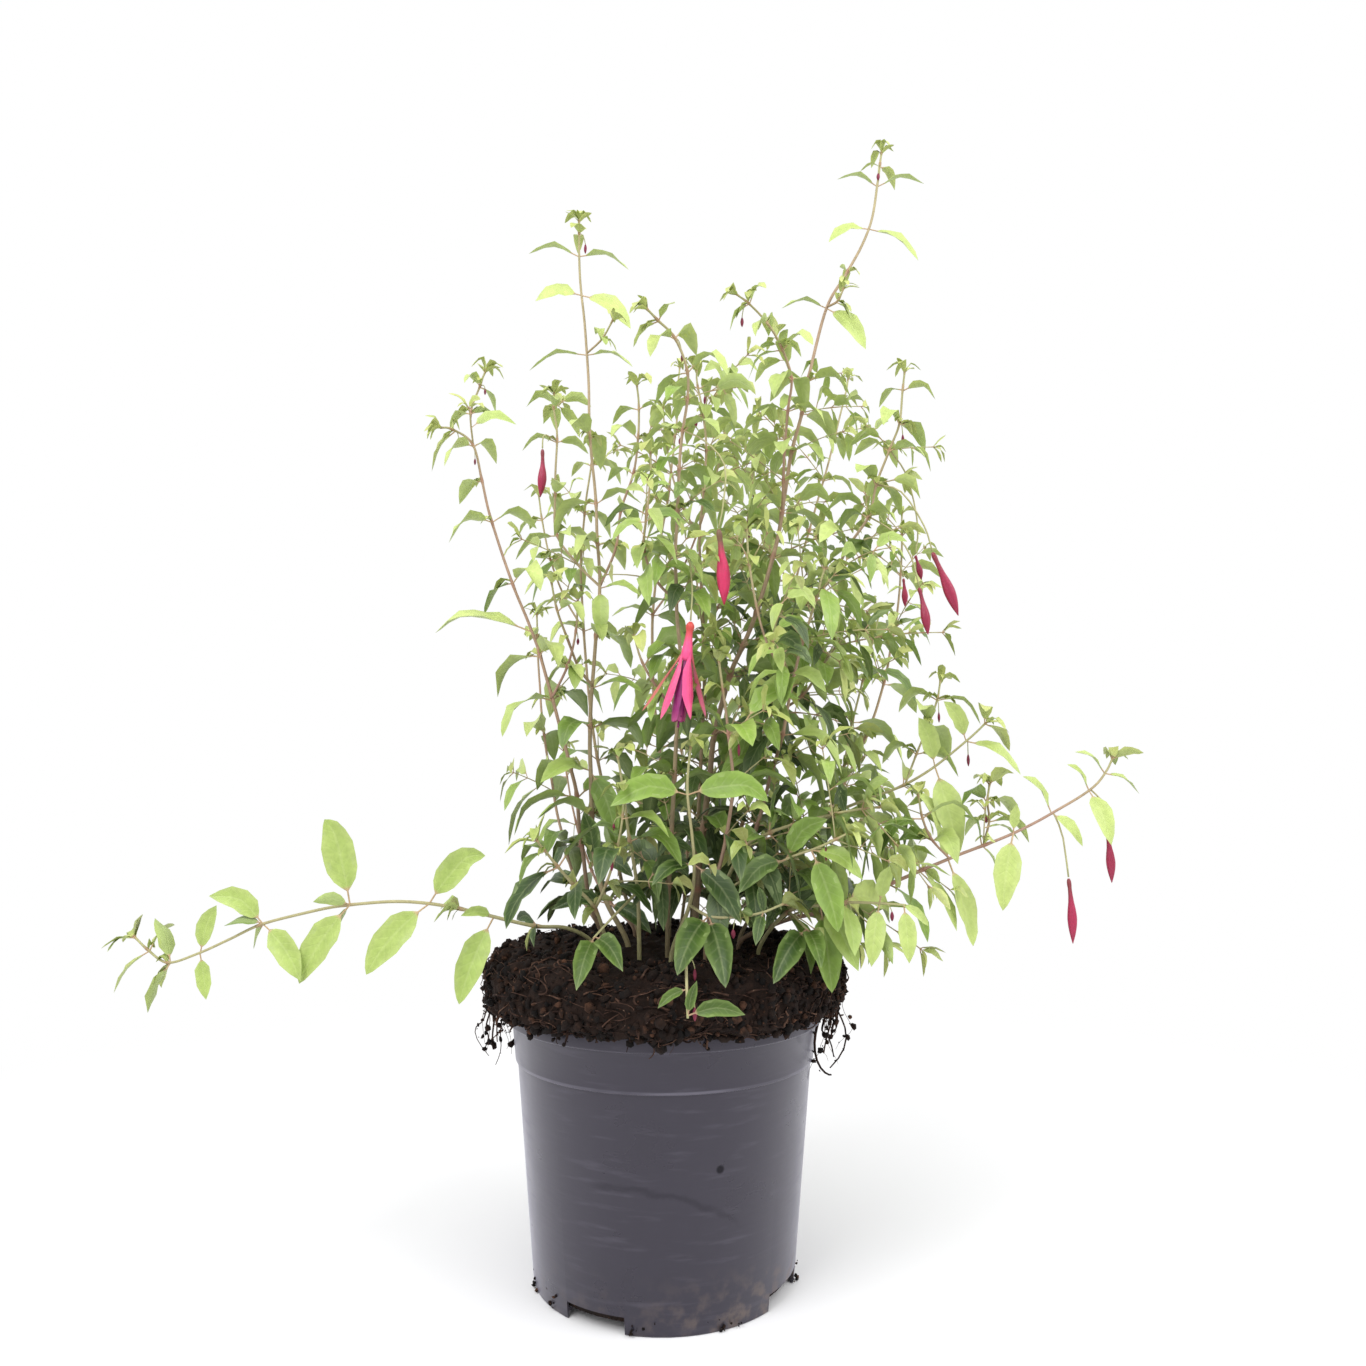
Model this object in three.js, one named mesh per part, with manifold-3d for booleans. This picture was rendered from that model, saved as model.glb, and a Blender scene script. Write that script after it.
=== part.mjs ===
/*
 * A fuchsia in a plain nursery pot, as it stands on the ground.
 *
 * The pot is a thin, tapered plastic shell with a collar, a rim lip and four drain notches, and it
 * is filled with a peat root ball that swells over the rim. Leafy shoots stand in plain holes in
 * the peat: two tall ones, a bushy middle, one that trails to the left and one that arches out to
 * the right. Closed buds and one open flower hang from thin stalks.
 *
 * Units are millimetres, +Z is up, -Y is the front. The origin is the middle of the pot's foot.
 */
import * as THREE from 'three';
import { mergeVertices } from 'three/addons/utils/BufferGeometryUtils.js';
import Module from 'manifold-3d';

const wasm = await Module();
wasm.setup();

// ---------------------------------------------------------------- driving dimensions
const SEAT_GAP = 0.3; // clearance between two pieces that touch

const POT = {
  height: 155,
  rimRadius: 95,
  lipBottom: 147,
  collarBottom: 125,
  collarRadius: 89.6,
  collarTopRadius: 91.8,
  ledge: 1.4, // step from the collar in to the body
  footRadius: 77,
  wall: 1.6,
  floorUnderside: 3,
  floorTop: 5,
  centreFootRadius: 18,
  notchHeight: 9,
  notchWidth: 36,
  notchDepth: 22, // across the pot's wall
  notchTurns: [-28, 62, 152, 242], // degrees from the front, seen from above
  sides: 36,
};

const SOIL = {
  crownHeight: 188, // top of the peat where the shoots stand
  shoulderRadius: 102,
  shoulderDrop: 14, // from the crown down to where the peat is widest
  bulgeRadius: 109,
  roughness: 3.6, // depth of the lumps on the exposed peat
  sides: 24,
  footDepth: 14, // how deep a shoot stands in the peat
  lipCover: 15, // up to this far over the pot, leaves keep beside the peat
};

const LEAF = {
  least: 30, // pairs shorter than this are left out, except at a shoot's own tip
  large: 44, // leaves from this length on arch in two bends, the others in one
  tiny: 18, // the young leaves at a tip have no stalk
  thickness: 0.9,
  stalkThickness: 1.3,
  width: 0.38, // full width as a share of the length
  lowGrowth: 0.3, // how much longer the leaves low on the plant are than those on its top
  lowHeight: 300, // up to this height they have their full growth, and from topHeight on none
  topHeight: 520,
  rise: 0.4, // how far a leaf leans towards its shoot's tip
  droop: 0.85, // how strongly its blade arches down
  rootDepth: 1.2, // how far down its stem, and inside it, a leaf begins
  faceLean: 0.4, // how far its face leans from the stem's direction towards straight up
  tries: 14,
  lateTry: 8, // from this try on the leaf is shorter
  lateShrink: 0.8,
};

const CLEARANCE = 5; // least distance between sample points of pieces that must stay apart
const BLOOM_CLEARANCE = 8;
const ROOM_REACH = 70; // how far from a leaf's middle its neighbours are looked at

const STEM = {
  sides: 4,
  branchRadius: 1.2, // at most, where a branch leaves its shoot
  twigRadius: 0.7, // of a branch's tip and of the flower stalks
};

// The sight point in front of the plant that the shoots' courses are laid out from.
const SIGHT = { across: 11, distance: 629, up: 284 };

const FINISH = {
  pot: { color: 0x2b2a2e, roughness: 0.45, metalness: 0 },
  soil: { color: 0x2a1b14, roughness: 0.95, metalness: 0 },
  leaf: { color: 0x5f9a3c, roughness: 0.55, metalness: 0 },
  sepal: { color: 0xd92f5e, roughness: 0.5, metalness: 0 },
  corolla: { color: 0x8e2a86, roughness: 0.55, metalness: 0 },
  bud: { color: 0x9c1f3e, roughness: 0.5, metalness: 0 },
};

/*
 * The shoots. A course lists points as [across, up, depth, leaf]: across and up are read off in
 * the upright plane through the pot's axis, depth carries the point along the line of sight, away
 * from the sight point when positive, and leaf is the length of the pair of leaves that grows
 * there. foot is where the shoot enters the peat. turn is the direction of the first pair of
 * leaves round the shoot, in degrees, and twist is the step to the next pair. A branch leaves its
 * shoot at the course point numbered from, counted from 0; a stalk is a bare branch that carries
 * a bud or a flower. placed lists the leaves that stand out one by one: [from, across, up, depth]
 * is the course point that the leaf grows at and the place of its tip, and a fifth number is how
 * far its face is turned from upward to the front, in degrees.
 */
const SHOOTS = [
  {
    name: 'shoot_tall_left', foot: [-22, -20], base: 2, tip: 0.8, turn: 25, twist: 94,
    course: [
      [-36, 214, -18, 0], [-44, 240, -15, 0], [-46, 268, -13, 34], [-47, 296, -10, 0],
      [-47, 322, -7, 36], [-46, 348, -5, 0], [-44, 380, -2, 34], [-42, 412, 0, 0],
      [-44, 440, 3, 32], [-45, 467, 5, 34], [-49, 511, 10, 36], [-52, 567, 14, 0],
      [-56, 608, 15, 0], [-58, 635, 15, 0], [-58, 650, 14, 20], [-58, 659, 13, 12],
    ],
    placed: [
      [0, -70, 210, -26], [0, -9, 195, -34], [1, -50, 271, -22, 80], [1, -20, 231, -24],
      [3, -31, 257, -20, 80], [3, -78, 290, -16, 40], [5, -102, 311, -14, 30], [5, -14, 346, -14, 20],
      [7, -41, 382, -10, 80], [7, -16, 408, -8, 30], [11, -89, 558, 10, 20], [11, -22, 560, 8, 20],
      [12, -86, 605, 10, 70], [12, -24, 587, 8, 60], [13, -91, 638, 10, 15], [13, -25, 627, 8, 15],
    ],
    branches: [
      {
        from: 7, turn: 70, twist: 88,
        course: [
          [-32, 437, -6, 26], [-29, 462, -10, 28], [-21, 487, -13, 26], [-18, 510, -15, 28],
          [-18, 530, -16, 24], [-19, 546, -18, 15],
        ],
      },
      {
        from: 5, turn: 40, twist: 92,
        course: [
          [-55, 360, -14, 26], [-62, 378, -22, 28], [-69, 397, -30, 24], [-73, 415, -34, 16],
        ],
      },
      {
        from: 7, turn: 10, twist: 90,
        course: [
          [-56, 426, 12, 0], [-70, 446, 20, 28], [-72, 472, 27, 28], [-71, 508, 32, 26],
          [-73, 530, 34, 22], [-73, 540, 34, 12],
        ],
      },
      { from: 11, turn: 60, twist: 90, course: [[-42, 577, 8, 22], [-35, 590, 4, 15]] },
    ],
    stalks: [{ branch: 2, from: 3, course: [[-79, 512, 24], [-80, 503, 21]] }],
  },
  {
    name: 'shoot_far_left', foot: [-38, -2], base: 1.7, tip: 0.75, turn: 20, twist: 93,
    course: [
      [-47, 215, -6, 26], [-52, 248, -9, 30], [-55, 279, -10, 34], [-60, 299, -12, 30],
      [-72, 340, -15, 36], [-80, 368, -17, 34], [-86, 384, -18, 0], [-98, 415, -20, 32],
      [-112, 455, -21, 34], [-119, 482, -22, 26], [-125, 505, -22, 30], [-138, 515, -25, 26],
      [-147, 517, -28, 15],
    ],
    placed: [[6, -146, 386, -24, 20], [6, -50, 380, -28, 30]],
    branches: [
      {
        from: 10, turn: 60, twist: 90,
        course: [[-127, 527, -20, 20], [-121, 545, -17, 20], [-118, 555, -16, 12]],
      },
      {
        from: 4, turn: 80, twist: 90,
        course: [[-62, 361, -20, 24], [-57, 383, -24, 26], [-56, 403, -26, 18]],
      },
    ],
  },
  {
    name: 'shoot_tall_right', foot: [18, -6], base: 2.6, tip: 0.85, turn: 30, twist: 91,
    course: [
      [20, 222, -2, 28], [24, 258, 3, 34], [28, 290, 7, 36], [31, 318, 10, 38],
      [41, 355, 14, 38], [49, 374, 15, 34], [58, 396, 17, 32], [69, 431, 20, 34],
      [75, 461, 22, 36], [82, 501, 25, 34], [89, 527, 27, 34], [93, 549, 28, 38],
      [106, 599, 32, 0], [120, 623, 35, 14], [135, 654, 38, 0], [141, 684, 40, 0],
      [143, 698, 40, 20], [144, 707, 40, 12],
    ],
    placed: [
      [12, 130, 573, 24, 70], [12, 76, 600, 24, 20], [14, 166, 634, 32, 40], [14, 108, 646, 30, 50],
      [15, 172, 687, 36, 20], [15, 114, 690, 34, 20],
    ],
    branches: [
      {
        from: 8, turn: 75, twist: 88,
        course: [
          [76, 481, 14, 26], [77, 502, 8, 30], [80, 529, 0, 30], [82, 550, -5, 38],
          [76, 570, -10, 30], [66, 588, -14, 28], [54, 602, -18, 22], [46, 608, -20, 13],
        ],
      },
      {
        from: 5, turn: 30, twist: 92,
        course: [
          [68, 383, -2, 26], [89, 401, -14, 30], [106, 418, -19, 28], [118, 438, -22, 30],
          [130, 458, -25, 28], [136, 479, -25, 32], [145, 502, -25, 28], [152, 520, -25, 30],
          [155, 543, -25, 24], [156, 555, -25, 14],
        ],
      },
      {
        from: 3, turn: 60, twist: 90,
        course: [
          [52, 324, -4, 28], [70, 331, -14, 30], [87, 342, -24, 30], [99, 360, -31, 30],
          [109, 374, -36, 24], [118, 382, -40, 14],
        ],
      },
      { from: 12, turn: 50, twist: 90, course: [[113, 603, 24, 22], [117, 612, 20, 13]] },
    ],
    stalks: [
      { branch: 1, from: 5, course: [[152, 474, -34], [166, 452, -40], [171, 435, -42]] },
      { branch: 1, from: 4, course: [[146, 448, -36], [157, 432, -42], [162, 412, -44]] },
      { branch: 1, from: 6, course: [[156, 484, -16], [162, 452, -10], [160, 433, -8]] },
      { branch: 1, from: 3, course: [[134, 444, -12], [148, 432, -8], [152, 418, -6]] },
    ],
  },
  {
    name: 'shoot_middle', foot: [2, -30], base: 1.8, tip: 0.8, turn: 50, twist: 90,
    course: [
      [2, 222, -34, 26], [4, 256, -37, 30], [6, 292, -40, 32], [8, 330, -42, 32],
      [9, 366, -44, 30], [7, 402, -45, 30], [6, 431, -47, 28], [8, 462, -49, 28],
      [9, 490, -50, 28], [11, 515, -50, 30], [14, 536, -50, 28], [14, 555, -50, 34],
      [5, 578, -53, 32], [-6, 590, -57, 20], [-13, 598, -60, 12],
    ],
    branches: [
      {
        from: 5, turn: 80, twist: 90,
        course: [
          [-6, 416, -54, 24], [-14, 436, -60, 26], [-12, 460, -64, 24], [-10, 482, -66, 22],
          [-10, 500, -68, 14],
        ],
      },
      {
        from: 3, turn: 20, twist: 90,
        course: [[-4, 345, -54, 26], [-14, 362, -62, 26], [-20, 380, -68, 18]],
      },
    ],
    stalks: [
      { from: 6, course: [[14, 432, -60], [17, 412, -68], [16, 390, -72]] },
      { from: 9, course: [[25, 508, -60], [38, 492, -66], [37, 466, -68], [34, 450, -68]] },
    ],
  },
  {
    name: 'shoot_inner_right', foot: [16, 20], base: 1.7, tip: 0.75, turn: 15, twist: 90,
    course: [
      [18, 225, 26, 28], [20, 262, 30, 32], [22, 300, 33, 32], [24, 340, 36, 32],
      [24, 378, 38, 30], [23, 412, 40, 30], [22, 445, 41, 28], [24, 475, 42, 28],
      [26, 502, 43, 30], [24, 526, 44, 32], [21, 544, 45, 26], [20, 556, 45, 14],
    ],
    branches: [
      {
        from: 4, turn: 50, twist: 90,
        course: [
          [33, 398, 48, 26], [44, 422, 56, 28], [52, 452, 62, 28], [56, 480, 66, 24],
          [58, 500, 68, 14],
        ],
      },
      {
        from: 6, turn: 30, twist: 90,
        course: [[12, 462, 50, 24], [4, 486, 58, 26], [0, 512, 64, 22], [-2, 530, 67, 13]],
      },
    ],
  },
  {
    name: 'shoot_front_small', foot: [5, -50], base: 1.6, tip: 0.75, turn: 60, twist: 90,
    course: [
      [15, 212, -62, 0], [18, 238, -71, 0], [14, 281, -80, 0], [16, 310, -82, 14],
    ],
    placed: [
      [1, 46, 203, -86], [1, -8, 226, -84, 40], [2, -34, 276, -88, 65], [2, 64, 279, -90, 65],
    ],
    branches: [
      {
        from: 0, turn: 70, twist: 80,
        course: [[28, 205, -78, 0], [46, 205, -84, 14], [62, 208, -88, 0], [74, 213, -90, 16]],
        placed: [
          [0, 8, 170, -113, 60], [0, 37, 163, -113, 75], [2, 56, 188, -100, 60],
          [2, 58, 224, -94, 60],
        ],
      },
    ],
  },
  {
    name: 'shoot_low_right', foot: [30, -32], base: 1.4, tip: 0.7, turn: 35, twist: 75,
    course: [
      [36, 220, -46, 26], [50, 247, -60, 28], [66, 256, -66, 30], [81, 261, -70, 30],
      [105, 268, -73, 30], [124, 271, -75, 24], [134, 272, -76, 14],
    ],
    branches: [
      {
        from: 0, turn: 20, twist: 80,
        course: [
          [54, 230, -62, 28], [76, 240, -74, 0], [92, 246, -82, 0], [106, 252, -88, 20],
          [114, 256, -91, 12],
        ],
        placed: [
          [1, 46, 222, -88, 60], [1, 101, 267, -84, 60], [2, 106, 198, -94, 70],
          [2, 122, 230, -94, 50],
        ],
      },
    ],
  },
  {
    name: 'shoot_long_right', foot: [46, -12], base: 1.6, tip: 0.7, turn: 12, twist: 22,
    course: [
      [72, 202, -20, 0], [95, 208, -25, 34], [112, 214, -28, 36], [140, 225, -32, 36],
      [159, 233, -34, 30], [177, 240, -35, 0], [198, 249, -35, 18], [218, 257, -35, 0],
      [242, 269, -33, 0], [266, 283, -30, 0], [276, 294, -28, 0], [281, 303, -26, 14],
    ],
    placed: [
      [5, 189, 189, -42, 10], [5, 170, 262, -40, 60], [7, 209, 212, -46, 60], [7, 219, 275, -38, 60],
      [8, 224, 293, -38, 20], [8, 259, 250, -40, 50], [9, 277, 252, -36, 70], [9, 252, 300, -34, 20],
      [10, 257, 308, -30, 15], [10, 296, 282, -28, 20],
    ],
    branches: [
      {
        from: 5, turn: 40, twist: 70,
        course: [[166, 252, -40, 26], [160, 266, -44, 30], [158, 280, -46, 16]],
      },
      {
        from: 6, turn: 75, twist: 70,
        course: [[202, 264, -28, 20], [201, 276, -24, 26], [203, 287, -22, 16]],
      },
    ],
    stalks: [
      { from: 8, course: [[247, 256, -38], [249, 240, -41], [250, 229, -42]] },
      { from: 9, course: [[273, 275, -34], [275, 260, -36]] },
    ],
  },
  {
    name: 'shoot_trailing_left', foot: [-42, -24], base: 1.4, tip: 0.7, turn: 14, twist: 14,
    course: [
      [-60, 198, -32, 0], [-80, 199, -38, 20], [-107, 205, -46, 0], [-127, 210, -50, 16],
      [-147, 213, -52, 0], [-171, 214, -54, 0], [-196, 212, -55, 15], [-222, 207, -55, 0],
      [-249, 200, -55, 16], [-268, 191, -54, 0], [-287, 182, -53, 0], [-305, 177, -51, 22],
      [-318, 185, -49, 20], [-327, 193, -48, 14],
    ],
    placed: [
      [2, -125, 154, -60, 80], [2, -126, 206, -54, 60], [4, -112, 245, -58, 75],
      [4, -182, 171, -60, 80], [6, -211, 267, -58, 80], [6, -223, 166, -60, 75],
      [8, -282, 220, -58, 60], [8, -224, 167, -64, 75], [10, -278, 213, -56, 70],
      [10, -281, 156, -56, 70],
    ],
    branches: [],
  },
  {
    name: 'shoot_mid_right', foot: [36, 14], base: 1.6, tip: 0.7, turn: 40, twist: 90,
    course: [
      [48, 220, 12, 28], [66, 238, 8, 32], [88, 256, 2, 34], [106, 269, -4, 32],
      [128, 278, -8, 34], [150, 286, -12, 30], [170, 298, -15, 0], [190, 314, -17, 0],
      [202, 325, -18, 20],
    ],
    placed: [
      [6, 181, 247, -26, 75], [6, 160, 330, -24, 75], [7, 222, 295, -26, 30],
      [7, 176, 340, -22, 60],
    ],
    branches: [
      {
        from: 3, turn: 20, twist: 90,
        course: [
          [112, 298, 10, 30], [118, 326, 18, 32], [125, 352, 24, 30], [132, 378, 28, 28],
          [136, 394, 30, 14],
        ],
      },
      {
        from: 5, turn: 60, twist: 90,
        course: [[158, 306, -6, 24], [166, 324, -2, 28], [172, 340, 0, 26], [174, 352, 2, 14]],
      },
    ],
  },
  {
    name: 'shoot_low_left', foot: [-32, -44], base: 1.4, tip: 0.7, turn: 30, twist: 85,
    course: [
      [-43, 210, -56, 26], [-56, 224, -64, 30], [-67, 236, -70, 32], [-75, 246, -74, 24],
      [-80, 252, -76, 14],
    ],
    branches: [
      {
        from: 0, turn: 60, twist: 90,
        course: [[-36, 226, -66, 28], [-30, 246, -73, 30], [-27, 266, -77, 26], [-26, 280, -79, 14]],
      },
    ],
  },
  {
    name: 'shoot_low_far_right', foot: [56, -32], base: 1.4, tip: 0.7, turn: 10, twist: 60,
    course: [
      [76, 208, -50, 34], [97, 212, -62, 0], [112, 214, -70, 38], [134, 213, -75, 0],
      [149, 212, -78, 0],
    ],
    placed: [
      [1, 102, 161, -80, 75], [1, 118, 173, -84, 75], [3, 127, 176, -86, 75], [3, 140, 238, -80, 60],
      [4, 162, 200, -82, 60], [4, 150, 178, -86, 70],
    ],
    branches: [
      {
        from: 0, turn: 30, twist: 90,
        course: [[88, 197, -74, 0]],
        placed: [[0, 67, 165, -104, 75], [0, 96, 174, -104, 60]],
      },
    ],
  },
  {
    name: 'shoot_fill_right', foot: [34, -10], base: 1.7, tip: 0.75, turn: 70, twist: 90,
    course: [
      [44, 224, -14, 28], [58, 262, -20, 32], [68, 298, -24, 34], [74, 318, -48, 32],
      [80, 348, -56, 32], [88, 378, -60, 30], [96, 404, -62, 28], [102, 424, -63, 16],
    ],
    branches: [
      {
        from: 4, turn: 30, twist: 90,
        course: [[66, 372, -66, 28], [58, 398, -72, 28], [54, 426, -76, 26], [52, 450, -78, 15]],
      },
    ],
  },
  {
    name: 'shoot_front_mid', foot: [24, -46], base: 1.6, tip: 0.75, turn: 20, twist: 90,
    course: [
      [30, 220, -54, 26], [38, 254, -62, 30], [42, 286, -68, 32], [40, 318, -73, 30],
      [36, 346, -77, 26], [34, 364, -79, 14],
    ],
    branches: [],
  },
  {
    name: 'shoot_front_left', foot: [-14, -42], base: 1.6, tip: 0.75, turn: 50, twist: 90,
    course: [
      [-17, 220, -50, 26], [-22, 252, -58, 30], [-26, 284, -64, 28], [-30, 304, -67, 14],
    ],
    branches: [
      {
        from: 0, turn: 30, twist: 90,
        course: [[-30, 207, -66, 0], [-44, 192, -84, 0]],
        placed: [[1, -54, 161, -113, 75], [1, -26, 172, -112, 60]],
      },
    ],
  },
  {
    name: 'shoot_back_left', foot: [-18, 30], base: 1.7, tip: 0.75, turn: 35, twist: 92,
    course: [
      [-26, 222, 42, 28], [-34, 262, 55, 0], [-42, 302, 66, 32], [-48, 342, 76, 0],
      [-52, 384, 86, 32], [-54, 424, 94, 0], [-52, 460, 100, 28], [-48, 492, 104, 24],
      [-46, 508, 106, 14],
    ],
    branches: [
      {
        from: 4, turn: 70, twist: 90,
        course: [[-64, 404, 92, 26], [-74, 430, 97, 26], [-80, 456, 101, 24], [-82, 472, 103, 14]],
      },
    ],
  },
  {
    name: 'shoot_back_middle', foot: [2, 36], base: 1.8, tip: 0.8, turn: 10, twist: 92,
    course: [
      [2, 226, 52, 28], [0, 268, 68, 32], [-4, 310, 82, 34], [-8, 352, 95, 34],
      [-8, 394, 106, 32], [-4, 436, 115, 30], [2, 476, 122, 30], [6, 512, 127, 28],
      [8, 544, 130, 22], [9, 558, 131, 13],
    ],
    branches: [
      {
        from: 4, turn: 50, twist: 90,
        course: [
          [8, 418, 118, 26], [20, 446, 126, 28], [30, 476, 132, 26], [36, 500, 136, 22],
          [38, 514, 138, 13],
        ],
      },
    ],
  },
  {
    name: 'shoot_back_right', foot: [26, 36], base: 1.7, tip: 0.75, turn: 60, twist: 90,
    course: [
      [36, 224, 52, 28], [48, 262, 66, 32], [58, 300, 78, 34], [66, 338, 88, 34],
      [74, 376, 96, 32], [82, 412, 103, 32], [92, 448, 109, 30], [102, 482, 114, 30],
      [110, 512, 118, 26], [116, 536, 121, 20], [119, 550, 122, 13],
    ],
    branches: [
      {
        from: 5, turn: 20, twist: 90,
        course: [
          [68, 432, 112, 26], [60, 458, 120, 28], [56, 486, 126, 26], [58, 510, 130, 22],
          [60, 522, 131, 13],
        ],
      },
    ],
  },
  {
    name: 'shoot_back_far_left', foot: [-40, 18], base: 1.5, tip: 0.75, turn: 0, twist: 90,
    course: [
      [-52, 218, 36, 26], [-62, 248, 56, 30], [-70, 282, 74, 0], [-76, 318, 88, 32],
      [-80, 352, 98, 0], [-82, 380, 104, 22], [-82, 394, 106, 13],
    ],
    branches: [],
  },
  {
    name: 'shoot_back_far_right', foot: [48, 18], base: 1.6, tip: 0.75, turn: 25, twist: 90,
    course: [
      [68, 226, 36, 28], [90, 254, 56, 32], [110, 284, 72, 32], [126, 316, 84, 32],
      [138, 350, 92, 32], [146, 386, 98, 30], [150, 420, 102, 26], [152, 446, 104, 20],
      [152, 460, 105, 13],
    ],
    branches: [],
  },
  {
    name: 'shoot_back_low', foot: [10, 52], base: 1.5, tip: 0.7, turn: 45, twist: 90,
    course: [
      [12, 218, 80, 28], [14, 244, 106, 32], [14, 274, 128, 32], [10, 308, 144, 30],
      [4, 340, 154, 26], [2, 358, 158, 13],
    ],
    branches: [],
  },
  {
    name: 'shoot_back_low_left', foot: [-22, 48], base: 1.4, tip: 0.7, turn: 30, twist: 90,
    course: [
      [-34, 214, 74, 28], [-46, 234, 100, 30], [-56, 262, 122, 30], [-62, 292, 136, 26],
      [-64, 308, 141, 14],
    ],
    branches: [],
  },
  {
    name: 'shoot_back_low_right', foot: [36, 50], base: 1.4, tip: 0.7, turn: 65, twist: 90,
    course: [
      [54, 216, 76, 28], [78, 236, 102, 30], [98, 262, 122, 30], [112, 292, 136, 26],
      [118, 308, 141, 14],
    ],
    branches: [],
  },
  {
    name: 'shoot_rim_sprout', foot: [12, -88], base: 1.2, tip: 0.7, turn: 200, twist: 90,
    course: [[13, 180, -103, 0], [14, 160, -117, 0], [14, 144, -121, 0]],
    placed: [[2, 19, 166, -124, 85], [2, 49, 146, -122, 75], [1, -4, 150, -122, 60]],
    branches: [],
  },
];

/*
 * The buds and the flower. Each hangs from the numbered stalk of its shoot. length runs from the
 * top of the ovary to the tip, lean carries the tip sideways and away from the front.
 */
const BUDS = [
  { name: 'bud_left', shoot: 'shoot_tall_left', stalk: 0, length: 33, radius: 3.1, lean: [-1, 0] },
  { name: 'bud_right_large', shoot: 'shoot_tall_right', stalk: 0, length: 41, radius: 3.7, lean: [15, 2] },
  { name: 'bud_right_low', shoot: 'shoot_tall_right', stalk: 1, length: 29, radius: 3, lean: [4, -2] },
  { name: 'bud_right_high', shoot: 'shoot_tall_right', stalk: 2, length: 16, radius: 2.2, lean: [4, 2] },
  { name: 'bud_right_small', shoot: 'shoot_tall_right', stalk: 3, length: 18, radius: 2.2, lean: [1, 2] },
  { name: 'bud_pink', shoot: 'shoot_middle', stalk: 1, length: 44, radius: 4.2, lean: [3, 0] },
  { name: 'bud_far_right_low', shoot: 'shoot_long_right', stalk: 0, length: 37, radius: 3, lean: [1, 0] },
  { name: 'bud_far_right_high', shoot: 'shoot_long_right', stalk: 1, length: 32, radius: 2.9, lean: [2, 1] },
];

const FLOWER = {
  shoot: 'shoot_middle',
  stalk: 0,
  lean: -0.12, // sideways for each millimetre down
  ovaryLength: 5,
  tubeLength: 16,
  tubeRadius: 2.6,
  throatRadius: 4,
  sepalLength: 41,
  sepalWidth: 0.24, // full width as a share of the length
  sepals: [ // each sepal's direction in degrees, its spread from straight down and its droop
    { turn: 300, spread: 0.2, droop: 0.2, shrink: 0.95 },
    { turn: 232, spread: 0.26, droop: 0.2, shrink: 1 },
    { turn: 175, spread: 0.72, droop: 0.1, shrink: 0.95 },
    { turn: 5, spread: 0.46, droop: 0.3, shrink: 0.86 },
  ],
  corollaLength: 32,
  corollaRadius: 7,
  petals: 5,
  petalHalf: 4.6, // half a petal's full width
  styleLength: 39, // the long pistil, from the throat down
};

// ---------------------------------------------------------------- small helpers
const UP = new THREE.Vector3(0, 0, 1);
const AWAY = new THREE.Vector3(0, 1, 0);
const radians = THREE.MathUtils.degToRad;

/** A repeatable draw from 0 to 1 that depends only on the whole numbers given. */
function draw(...keys) {
  let state = 2166136261;
  for (const key of keys) {
    state = Math.imul(state ^ key, 16777619) >>> 0;
    state = Math.imul(state ^ (state >>> 15), 2246822519) >>> 0;
    state = (state ^ (state >>> 13)) >>> 0;
  }
  return state / 4294967296;
}

/** A point given as it is seen against the plane through the pot's axis, at its own depth. */
function seen(across, up, depth) {
  const reach = (SIGHT.distance + depth) / SIGHT.distance;
  return new THREE.Vector3(
    SIGHT.across + (across - SIGHT.across) * reach,
    depth,
    SIGHT.up + (up - SIGHT.up) * reach,
  );
}

/** A manifold solid from a flat list of corners and a flat list of triangles, faces turned out. */
function solidFrom(corners, triangles) {
  let volume = 0;
  const [a, b, c] = [new THREE.Vector3(), new THREE.Vector3(), new THREE.Vector3()];
  for (let i = 0; i < triangles.length; i += 3) {
    a.fromArray(corners, triangles[i] * 3);
    b.fromArray(corners, triangles[i + 1] * 3);
    c.fromArray(corners, triangles[i + 2] * 3);
    volume += a.dot(b.cross(c));
  }
  const turned = volume < 0 ? triangles.slice().reverse() : triangles;
  return new wasm.Manifold(new wasm.Mesh({
    numProp: 3,
    vertProperties: Float32Array.from(corners),
    triVerts: Uint32Array.from(turned),
  }));
}

/** A manifold solid from a closed three.js geometry. */
function solidOf(geometry) {
  const bare = geometry.clone();
  bare.deleteAttribute('normal');
  bare.deleteAttribute('uv');
  const merged = mergeVertices(bare, 1e-4);
  const index = Array.from(merged.index.array);
  const kept = [];
  for (let i = 0; i < index.length; i += 3) {
    const [a, b, c] = index.slice(i, i + 3);
    if (a !== b && b !== c && c !== a) kept.push(a, b, c);
  }
  return solidFrom(Array.from(merged.attributes.position.array), kept);
}

/** One solid from many. Scraps and the sealed pockets that crossing blades leave are dropped. */
function fuse(solids) {
  const bodies = solids.reduce((whole, piece) => whole.add(piece)).decompose();
  return bodies.reduce((largest, body) => (body.volume() > largest.volume() ? body : largest));
}

/** A named mesh with its own material, from a manifold solid. */
function meshOf(name, solid, finish) {
  const { numProp, vertProperties, triVerts } = solid.getMesh();
  const corners = new Float32Array((vertProperties.length / numProp) * 3);
  for (let i = 0; i < corners.length / 3; i += 1) {
    corners.set(vertProperties.subarray(i * numProp, i * numProp + 3), i * 3);
  }
  const geometry = new THREE.BufferGeometry();
  geometry.setAttribute('position', new THREE.BufferAttribute(corners, 3));
  geometry.setIndex(new THREE.BufferAttribute(new Uint32Array(triVerts), 1));
  geometry.computeVertexNormals();
  const mesh = new THREE.Mesh(geometry, new THREE.MeshStandardMaterial(finish));
  mesh.name = name;
  return mesh;
}

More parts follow.
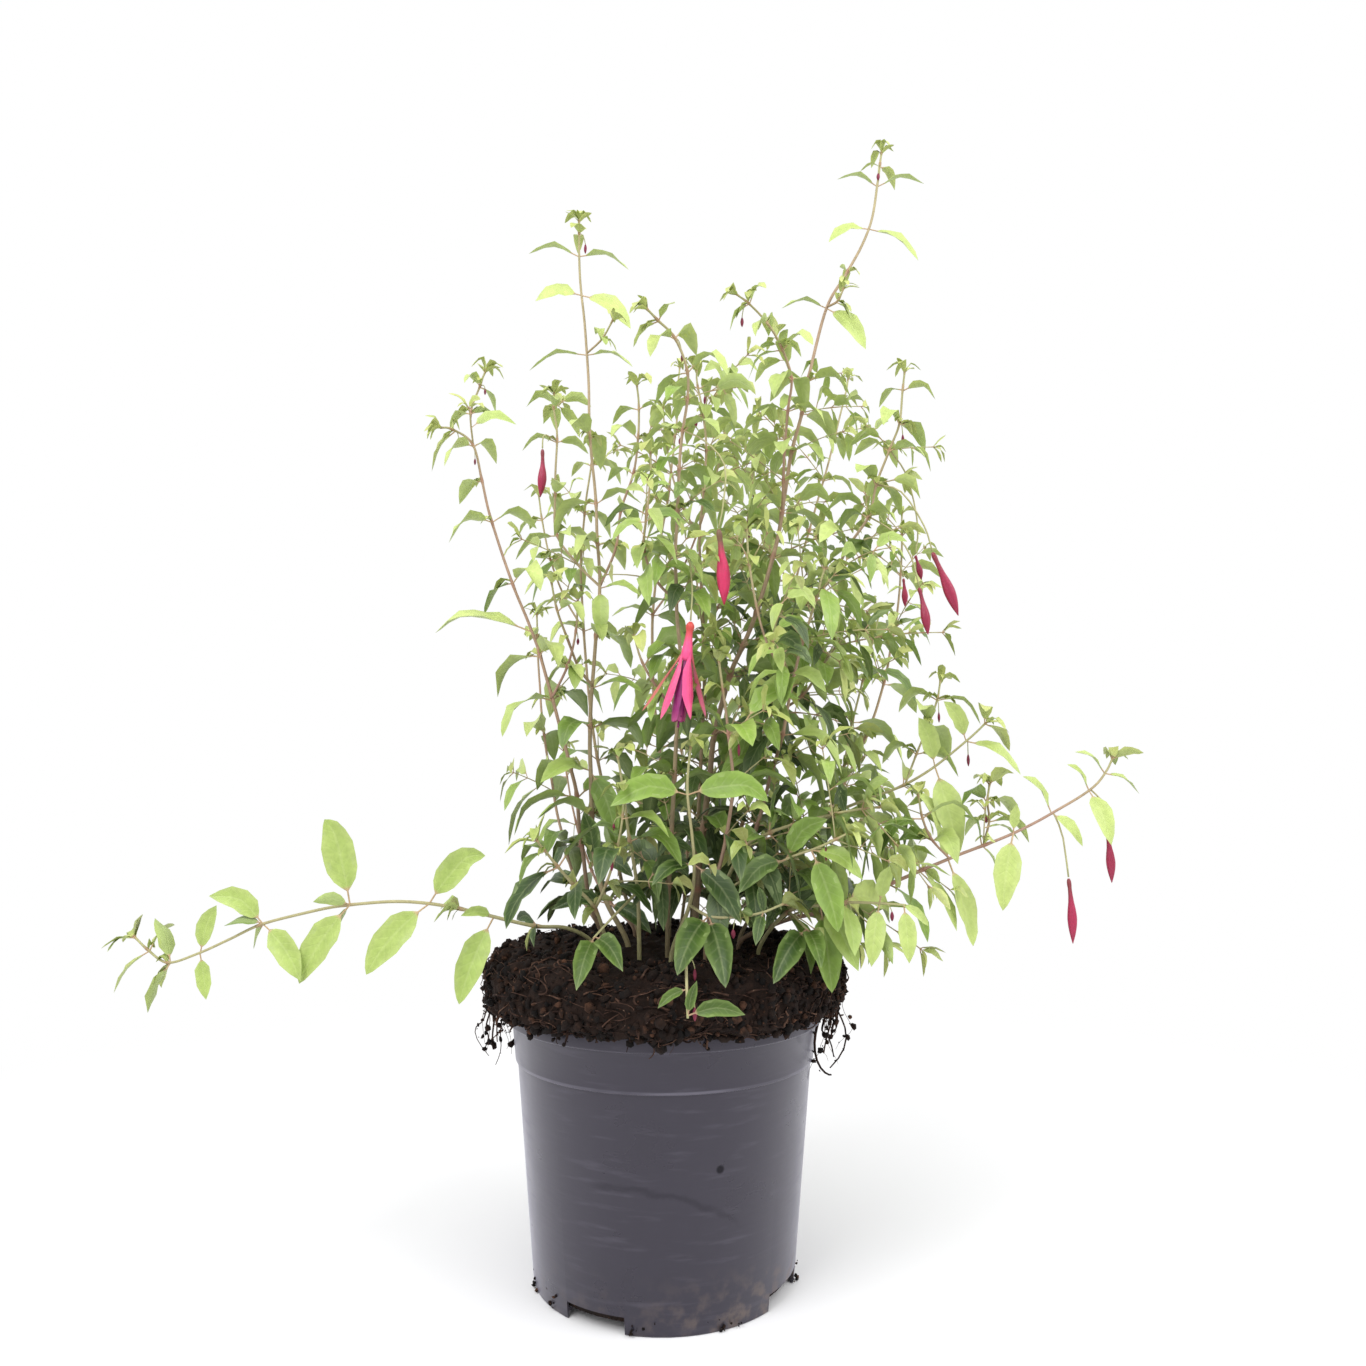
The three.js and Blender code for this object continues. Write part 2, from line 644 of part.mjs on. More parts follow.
/**
 * A closed skin over a row of rings with the same number of points. The first and the last ring
 * may be a single point. Quads are split the same way on both faces of a flat blade, because the
 * diagonals of neighbouring columns mirror each other.
 */
function loft(rings) {
  const corners = [];
  const starts = rings.map((ring) => {
    const start = corners.length / 3;
    ring.forEach((point) => corners.push(point.x, point.y, point.z));
    return start;
  });
  const triangles = [];
  for (let i = 0; i + 1 < rings.length; i += 1) {
    const count = Math.max(rings[i].length, rings[i + 1].length);
    for (let j = 0; j < count; j += 1) {
      const k = (j + 1) % count;
      const [a, b] = rings[i].length > 1 ? [starts[i] + j, starts[i] + k] : [starts[i], starts[i]];
      const [c, d] = rings[i + 1].length > 1
        ? [starts[i + 1] + j, starts[i + 1] + k] : [starts[i + 1], starts[i + 1]];
      if (a === b) triangles.push(a, d, c);
      else if (c === d) triangles.push(a, b, c);
      else if (j % 2 === 0) triangles.push(a, b, d, a, d, c);
      else triangles.push(a, b, c, b, d, c);
    }
  }
  const last = rings.length - 1;
  for (let j = 1; j + 1 < rings[0].length; j += 1) {
    triangles.push(starts[0], starts[0] + j + 1, starts[0] + j);
  }
  for (let j = 1; j + 1 < rings[last].length; j += 1) {
    triangles.push(starts[last], starts[last] + j, starts[last] + j + 1);
  }
  return solidFrom(corners, triangles);
}

/** The two directions across a line: one to the side and one away from the front. */
function across(direction) {
  const away = AWAY.clone().addScaledVector(direction, -AWAY.dot(direction)).normalize();
  return { away, side: new THREE.Vector3().crossVectors(away, direction) };
}

/** A ring of points round a centre, across a direction. */
function ring(centre, direction, radius, count, turn = 0) {
  const { side, away } = across(direction);
  return Array.from({ length: count }, (_, i) => {
    const angle = turn + (2 * Math.PI * i) / count;
    return centre.clone()
      .addScaledVector(side, radius * Math.cos(angle))
      .addScaledVector(away, radius * Math.sin(angle));
  });
}

// ---------------------------------------------------------------- pot
/** The pot: a tapered shell turned round its axis, with drain notches cut into its foot. */
function potSolid() {
  const { wall } = POT;
  const bodyTop = POT.collarRadius - POT.ledge;
  const outline = [
    [0, 0],
    [POT.centreFootRadius, 0],
    [POT.centreFootRadius + 2, POT.floorUnderside],
    [POT.footRadius - wall, POT.floorUnderside],
    [POT.footRadius - wall, 0],
    [POT.footRadius, 0],
    [bodyTop, POT.collarBottom - 0.6],
    [POT.collarRadius, POT.collarBottom],
    [POT.collarTopRadius, POT.lipBottom],
    [POT.rimRadius, POT.lipBottom],
    [POT.rimRadius, POT.height - 1],
    [POT.rimRadius - 1, POT.height],
    [POT.collarTopRadius - wall, POT.height],
    [POT.collarRadius - wall, POT.collarBottom + 2],
    [bodyTop - wall, POT.collarBottom - 2],
    [POT.footRadius - wall + 0.4, POT.floorTop],
    [0, POT.floorTop],
  ].map(([radius, height]) => new THREE.Vector2(radius, height));
  const shell = solidOf(new THREE.LatheGeometry(outline, POT.sides).rotateX(Math.PI / 2));
  const notch = new THREE.BoxGeometry(POT.notchWidth, POT.notchDepth, 2 * POT.notchHeight);
  const notches = POT.notchTurns.map((degrees) => solidOf(
    notch.clone().translate(0, -(POT.footRadius + 2), 0).rotateZ(radians(degrees)),
  ));
  return notches.reduce((pot, cut) => pot.subtract(cut), shell);
}

// ---------------------------------------------------------------- soil
/** Height of the peat's top, lumps included, at a distance from the pot's axis. */
function soilTop(radius) {
  const { crownHeight, shoulderRadius, shoulderDrop, bulgeRadius, roughness } = SOIL;
  if (radius > bulgeRadius + roughness) return 0;
  const spread = Math.max(0, radius - shoulderRadius) / (bulgeRadius - shoulderRadius);
  return crownHeight + roughness - shoulderDrop * spread * spread;
}

/** Lumps and hollows of the exposed peat, by its place round the axis and down the outline. */
function lump(turn, row) {
  return SOIL.roughness * (0.5 * Math.sin(5 * turn + 1.7 * row)
    + 0.3 * Math.sin(11 * turn - 2.3 * row) + 0.2 * Math.sin(17 * turn + row));
}

/** The root ball: it fills the pot to the floor and swells over the rim, with a hole per shoot. */
function soilSolid(shoots) {
  const inside = (height) => {
    const share = (height - POT.floorTop) / (POT.collarBottom - 2 - POT.floorTop);
    const foot = POT.footRadius - POT.wall + 0.4;
    return foot + share * (POT.collarRadius - POT.ledge - POT.wall - foot) - 2 * SEAT_GAP;
  };
  const neck = POT.collarRadius - POT.wall - 2 * SEAT_GAP;
  const widest = SOIL.crownHeight - SOIL.shoulderDrop;
  const bottom = POT.height + SEAT_GAP;
  const outline = [
    [0, POT.floorTop + SEAT_GAP, 0],
    [inside(POT.floorTop + SEAT_GAP), POT.floorTop + SEAT_GAP, 0],
    [inside(POT.collarBottom - 2), POT.collarBottom - 2, 0],
    [neck, POT.collarBottom + 4, 0],
    [neck, bottom, 0],
    [POT.rimRadius + 3, bottom, 0],
    [SOIL.bulgeRadius - 4, bottom + 3, 0.7],
    [SOIL.bulgeRadius, widest - 8, 1],
    [SOIL.bulgeRadius, widest + 2, 1],
    [SOIL.bulgeRadius - 3, SOIL.crownHeight - 5, 1],
    [SOIL.shoulderRadius - 6, SOIL.crownHeight - 0.5, 1],
    [SOIL.shoulderRadius * 0.6, SOIL.crownHeight - 1, 0.6],
    [SOIL.shoulderRadius * 0.3, SOIL.crownHeight, 0.3],
    [0, SOIL.crownHeight, 0],
  ];
  const profile = outline.map(([radius, height]) => new THREE.Vector2(radius, height));
  const geometry = new THREE.LatheGeometry(profile, SOIL.sides).rotateX(Math.PI / 2);
  const place = geometry.attributes.position;
  for (let i = 0; i < place.count; i += 1) {
    const row = i % outline.length;
    const turn = 2 * Math.PI * ((Math.floor(i / outline.length) % SOIL.sides) / SOIL.sides);
    const share = outline[row][2];
    const swell = share * lump(turn, row);
    const radius = Math.hypot(place.getX(i), place.getY(i));
    const out = radius > 1 ? (radius + swell * 0.8) / radius : 1;
    place.setXYZ(i, place.getX(i) * out, place.getY(i) * out, place.getZ(i) + 0.4 * swell);
  }
  const holes = shoots.map((shoot) => {
    const [x, y] = shoot.foot;
    const length = 2 * (SOIL.footDepth + SEAT_GAP);
    const radius = shoot.base * 1.1 + SEAT_GAP;
    const hole = new THREE.CylinderGeometry(radius, radius, length, 6).rotateX(Math.PI / 2);
    return solidOf(hole.translate(x, y, SOIL.crownHeight));
  });
  return holes.reduce((soil, hole) => soil.subtract(hole), solidOf(geometry));
}

// ---------------------------------------------------------------- stems
/** The lines of a shoot: its own course from the foot up, its branches, and its bare stalks. */
function linesOf(shoot) {
  const [x, y] = shoot.foot;
  const foot = [
    { place: new THREE.Vector3(x, y, SOIL.crownHeight - SOIL.footDepth), leaf: 0 },
    { place: new THREE.Vector3(x, y, SOIL.crownHeight + 4), leaf: 0 },
  ];
  const read = (course) => course.map(([right, up, depth, leaf = 0]) => (
    { place: seen(right, up, depth), leaf }));
  const { turn, twist, placed = [] } = shoot;
  const main = { points: foot.concat(read(shoot.course)), turn, twist, placed, skip: foot.length };
  main.rooted = true;
  const count = main.points.length;
  main.radii = main.points.map((_, i) => (
    shoot.base + (shoot.tip - shoot.base) * Math.pow(Math.max(0, i - 1) / (count - 2), 0.8)));
  const branches = shoot.branches.map((branch) => {
    const at = branch.from + foot.length;
    const points = [{ place: main.points[at].place, leaf: 0 }].concat(read(branch.course));
    const thick = Math.min(STEM.branchRadius, main.radii[at] * 0.8);
    const taper = (STEM.twigRadius - thick) / (points.length - 1);
    return {
      points,
      radii: points.map((_, i) => thick + taper * i),
      turn: branch.turn,
      twist: branch.twist,
      placed: branch.placed ?? [],
      skip: 1,
    };
  });
  const stalks = (shoot.stalks ?? []).map((stalk) => {
    const line = stalk.branch === undefined ? main : branches[stalk.branch];
    const start = { place: line.points[stalk.from + line.skip].place, leaf: 0 };
    const points = [start].concat(read(stalk.course));
    return { points, radii: points.map(() => STEM.twigRadius) };
  });
  return { leafy: [main, ...branches], stalks };
}

/** The direction of a line at one of its points. */
function directionAt(points, index) {
  const before = points[Math.max(0, index - 1)].place;
  const after = points[Math.min(points.length - 1, index + 1)].place;
  return after.clone().sub(before).normalize();
}

/** A tapered stem along a line. */
function stemSolid(line) {
  const rings = line.points.map(({ place }, i) => {
    const direction = i < 2 && line.rooted ? UP : directionAt(line.points, i);
    return ring(place, direction, line.radii[i], STEM.sides);
  });
  return loft(rings);
}

/** Points every few millimetres along a line, for keeping pieces apart. */
function stemSamples(line) {
  const samples = [];
  for (let i = 0; i + 1 < line.points.length; i += 1) {
    const [a, b] = [line.points[i].place, line.points[i + 1].place];
    const steps = Math.ceil(a.distanceTo(b) / 5);
    for (let k = 0; k < steps; k += 1) samples.push(a.clone().lerp(b, k / steps));
  }
  samples.push(line.points[line.points.length - 1].place.clone());
  return samples;
}

// ---------------------------------------------------------------- leaves
// Steps along a leaf: share of its length, half width as a share of the full half width, sag of
// the next stretch and lift of the edges over the midrib.
const LARGE_LEAF = [
  { reach: 0.17, half: 0.1, sag: 0.3, lift: 0 },
  { reach: 0.27, half: 1, sag: 0.55, lift: 0.26 },
  { reach: 0.3, half: 0.86, sag: 0.8, lift: 0.2 },
  { reach: 0.26, half: 0, sag: 0, lift: 0 },
];
const SMALL_LEAF = [
  { reach: 0.16, half: 0.1, sag: 0.35, lift: 0 },
  { reach: 0.38, half: 1, sag: 1.1, lift: 0.26 },
  { reach: 0.46, half: 0, sag: 0, lift: 0 },
];
const TINY_LEAF = [
  { reach: 0.45, half: 0.9, sag: 0.8, lift: 0.3 },
  { reach: 0.55, half: 0, sag: 0, lift: 0 },
];

/** The steps along a leaf of a given length. */
function leafSteps(length) {
  if (length < LEAF.tiny) return TINY_LEAF;
  return length < LEAF.large ? SMALL_LEAF : LARGE_LEAF;
}

/**
 * The course of a leaf: its stations from the root in the stem's middle, past the end of the leaf
 * stalk and over the blade to the tip, each with the directions across the blade and off its face.
 */
function leafCourse({ root, heading, face, length, width, droop, roll }) {
  const direction = heading.clone();
  const side = new THREE.Vector3().crossVectors(direction, face).normalize();
  const off = new THREE.Vector3().crossVectors(side, direction).normalize();
  side.multiplyScalar(Math.cos(roll)).addScaledVector(off, Math.sin(roll));
  const place = root.clone();
  const stations = [];
  for (const step of leafSteps(length)) {
    place.addScaledVector(direction, step.reach * length);
    const normal = new THREE.Vector3().crossVectors(side, direction).normalize();
    stations.push({
      place: place.clone(),
      side: side.clone(),
      normal,
      half: 0.5 * step.half * width,
      lift: 0.5 * step.lift * width * step.half,
    });
    direction.addScaledVector(UP, -step.sag * droop).normalize();
    side.addScaledVector(direction, -side.dot(direction)).normalize();
  }
  return stations;
}

/** A thin arched blade with raised edges, on its stalk. */
function leafSolid(leaf) {
  const stations = leafCourse(leaf);
  const rings = stations.map(({ place, side, normal, half, lift }, i) => {
    if (i === stations.length - 1) return [place];
    const isStalk = stations.length > 2 && i === 0;
    const thick = 0.5 * (isStalk ? LEAF.stalkThickness : LEAF.thickness);
    const reach = isStalk ? LEAF.stalkThickness / 2 : half;
    return [
      place.clone().addScaledVector(side, -reach).addScaledVector(normal, lift),
      place.clone().addScaledVector(normal, thick),
      place.clone().addScaledVector(side, reach).addScaledVector(normal, lift),
      place.clone().addScaledVector(normal, -thick),
    ];
  });
  return loft([[leaf.root], ...rings]);
}

/** Points spread over a leaf, for keeping pieces apart. */
function leafSamples(leaf) {
  const stations = leafCourse(leaf);
  const stalk = stations[0].place.clone().lerp(leaf.root, 0.3);
  const samples = [stalk];
  for (let i = 0; i + 1 < stations.length; i += 1) {
    for (const share of [0, 1 / 3, 2 / 3]) {
      const [from, to] = [stations[i], stations[i + 1]];
      const middle = from.place.clone().lerp(to.place, share);
      const half = from.half + (to.half - from.half) * share;
      for (const reach of [-1, -0.5, 0, 0.5, 1]) {
        samples.push(middle.clone().addScaledVector(from.side, reach * half));
      }
    }
  }
  samples.push(stations[stations.length - 1].place);
  return samples;
}

/** The points already taken, each with its owner's number and the room it needs. */
class Room {
  constructor() {
    this.taken = [];
  }

  /** Take points for an owner. */
  take(owner, points, room) {
    points.forEach((point) => this.taken.push({ owner, point, room }));
  }

  /** Whether points of an owner keep clear of every other owner, the peat and the ground. */
  isClear(owner, points) {
    const centre = points[Math.floor(points.length / 2)];
    const near = this.taken.filter((other) => (
      other.owner !== owner && other.point.distanceTo(centre) < ROOM_REACH));
    return points.every((point) => {
      const radius = Math.hypot(point.x, point.y);
      const isBeside = radius > SOIL.bulgeRadius + CLEARANCE || point.z > POT.height + SOIL.lipCover;
      const isOver = point.z > soilTop(radius) + CLEARANCE / 2 && point.z > CLEARANCE;
      return isBeside && isOver
        && near.every((other) => other.point.distanceTo(point) > other.room);
    });
  }
}

/** How much longer than in its course a leaf grows, by the height of its node. */
function growthAt(height) {
  const share = (LEAF.topHeight - height) / (LEAF.topHeight - LEAF.lowHeight);
  return 1 + LEAF.lowGrowth * THREE.MathUtils.clamp(share, 0, 1);
}

/**
 * A leaf that stands out, whose tip lies where it is seen. The blade sags, so its heading is
 * raised step by step until the tip gets there. Later tries bring the tip nearer to the front.
 */
function placedLeaf(line, [from, right, up, depth, facing = 60], trial) {
  const index = from + line.skip;
  const { place } = line.points[index];
  const root = place.clone().addScaledVector(directionAt(line.points, index), -LEAF.rootDepth);
  const tip = seen(right, up, depth - 3 * trial);
  const length = 1.04 * root.distanceTo(tip);
  const turned = radians(facing);
  const face = new THREE.Vector3(0, -Math.sin(turned), Math.cos(turned));
  const leaf = { root, face, length, width: length * LEAF.width, droop: LEAF.droop * 0.5, roll: 0 };
  const aim = tip.clone();
  for (let i = 0; i < 5; i += 1) {
    leaf.heading = aim.clone().sub(root).normalize();
    aim.add(tip).sub(leafCourse(leaf).at(-1).place);
  }
  return leaf;
}

/** One leaf of a pair, as one of the tries to find it a clear place. */
function leafTry(keys, line, index, sideways, trial) {
  const { place, leaf } = line.points[index];
  const stem = directionAt(line.points, index);
  const { side, away } = across(stem);
  const swing = (2 * draw(...keys, trial, 1) - 1) * (12 + 6 * trial);
  const turn = radians(line.turn + line.twist * index + 180 * sideways + swing);
  const rise = LEAF.rise * (0.7 + 0.6 * draw(...keys, trial, 2)) + (leaf < LEAF.tiny ? 0.5 : 0);
  const heading = side.multiplyScalar(Math.cos(turn)).addScaledVector(away, Math.sin(turn));
  heading.addScaledVector(stem, rise).normalize();
  const shrink = trial < LEAF.lateTry ? 1 : LEAF.lateShrink;
  const length = shrink * leaf * growthAt(place.z) * (0.9 + 0.2 * draw(...keys, trial, 3));
  return {
    root: place.clone().addScaledVector(stem, -LEAF.rootDepth),
    heading,
    face: stem.clone().addScaledVector(UP, LEAF.faceLean).normalize(),
    length,
    width: length * LEAF.width * (0.92 + 0.16 * draw(...keys, trial, 4)),
    droop: LEAF.droop * (0.6 + 0.8 * draw(...keys, trial, 5)) * (leaf < LEAF.tiny ? 0.5 : 1),
    roll: radians(50 * (draw(...keys, trial, 6) - 0.5)),
  };
}

/** Gives a plant the first clear leaf of its tries, if there is one, and takes its room. */
function growLeaf(plant, owner, room, leafOf) {
  for (let trial = 0; trial < LEAF.tries; trial += 1) {
    const leaf = leafOf(trial);
    const samples = leafSamples(leaf);
    if (room.isClear(owner, samples)) {
      plant.leaves.push(leaf);
      room.take(owner, samples, CLEARANCE);
      return;
    }
  }
}

/** The leaves of every shoot: first those that stand out, then the pairs of its lines. */
function growLeaves(plants, room) {
  plants.forEach((plant, owner) => {
    plant.lines.leafy.forEach((line) => line.placed.forEach((row) => {
      growLeaf(plant, owner, room, (trial) => placedLeaf(line, row, trial));
    }));
  });
  plants.forEach((plant, owner) => {
    plant.lines.leafy.forEach((line, row) => line.points.forEach((point, index) => {
      const isTip = row === 0 && index === line.points.length - 1;
      if (point.leaf === 0 || (point.leaf < LEAF.least && !isTip)) return;
      for (const sideways of [0, 1]) {
        const keys = [owner, row, index, sideways];
        growLeaf(plant, owner, room, (trial) => leafTry(keys, line, index, sideways, trial));
      }
    }));
  });
}

// ---------------------------------------------------------------- buds and flower
/** The place where what hangs from the numbered stalk of a shoot begins. */
function stalkEnd(plants, shootName, stalk) {
  const { points } = plants.find((plant) => plant.name === shootName).lines.stalks[stalk];
  return points[points.length - 1].place.clone().addScaledVector(UP, -SEAT_GAP - 0.5);
}

/** The axis of a bud: its top and its tip. */
function budAxis(plants, bud) {
  const top = stalkEnd(plants, bud.shoot, bud.stalk);
  const drop = Math.sqrt(bud.length ** 2 - bud.lean[0] ** 2 - bud.lean[1] ** 2);
  const tip = top.clone().add(new THREE.Vector3(bud.lean[0], bud.lean[1], -drop));
  return { top, tip };
}

// Outline of a closed bud: share of its length and share of its radius.
const BUD_OUTLINE = [[0, 0.26], [0.07, 0.42], [0.15, 0.3], [0.35, 0.4], [0.62, 1], [0.82, 0.7]];

/** A closed bud: ovary, tube and the folded sepals with their pointed tip. */
function budSolid(plants, bud) {
  const { top, tip } = budAxis(plants, bud);
  const direction = tip.clone().sub(top).normalize();
  const rings = BUD_OUTLINE.map(([share, radius]) => (
    ring(top.clone().lerp(tip, share), direction, radius * bud.radius, 6)));
  return loft([...rings, [tip]]);
}

// How the flower hangs: its direction, and the place that far down it.
const flowerDown = new THREE.Vector3(FLOWER.lean, 0, -1).normalize();
const flowerAt = (top, drop) => top.clone().addScaledVector(flowerDown, drop);
const flowerOut = (degrees) => (
  new THREE.Vector3(Math.cos(radians(degrees)), Math.sin(radians(degrees)), 0));

/** One sepal: it leaves the tube above its throat and hangs down and out. */
function sepalSolid(top, { turn, spread, droop, shrink }) {
  const out = flowerOut(turn);
  const length = FLOWER.sepalLength * shrink;
  return leafSolid({
    root: flowerAt(top, FLOWER.ovaryLength + FLOWER.tubeLength - 3)
      .addScaledVector(out, FLOWER.throatRadius * 0.55),
    heading: out.clone().multiplyScalar(spread).add(flowerDown).normalize(),
    face: out,
    length,
    width: length * FLOWER.sepalWidth,
    droop,
    roll: 0,
  });
}

/** The tube of the open flower with its four sepals. */
function flowerTubeSolid(top) {
  const { ovaryLength, tubeLength, tubeRadius, throatRadius } = FLOWER;
  const tube = loft([
    [0, 1.1],
    [ovaryLength * 0.5, 2.3],
    [ovaryLength, 1.5],
    [ovaryLength + tubeLength * 0.5, tubeRadius],
    [ovaryLength + tubeLength, throatRadius],
  ].map(([drop, radius]) => ring(flowerAt(top, drop), flowerDown, radius, 8)));
  return fuse([tube, ...FLOWER.sepals.map((sepal) => sepalSolid(top, sepal))]);
}

/** One petal: a curved blade that widens towards its end, in the inner or the outer layer. */
function petalSolid(at, number) {
  const turn = (360 / FLOWER.petals) * number;
  const out = flowerOut(turn);
  const side = flowerOut(turn + 90);
  const layer = number % 2 === 0 ? 0.85 : 1.15;
  const { corollaLength, corollaRadius, petalHalf } = FLOWER;
  const rings = [
    [1, 1.4, 1.2],
    [corollaLength / 3, petalHalf * 0.85, corollaRadius * 0.36],
    [corollaLength - 3, petalHalf, corollaRadius * 0.58],
  ].map(([drop, half, reach]) => {
    const middle = at(drop).addScaledVector(out, reach * layer);
    return [
      middle.clone().addScaledVector(side, -half).addScaledVector(out, -half * 0.3),
      middle.clone().addScaledVector(out, LEAF.thickness / 2),
      middle.clone().addScaledVector(side, half).addScaledVector(out, -half * 0.3),
      middle.clone().addScaledVector(out, -LEAF.thickness / 2),
    ];
  });
  return loft([...rings, [at(corollaLength).addScaledVector(out, corollaRadius * 0.55 * layer)]]);
}

/** The purple corolla: overlapping petals round a slim core, with the long style. */
function corollaSolid(top) {
  const { ovaryLength, tubeLength, corollaLength, styleLength } = FLOWER;
  const at = (drop) => flowerAt(top, ovaryLength + tubeLength + SEAT_GAP + drop);
  const turned = (rows, sides) => loft(rows.map(([drop, radius]) => (
    ring(at(drop), flowerDown, radius, sides))));
  const core = turned([[0, 2.2], [corollaLength / 3, 2.6], [corollaLength / 2, 1.2]], 8);
  const style = turned([[corollaLength / 3, STEM.twigRadius], [styleLength, STEM.twigRadius]], 4);
  const petals = Array.from({ length: FLOWER.petals }, (_, i) => petalSolid(at, i));
  return fuse([core, style, ...petals]);
}

// ---------------------------------------------------------------- the whole plant
/** Takes the room of the stems, the buds and the flower, which leaves keep clear of. */
function keepRoom(plants, flowerTop) {
  const room = new Room();
  plants.forEach((plant, owner) => {
    for (const line of [...plant.lines.leafy, ...plant.lines.stalks]) {
      room.take(owner, stemSamples(line), CLEARANCE);
    }
  });
  BUDS.forEach((bud, i) => {
    const { top, tip } = budAxis(plants, bud);
    const shares = [0, 0.15, 0.3, 0.45, 0.6, 0.75, 0.9, 1];
    const samples = shares.map((share) => top.clone().lerp(tip, share));
    room.take(plants.length + i, samples, BLOOM_CLEARANCE);
  });
  const { ovaryLength, tubeLength, styleLength, corollaRadius } = FLOWER;
  for (let drop = 0; drop < ovaryLength + tubeLength + styleLength; drop += 6) {
    const spread = drop < ovaryLength + tubeLength ? 0 : corollaRadius;
    const samples = [0, 90, 180, 270].map((degrees) => (
      flowerAt(flowerTop, drop).addScaledVector(flowerOut(degrees), spread)));
    room.take(plants.length + BUDS.length, samples, BLOOM_CLEARANCE);
  }
  return room;
}

const plants = SHOOTS.map((shoot) => ({ name: shoot.name, lines: linesOf(shoot), leaves: [] }));
const flowerTop = stalkEnd(plants, FLOWER.shoot, FLOWER.stalk);
growLeaves(plants, keepRoom(plants, flowerTop));

const fuchsia = new THREE.Group();
fuchsia.add(meshOf('pot', potSolid(), FINISH.pot));
fuchsia.add(meshOf('soil', soilSolid(SHOOTS), FINISH.soil));
for (const plant of plants) {
  const stems = plant.lines.leafy.map((line) => stemSolid(line));
  const stalks = plant.lines.stalks.map((line) => stemSolid(line));
  const leaves = plant.leaves.map(leafSolid);
  fuchsia.add(meshOf(plant.name, fuse([...stems, ...stalks, ...leaves]), FINISH.leaf));
}
for (const bud of BUDS) {
  fuchsia.add(meshOf(bud.name, budSolid(plants, bud), FINISH.bud));
}
fuchsia.add(meshOf('flower_tube_and_sepals', flowerTubeSolid(flowerTop), FINISH.sepal));
fuchsia.add(meshOf('flower_corolla', corollaSolid(flowerTop), FINISH.corolla));

export default fuchsia;
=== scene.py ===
"""A fuchsia in a plain nursery pot: the looks of every piece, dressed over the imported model.

The shoots, leaves, buds and the flower grow by the same rules as the solids they stand for, with
finer surfaces, and the small leaves, roots and crumbs of peat are added. Shapes are worked out in
millimetres, +Z up and -Y to the front, and turned into metres when a mesh is made.
"""

import functools
import itertools
import logging
import math
from collections.abc import Iterable, Sequence
from dataclasses import dataclass, replace
from enum import Enum

import bpy
import numpy as np
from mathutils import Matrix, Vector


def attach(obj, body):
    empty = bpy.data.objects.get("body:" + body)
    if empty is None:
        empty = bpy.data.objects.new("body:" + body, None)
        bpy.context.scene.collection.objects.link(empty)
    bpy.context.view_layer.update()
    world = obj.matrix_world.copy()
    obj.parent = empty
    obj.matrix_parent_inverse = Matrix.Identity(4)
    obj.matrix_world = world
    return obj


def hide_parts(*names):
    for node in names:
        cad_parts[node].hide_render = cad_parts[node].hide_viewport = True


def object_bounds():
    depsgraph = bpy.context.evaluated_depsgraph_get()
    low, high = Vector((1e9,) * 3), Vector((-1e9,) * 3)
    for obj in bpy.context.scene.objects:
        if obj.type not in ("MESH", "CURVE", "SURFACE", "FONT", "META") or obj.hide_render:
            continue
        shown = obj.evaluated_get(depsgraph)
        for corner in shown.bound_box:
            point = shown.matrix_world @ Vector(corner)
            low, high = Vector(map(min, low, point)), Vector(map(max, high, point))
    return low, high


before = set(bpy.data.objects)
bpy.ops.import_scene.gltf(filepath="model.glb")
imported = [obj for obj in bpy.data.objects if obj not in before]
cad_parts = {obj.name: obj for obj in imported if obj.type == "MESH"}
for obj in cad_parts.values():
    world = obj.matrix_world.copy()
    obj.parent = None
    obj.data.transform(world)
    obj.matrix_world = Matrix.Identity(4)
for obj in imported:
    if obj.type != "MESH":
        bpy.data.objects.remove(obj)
CAD_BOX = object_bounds()

log = logging.getLogger("fuchsia")

Array = np.ndarray
Colour = tuple[float, float, float, float]
Row = tuple[float, float, float, float]
Spot = tuple[float, float, float]

METRE = 0.001  # metres in a millimetre
BODY = "root"
UP = np.array([0.0, 0.0, 1.0])
AWAY = np.array([0.0, 1.0, 0.0])
ZERO = np.zeros(3)


# ---------------------------------------------------------------- the plant's measurements
@dataclass(frozen=True)
class Branch:
    """A side shoot that leaves its shoot at the course point numbered start."""

    start: int
    turn: float
    twist: float
    course: tuple[Row, ...]
    placed: tuple[tuple[float, ...], ...] = ()


@dataclass(frozen=True)
class Stalk:
    """A bare flower stalk, on the main line or on the numbered branch."""

    start: int
    course: tuple[Spot, ...]
    branch: int | None = None


@dataclass(frozen=True)
class Shoot:
    """One shoot from the peat up.

    A course lists points as (across, up, depth, leaf): across and up are read off in the upright
    plane through the pot's axis, depth carries the point along the line of sight, and leaf is the
    length of the pair of leaves there. turn is the direction of the first pair round the shoot, in
    degrees, and twist is the step to the next pair. Each placed leaf is (point, across, up, depth
    of its tip, angle that its face is raised to).
    """

    name: str
    foot: tuple[float, float]
    base: float
    tip: float
    turn: float
    twist: float
    course: tuple[Row, ...]
    placed: tuple[tuple[float, ...], ...] = ()
    branches: tuple[Branch, ...] = ()
    stalks: tuple[Stalk, ...] = ()


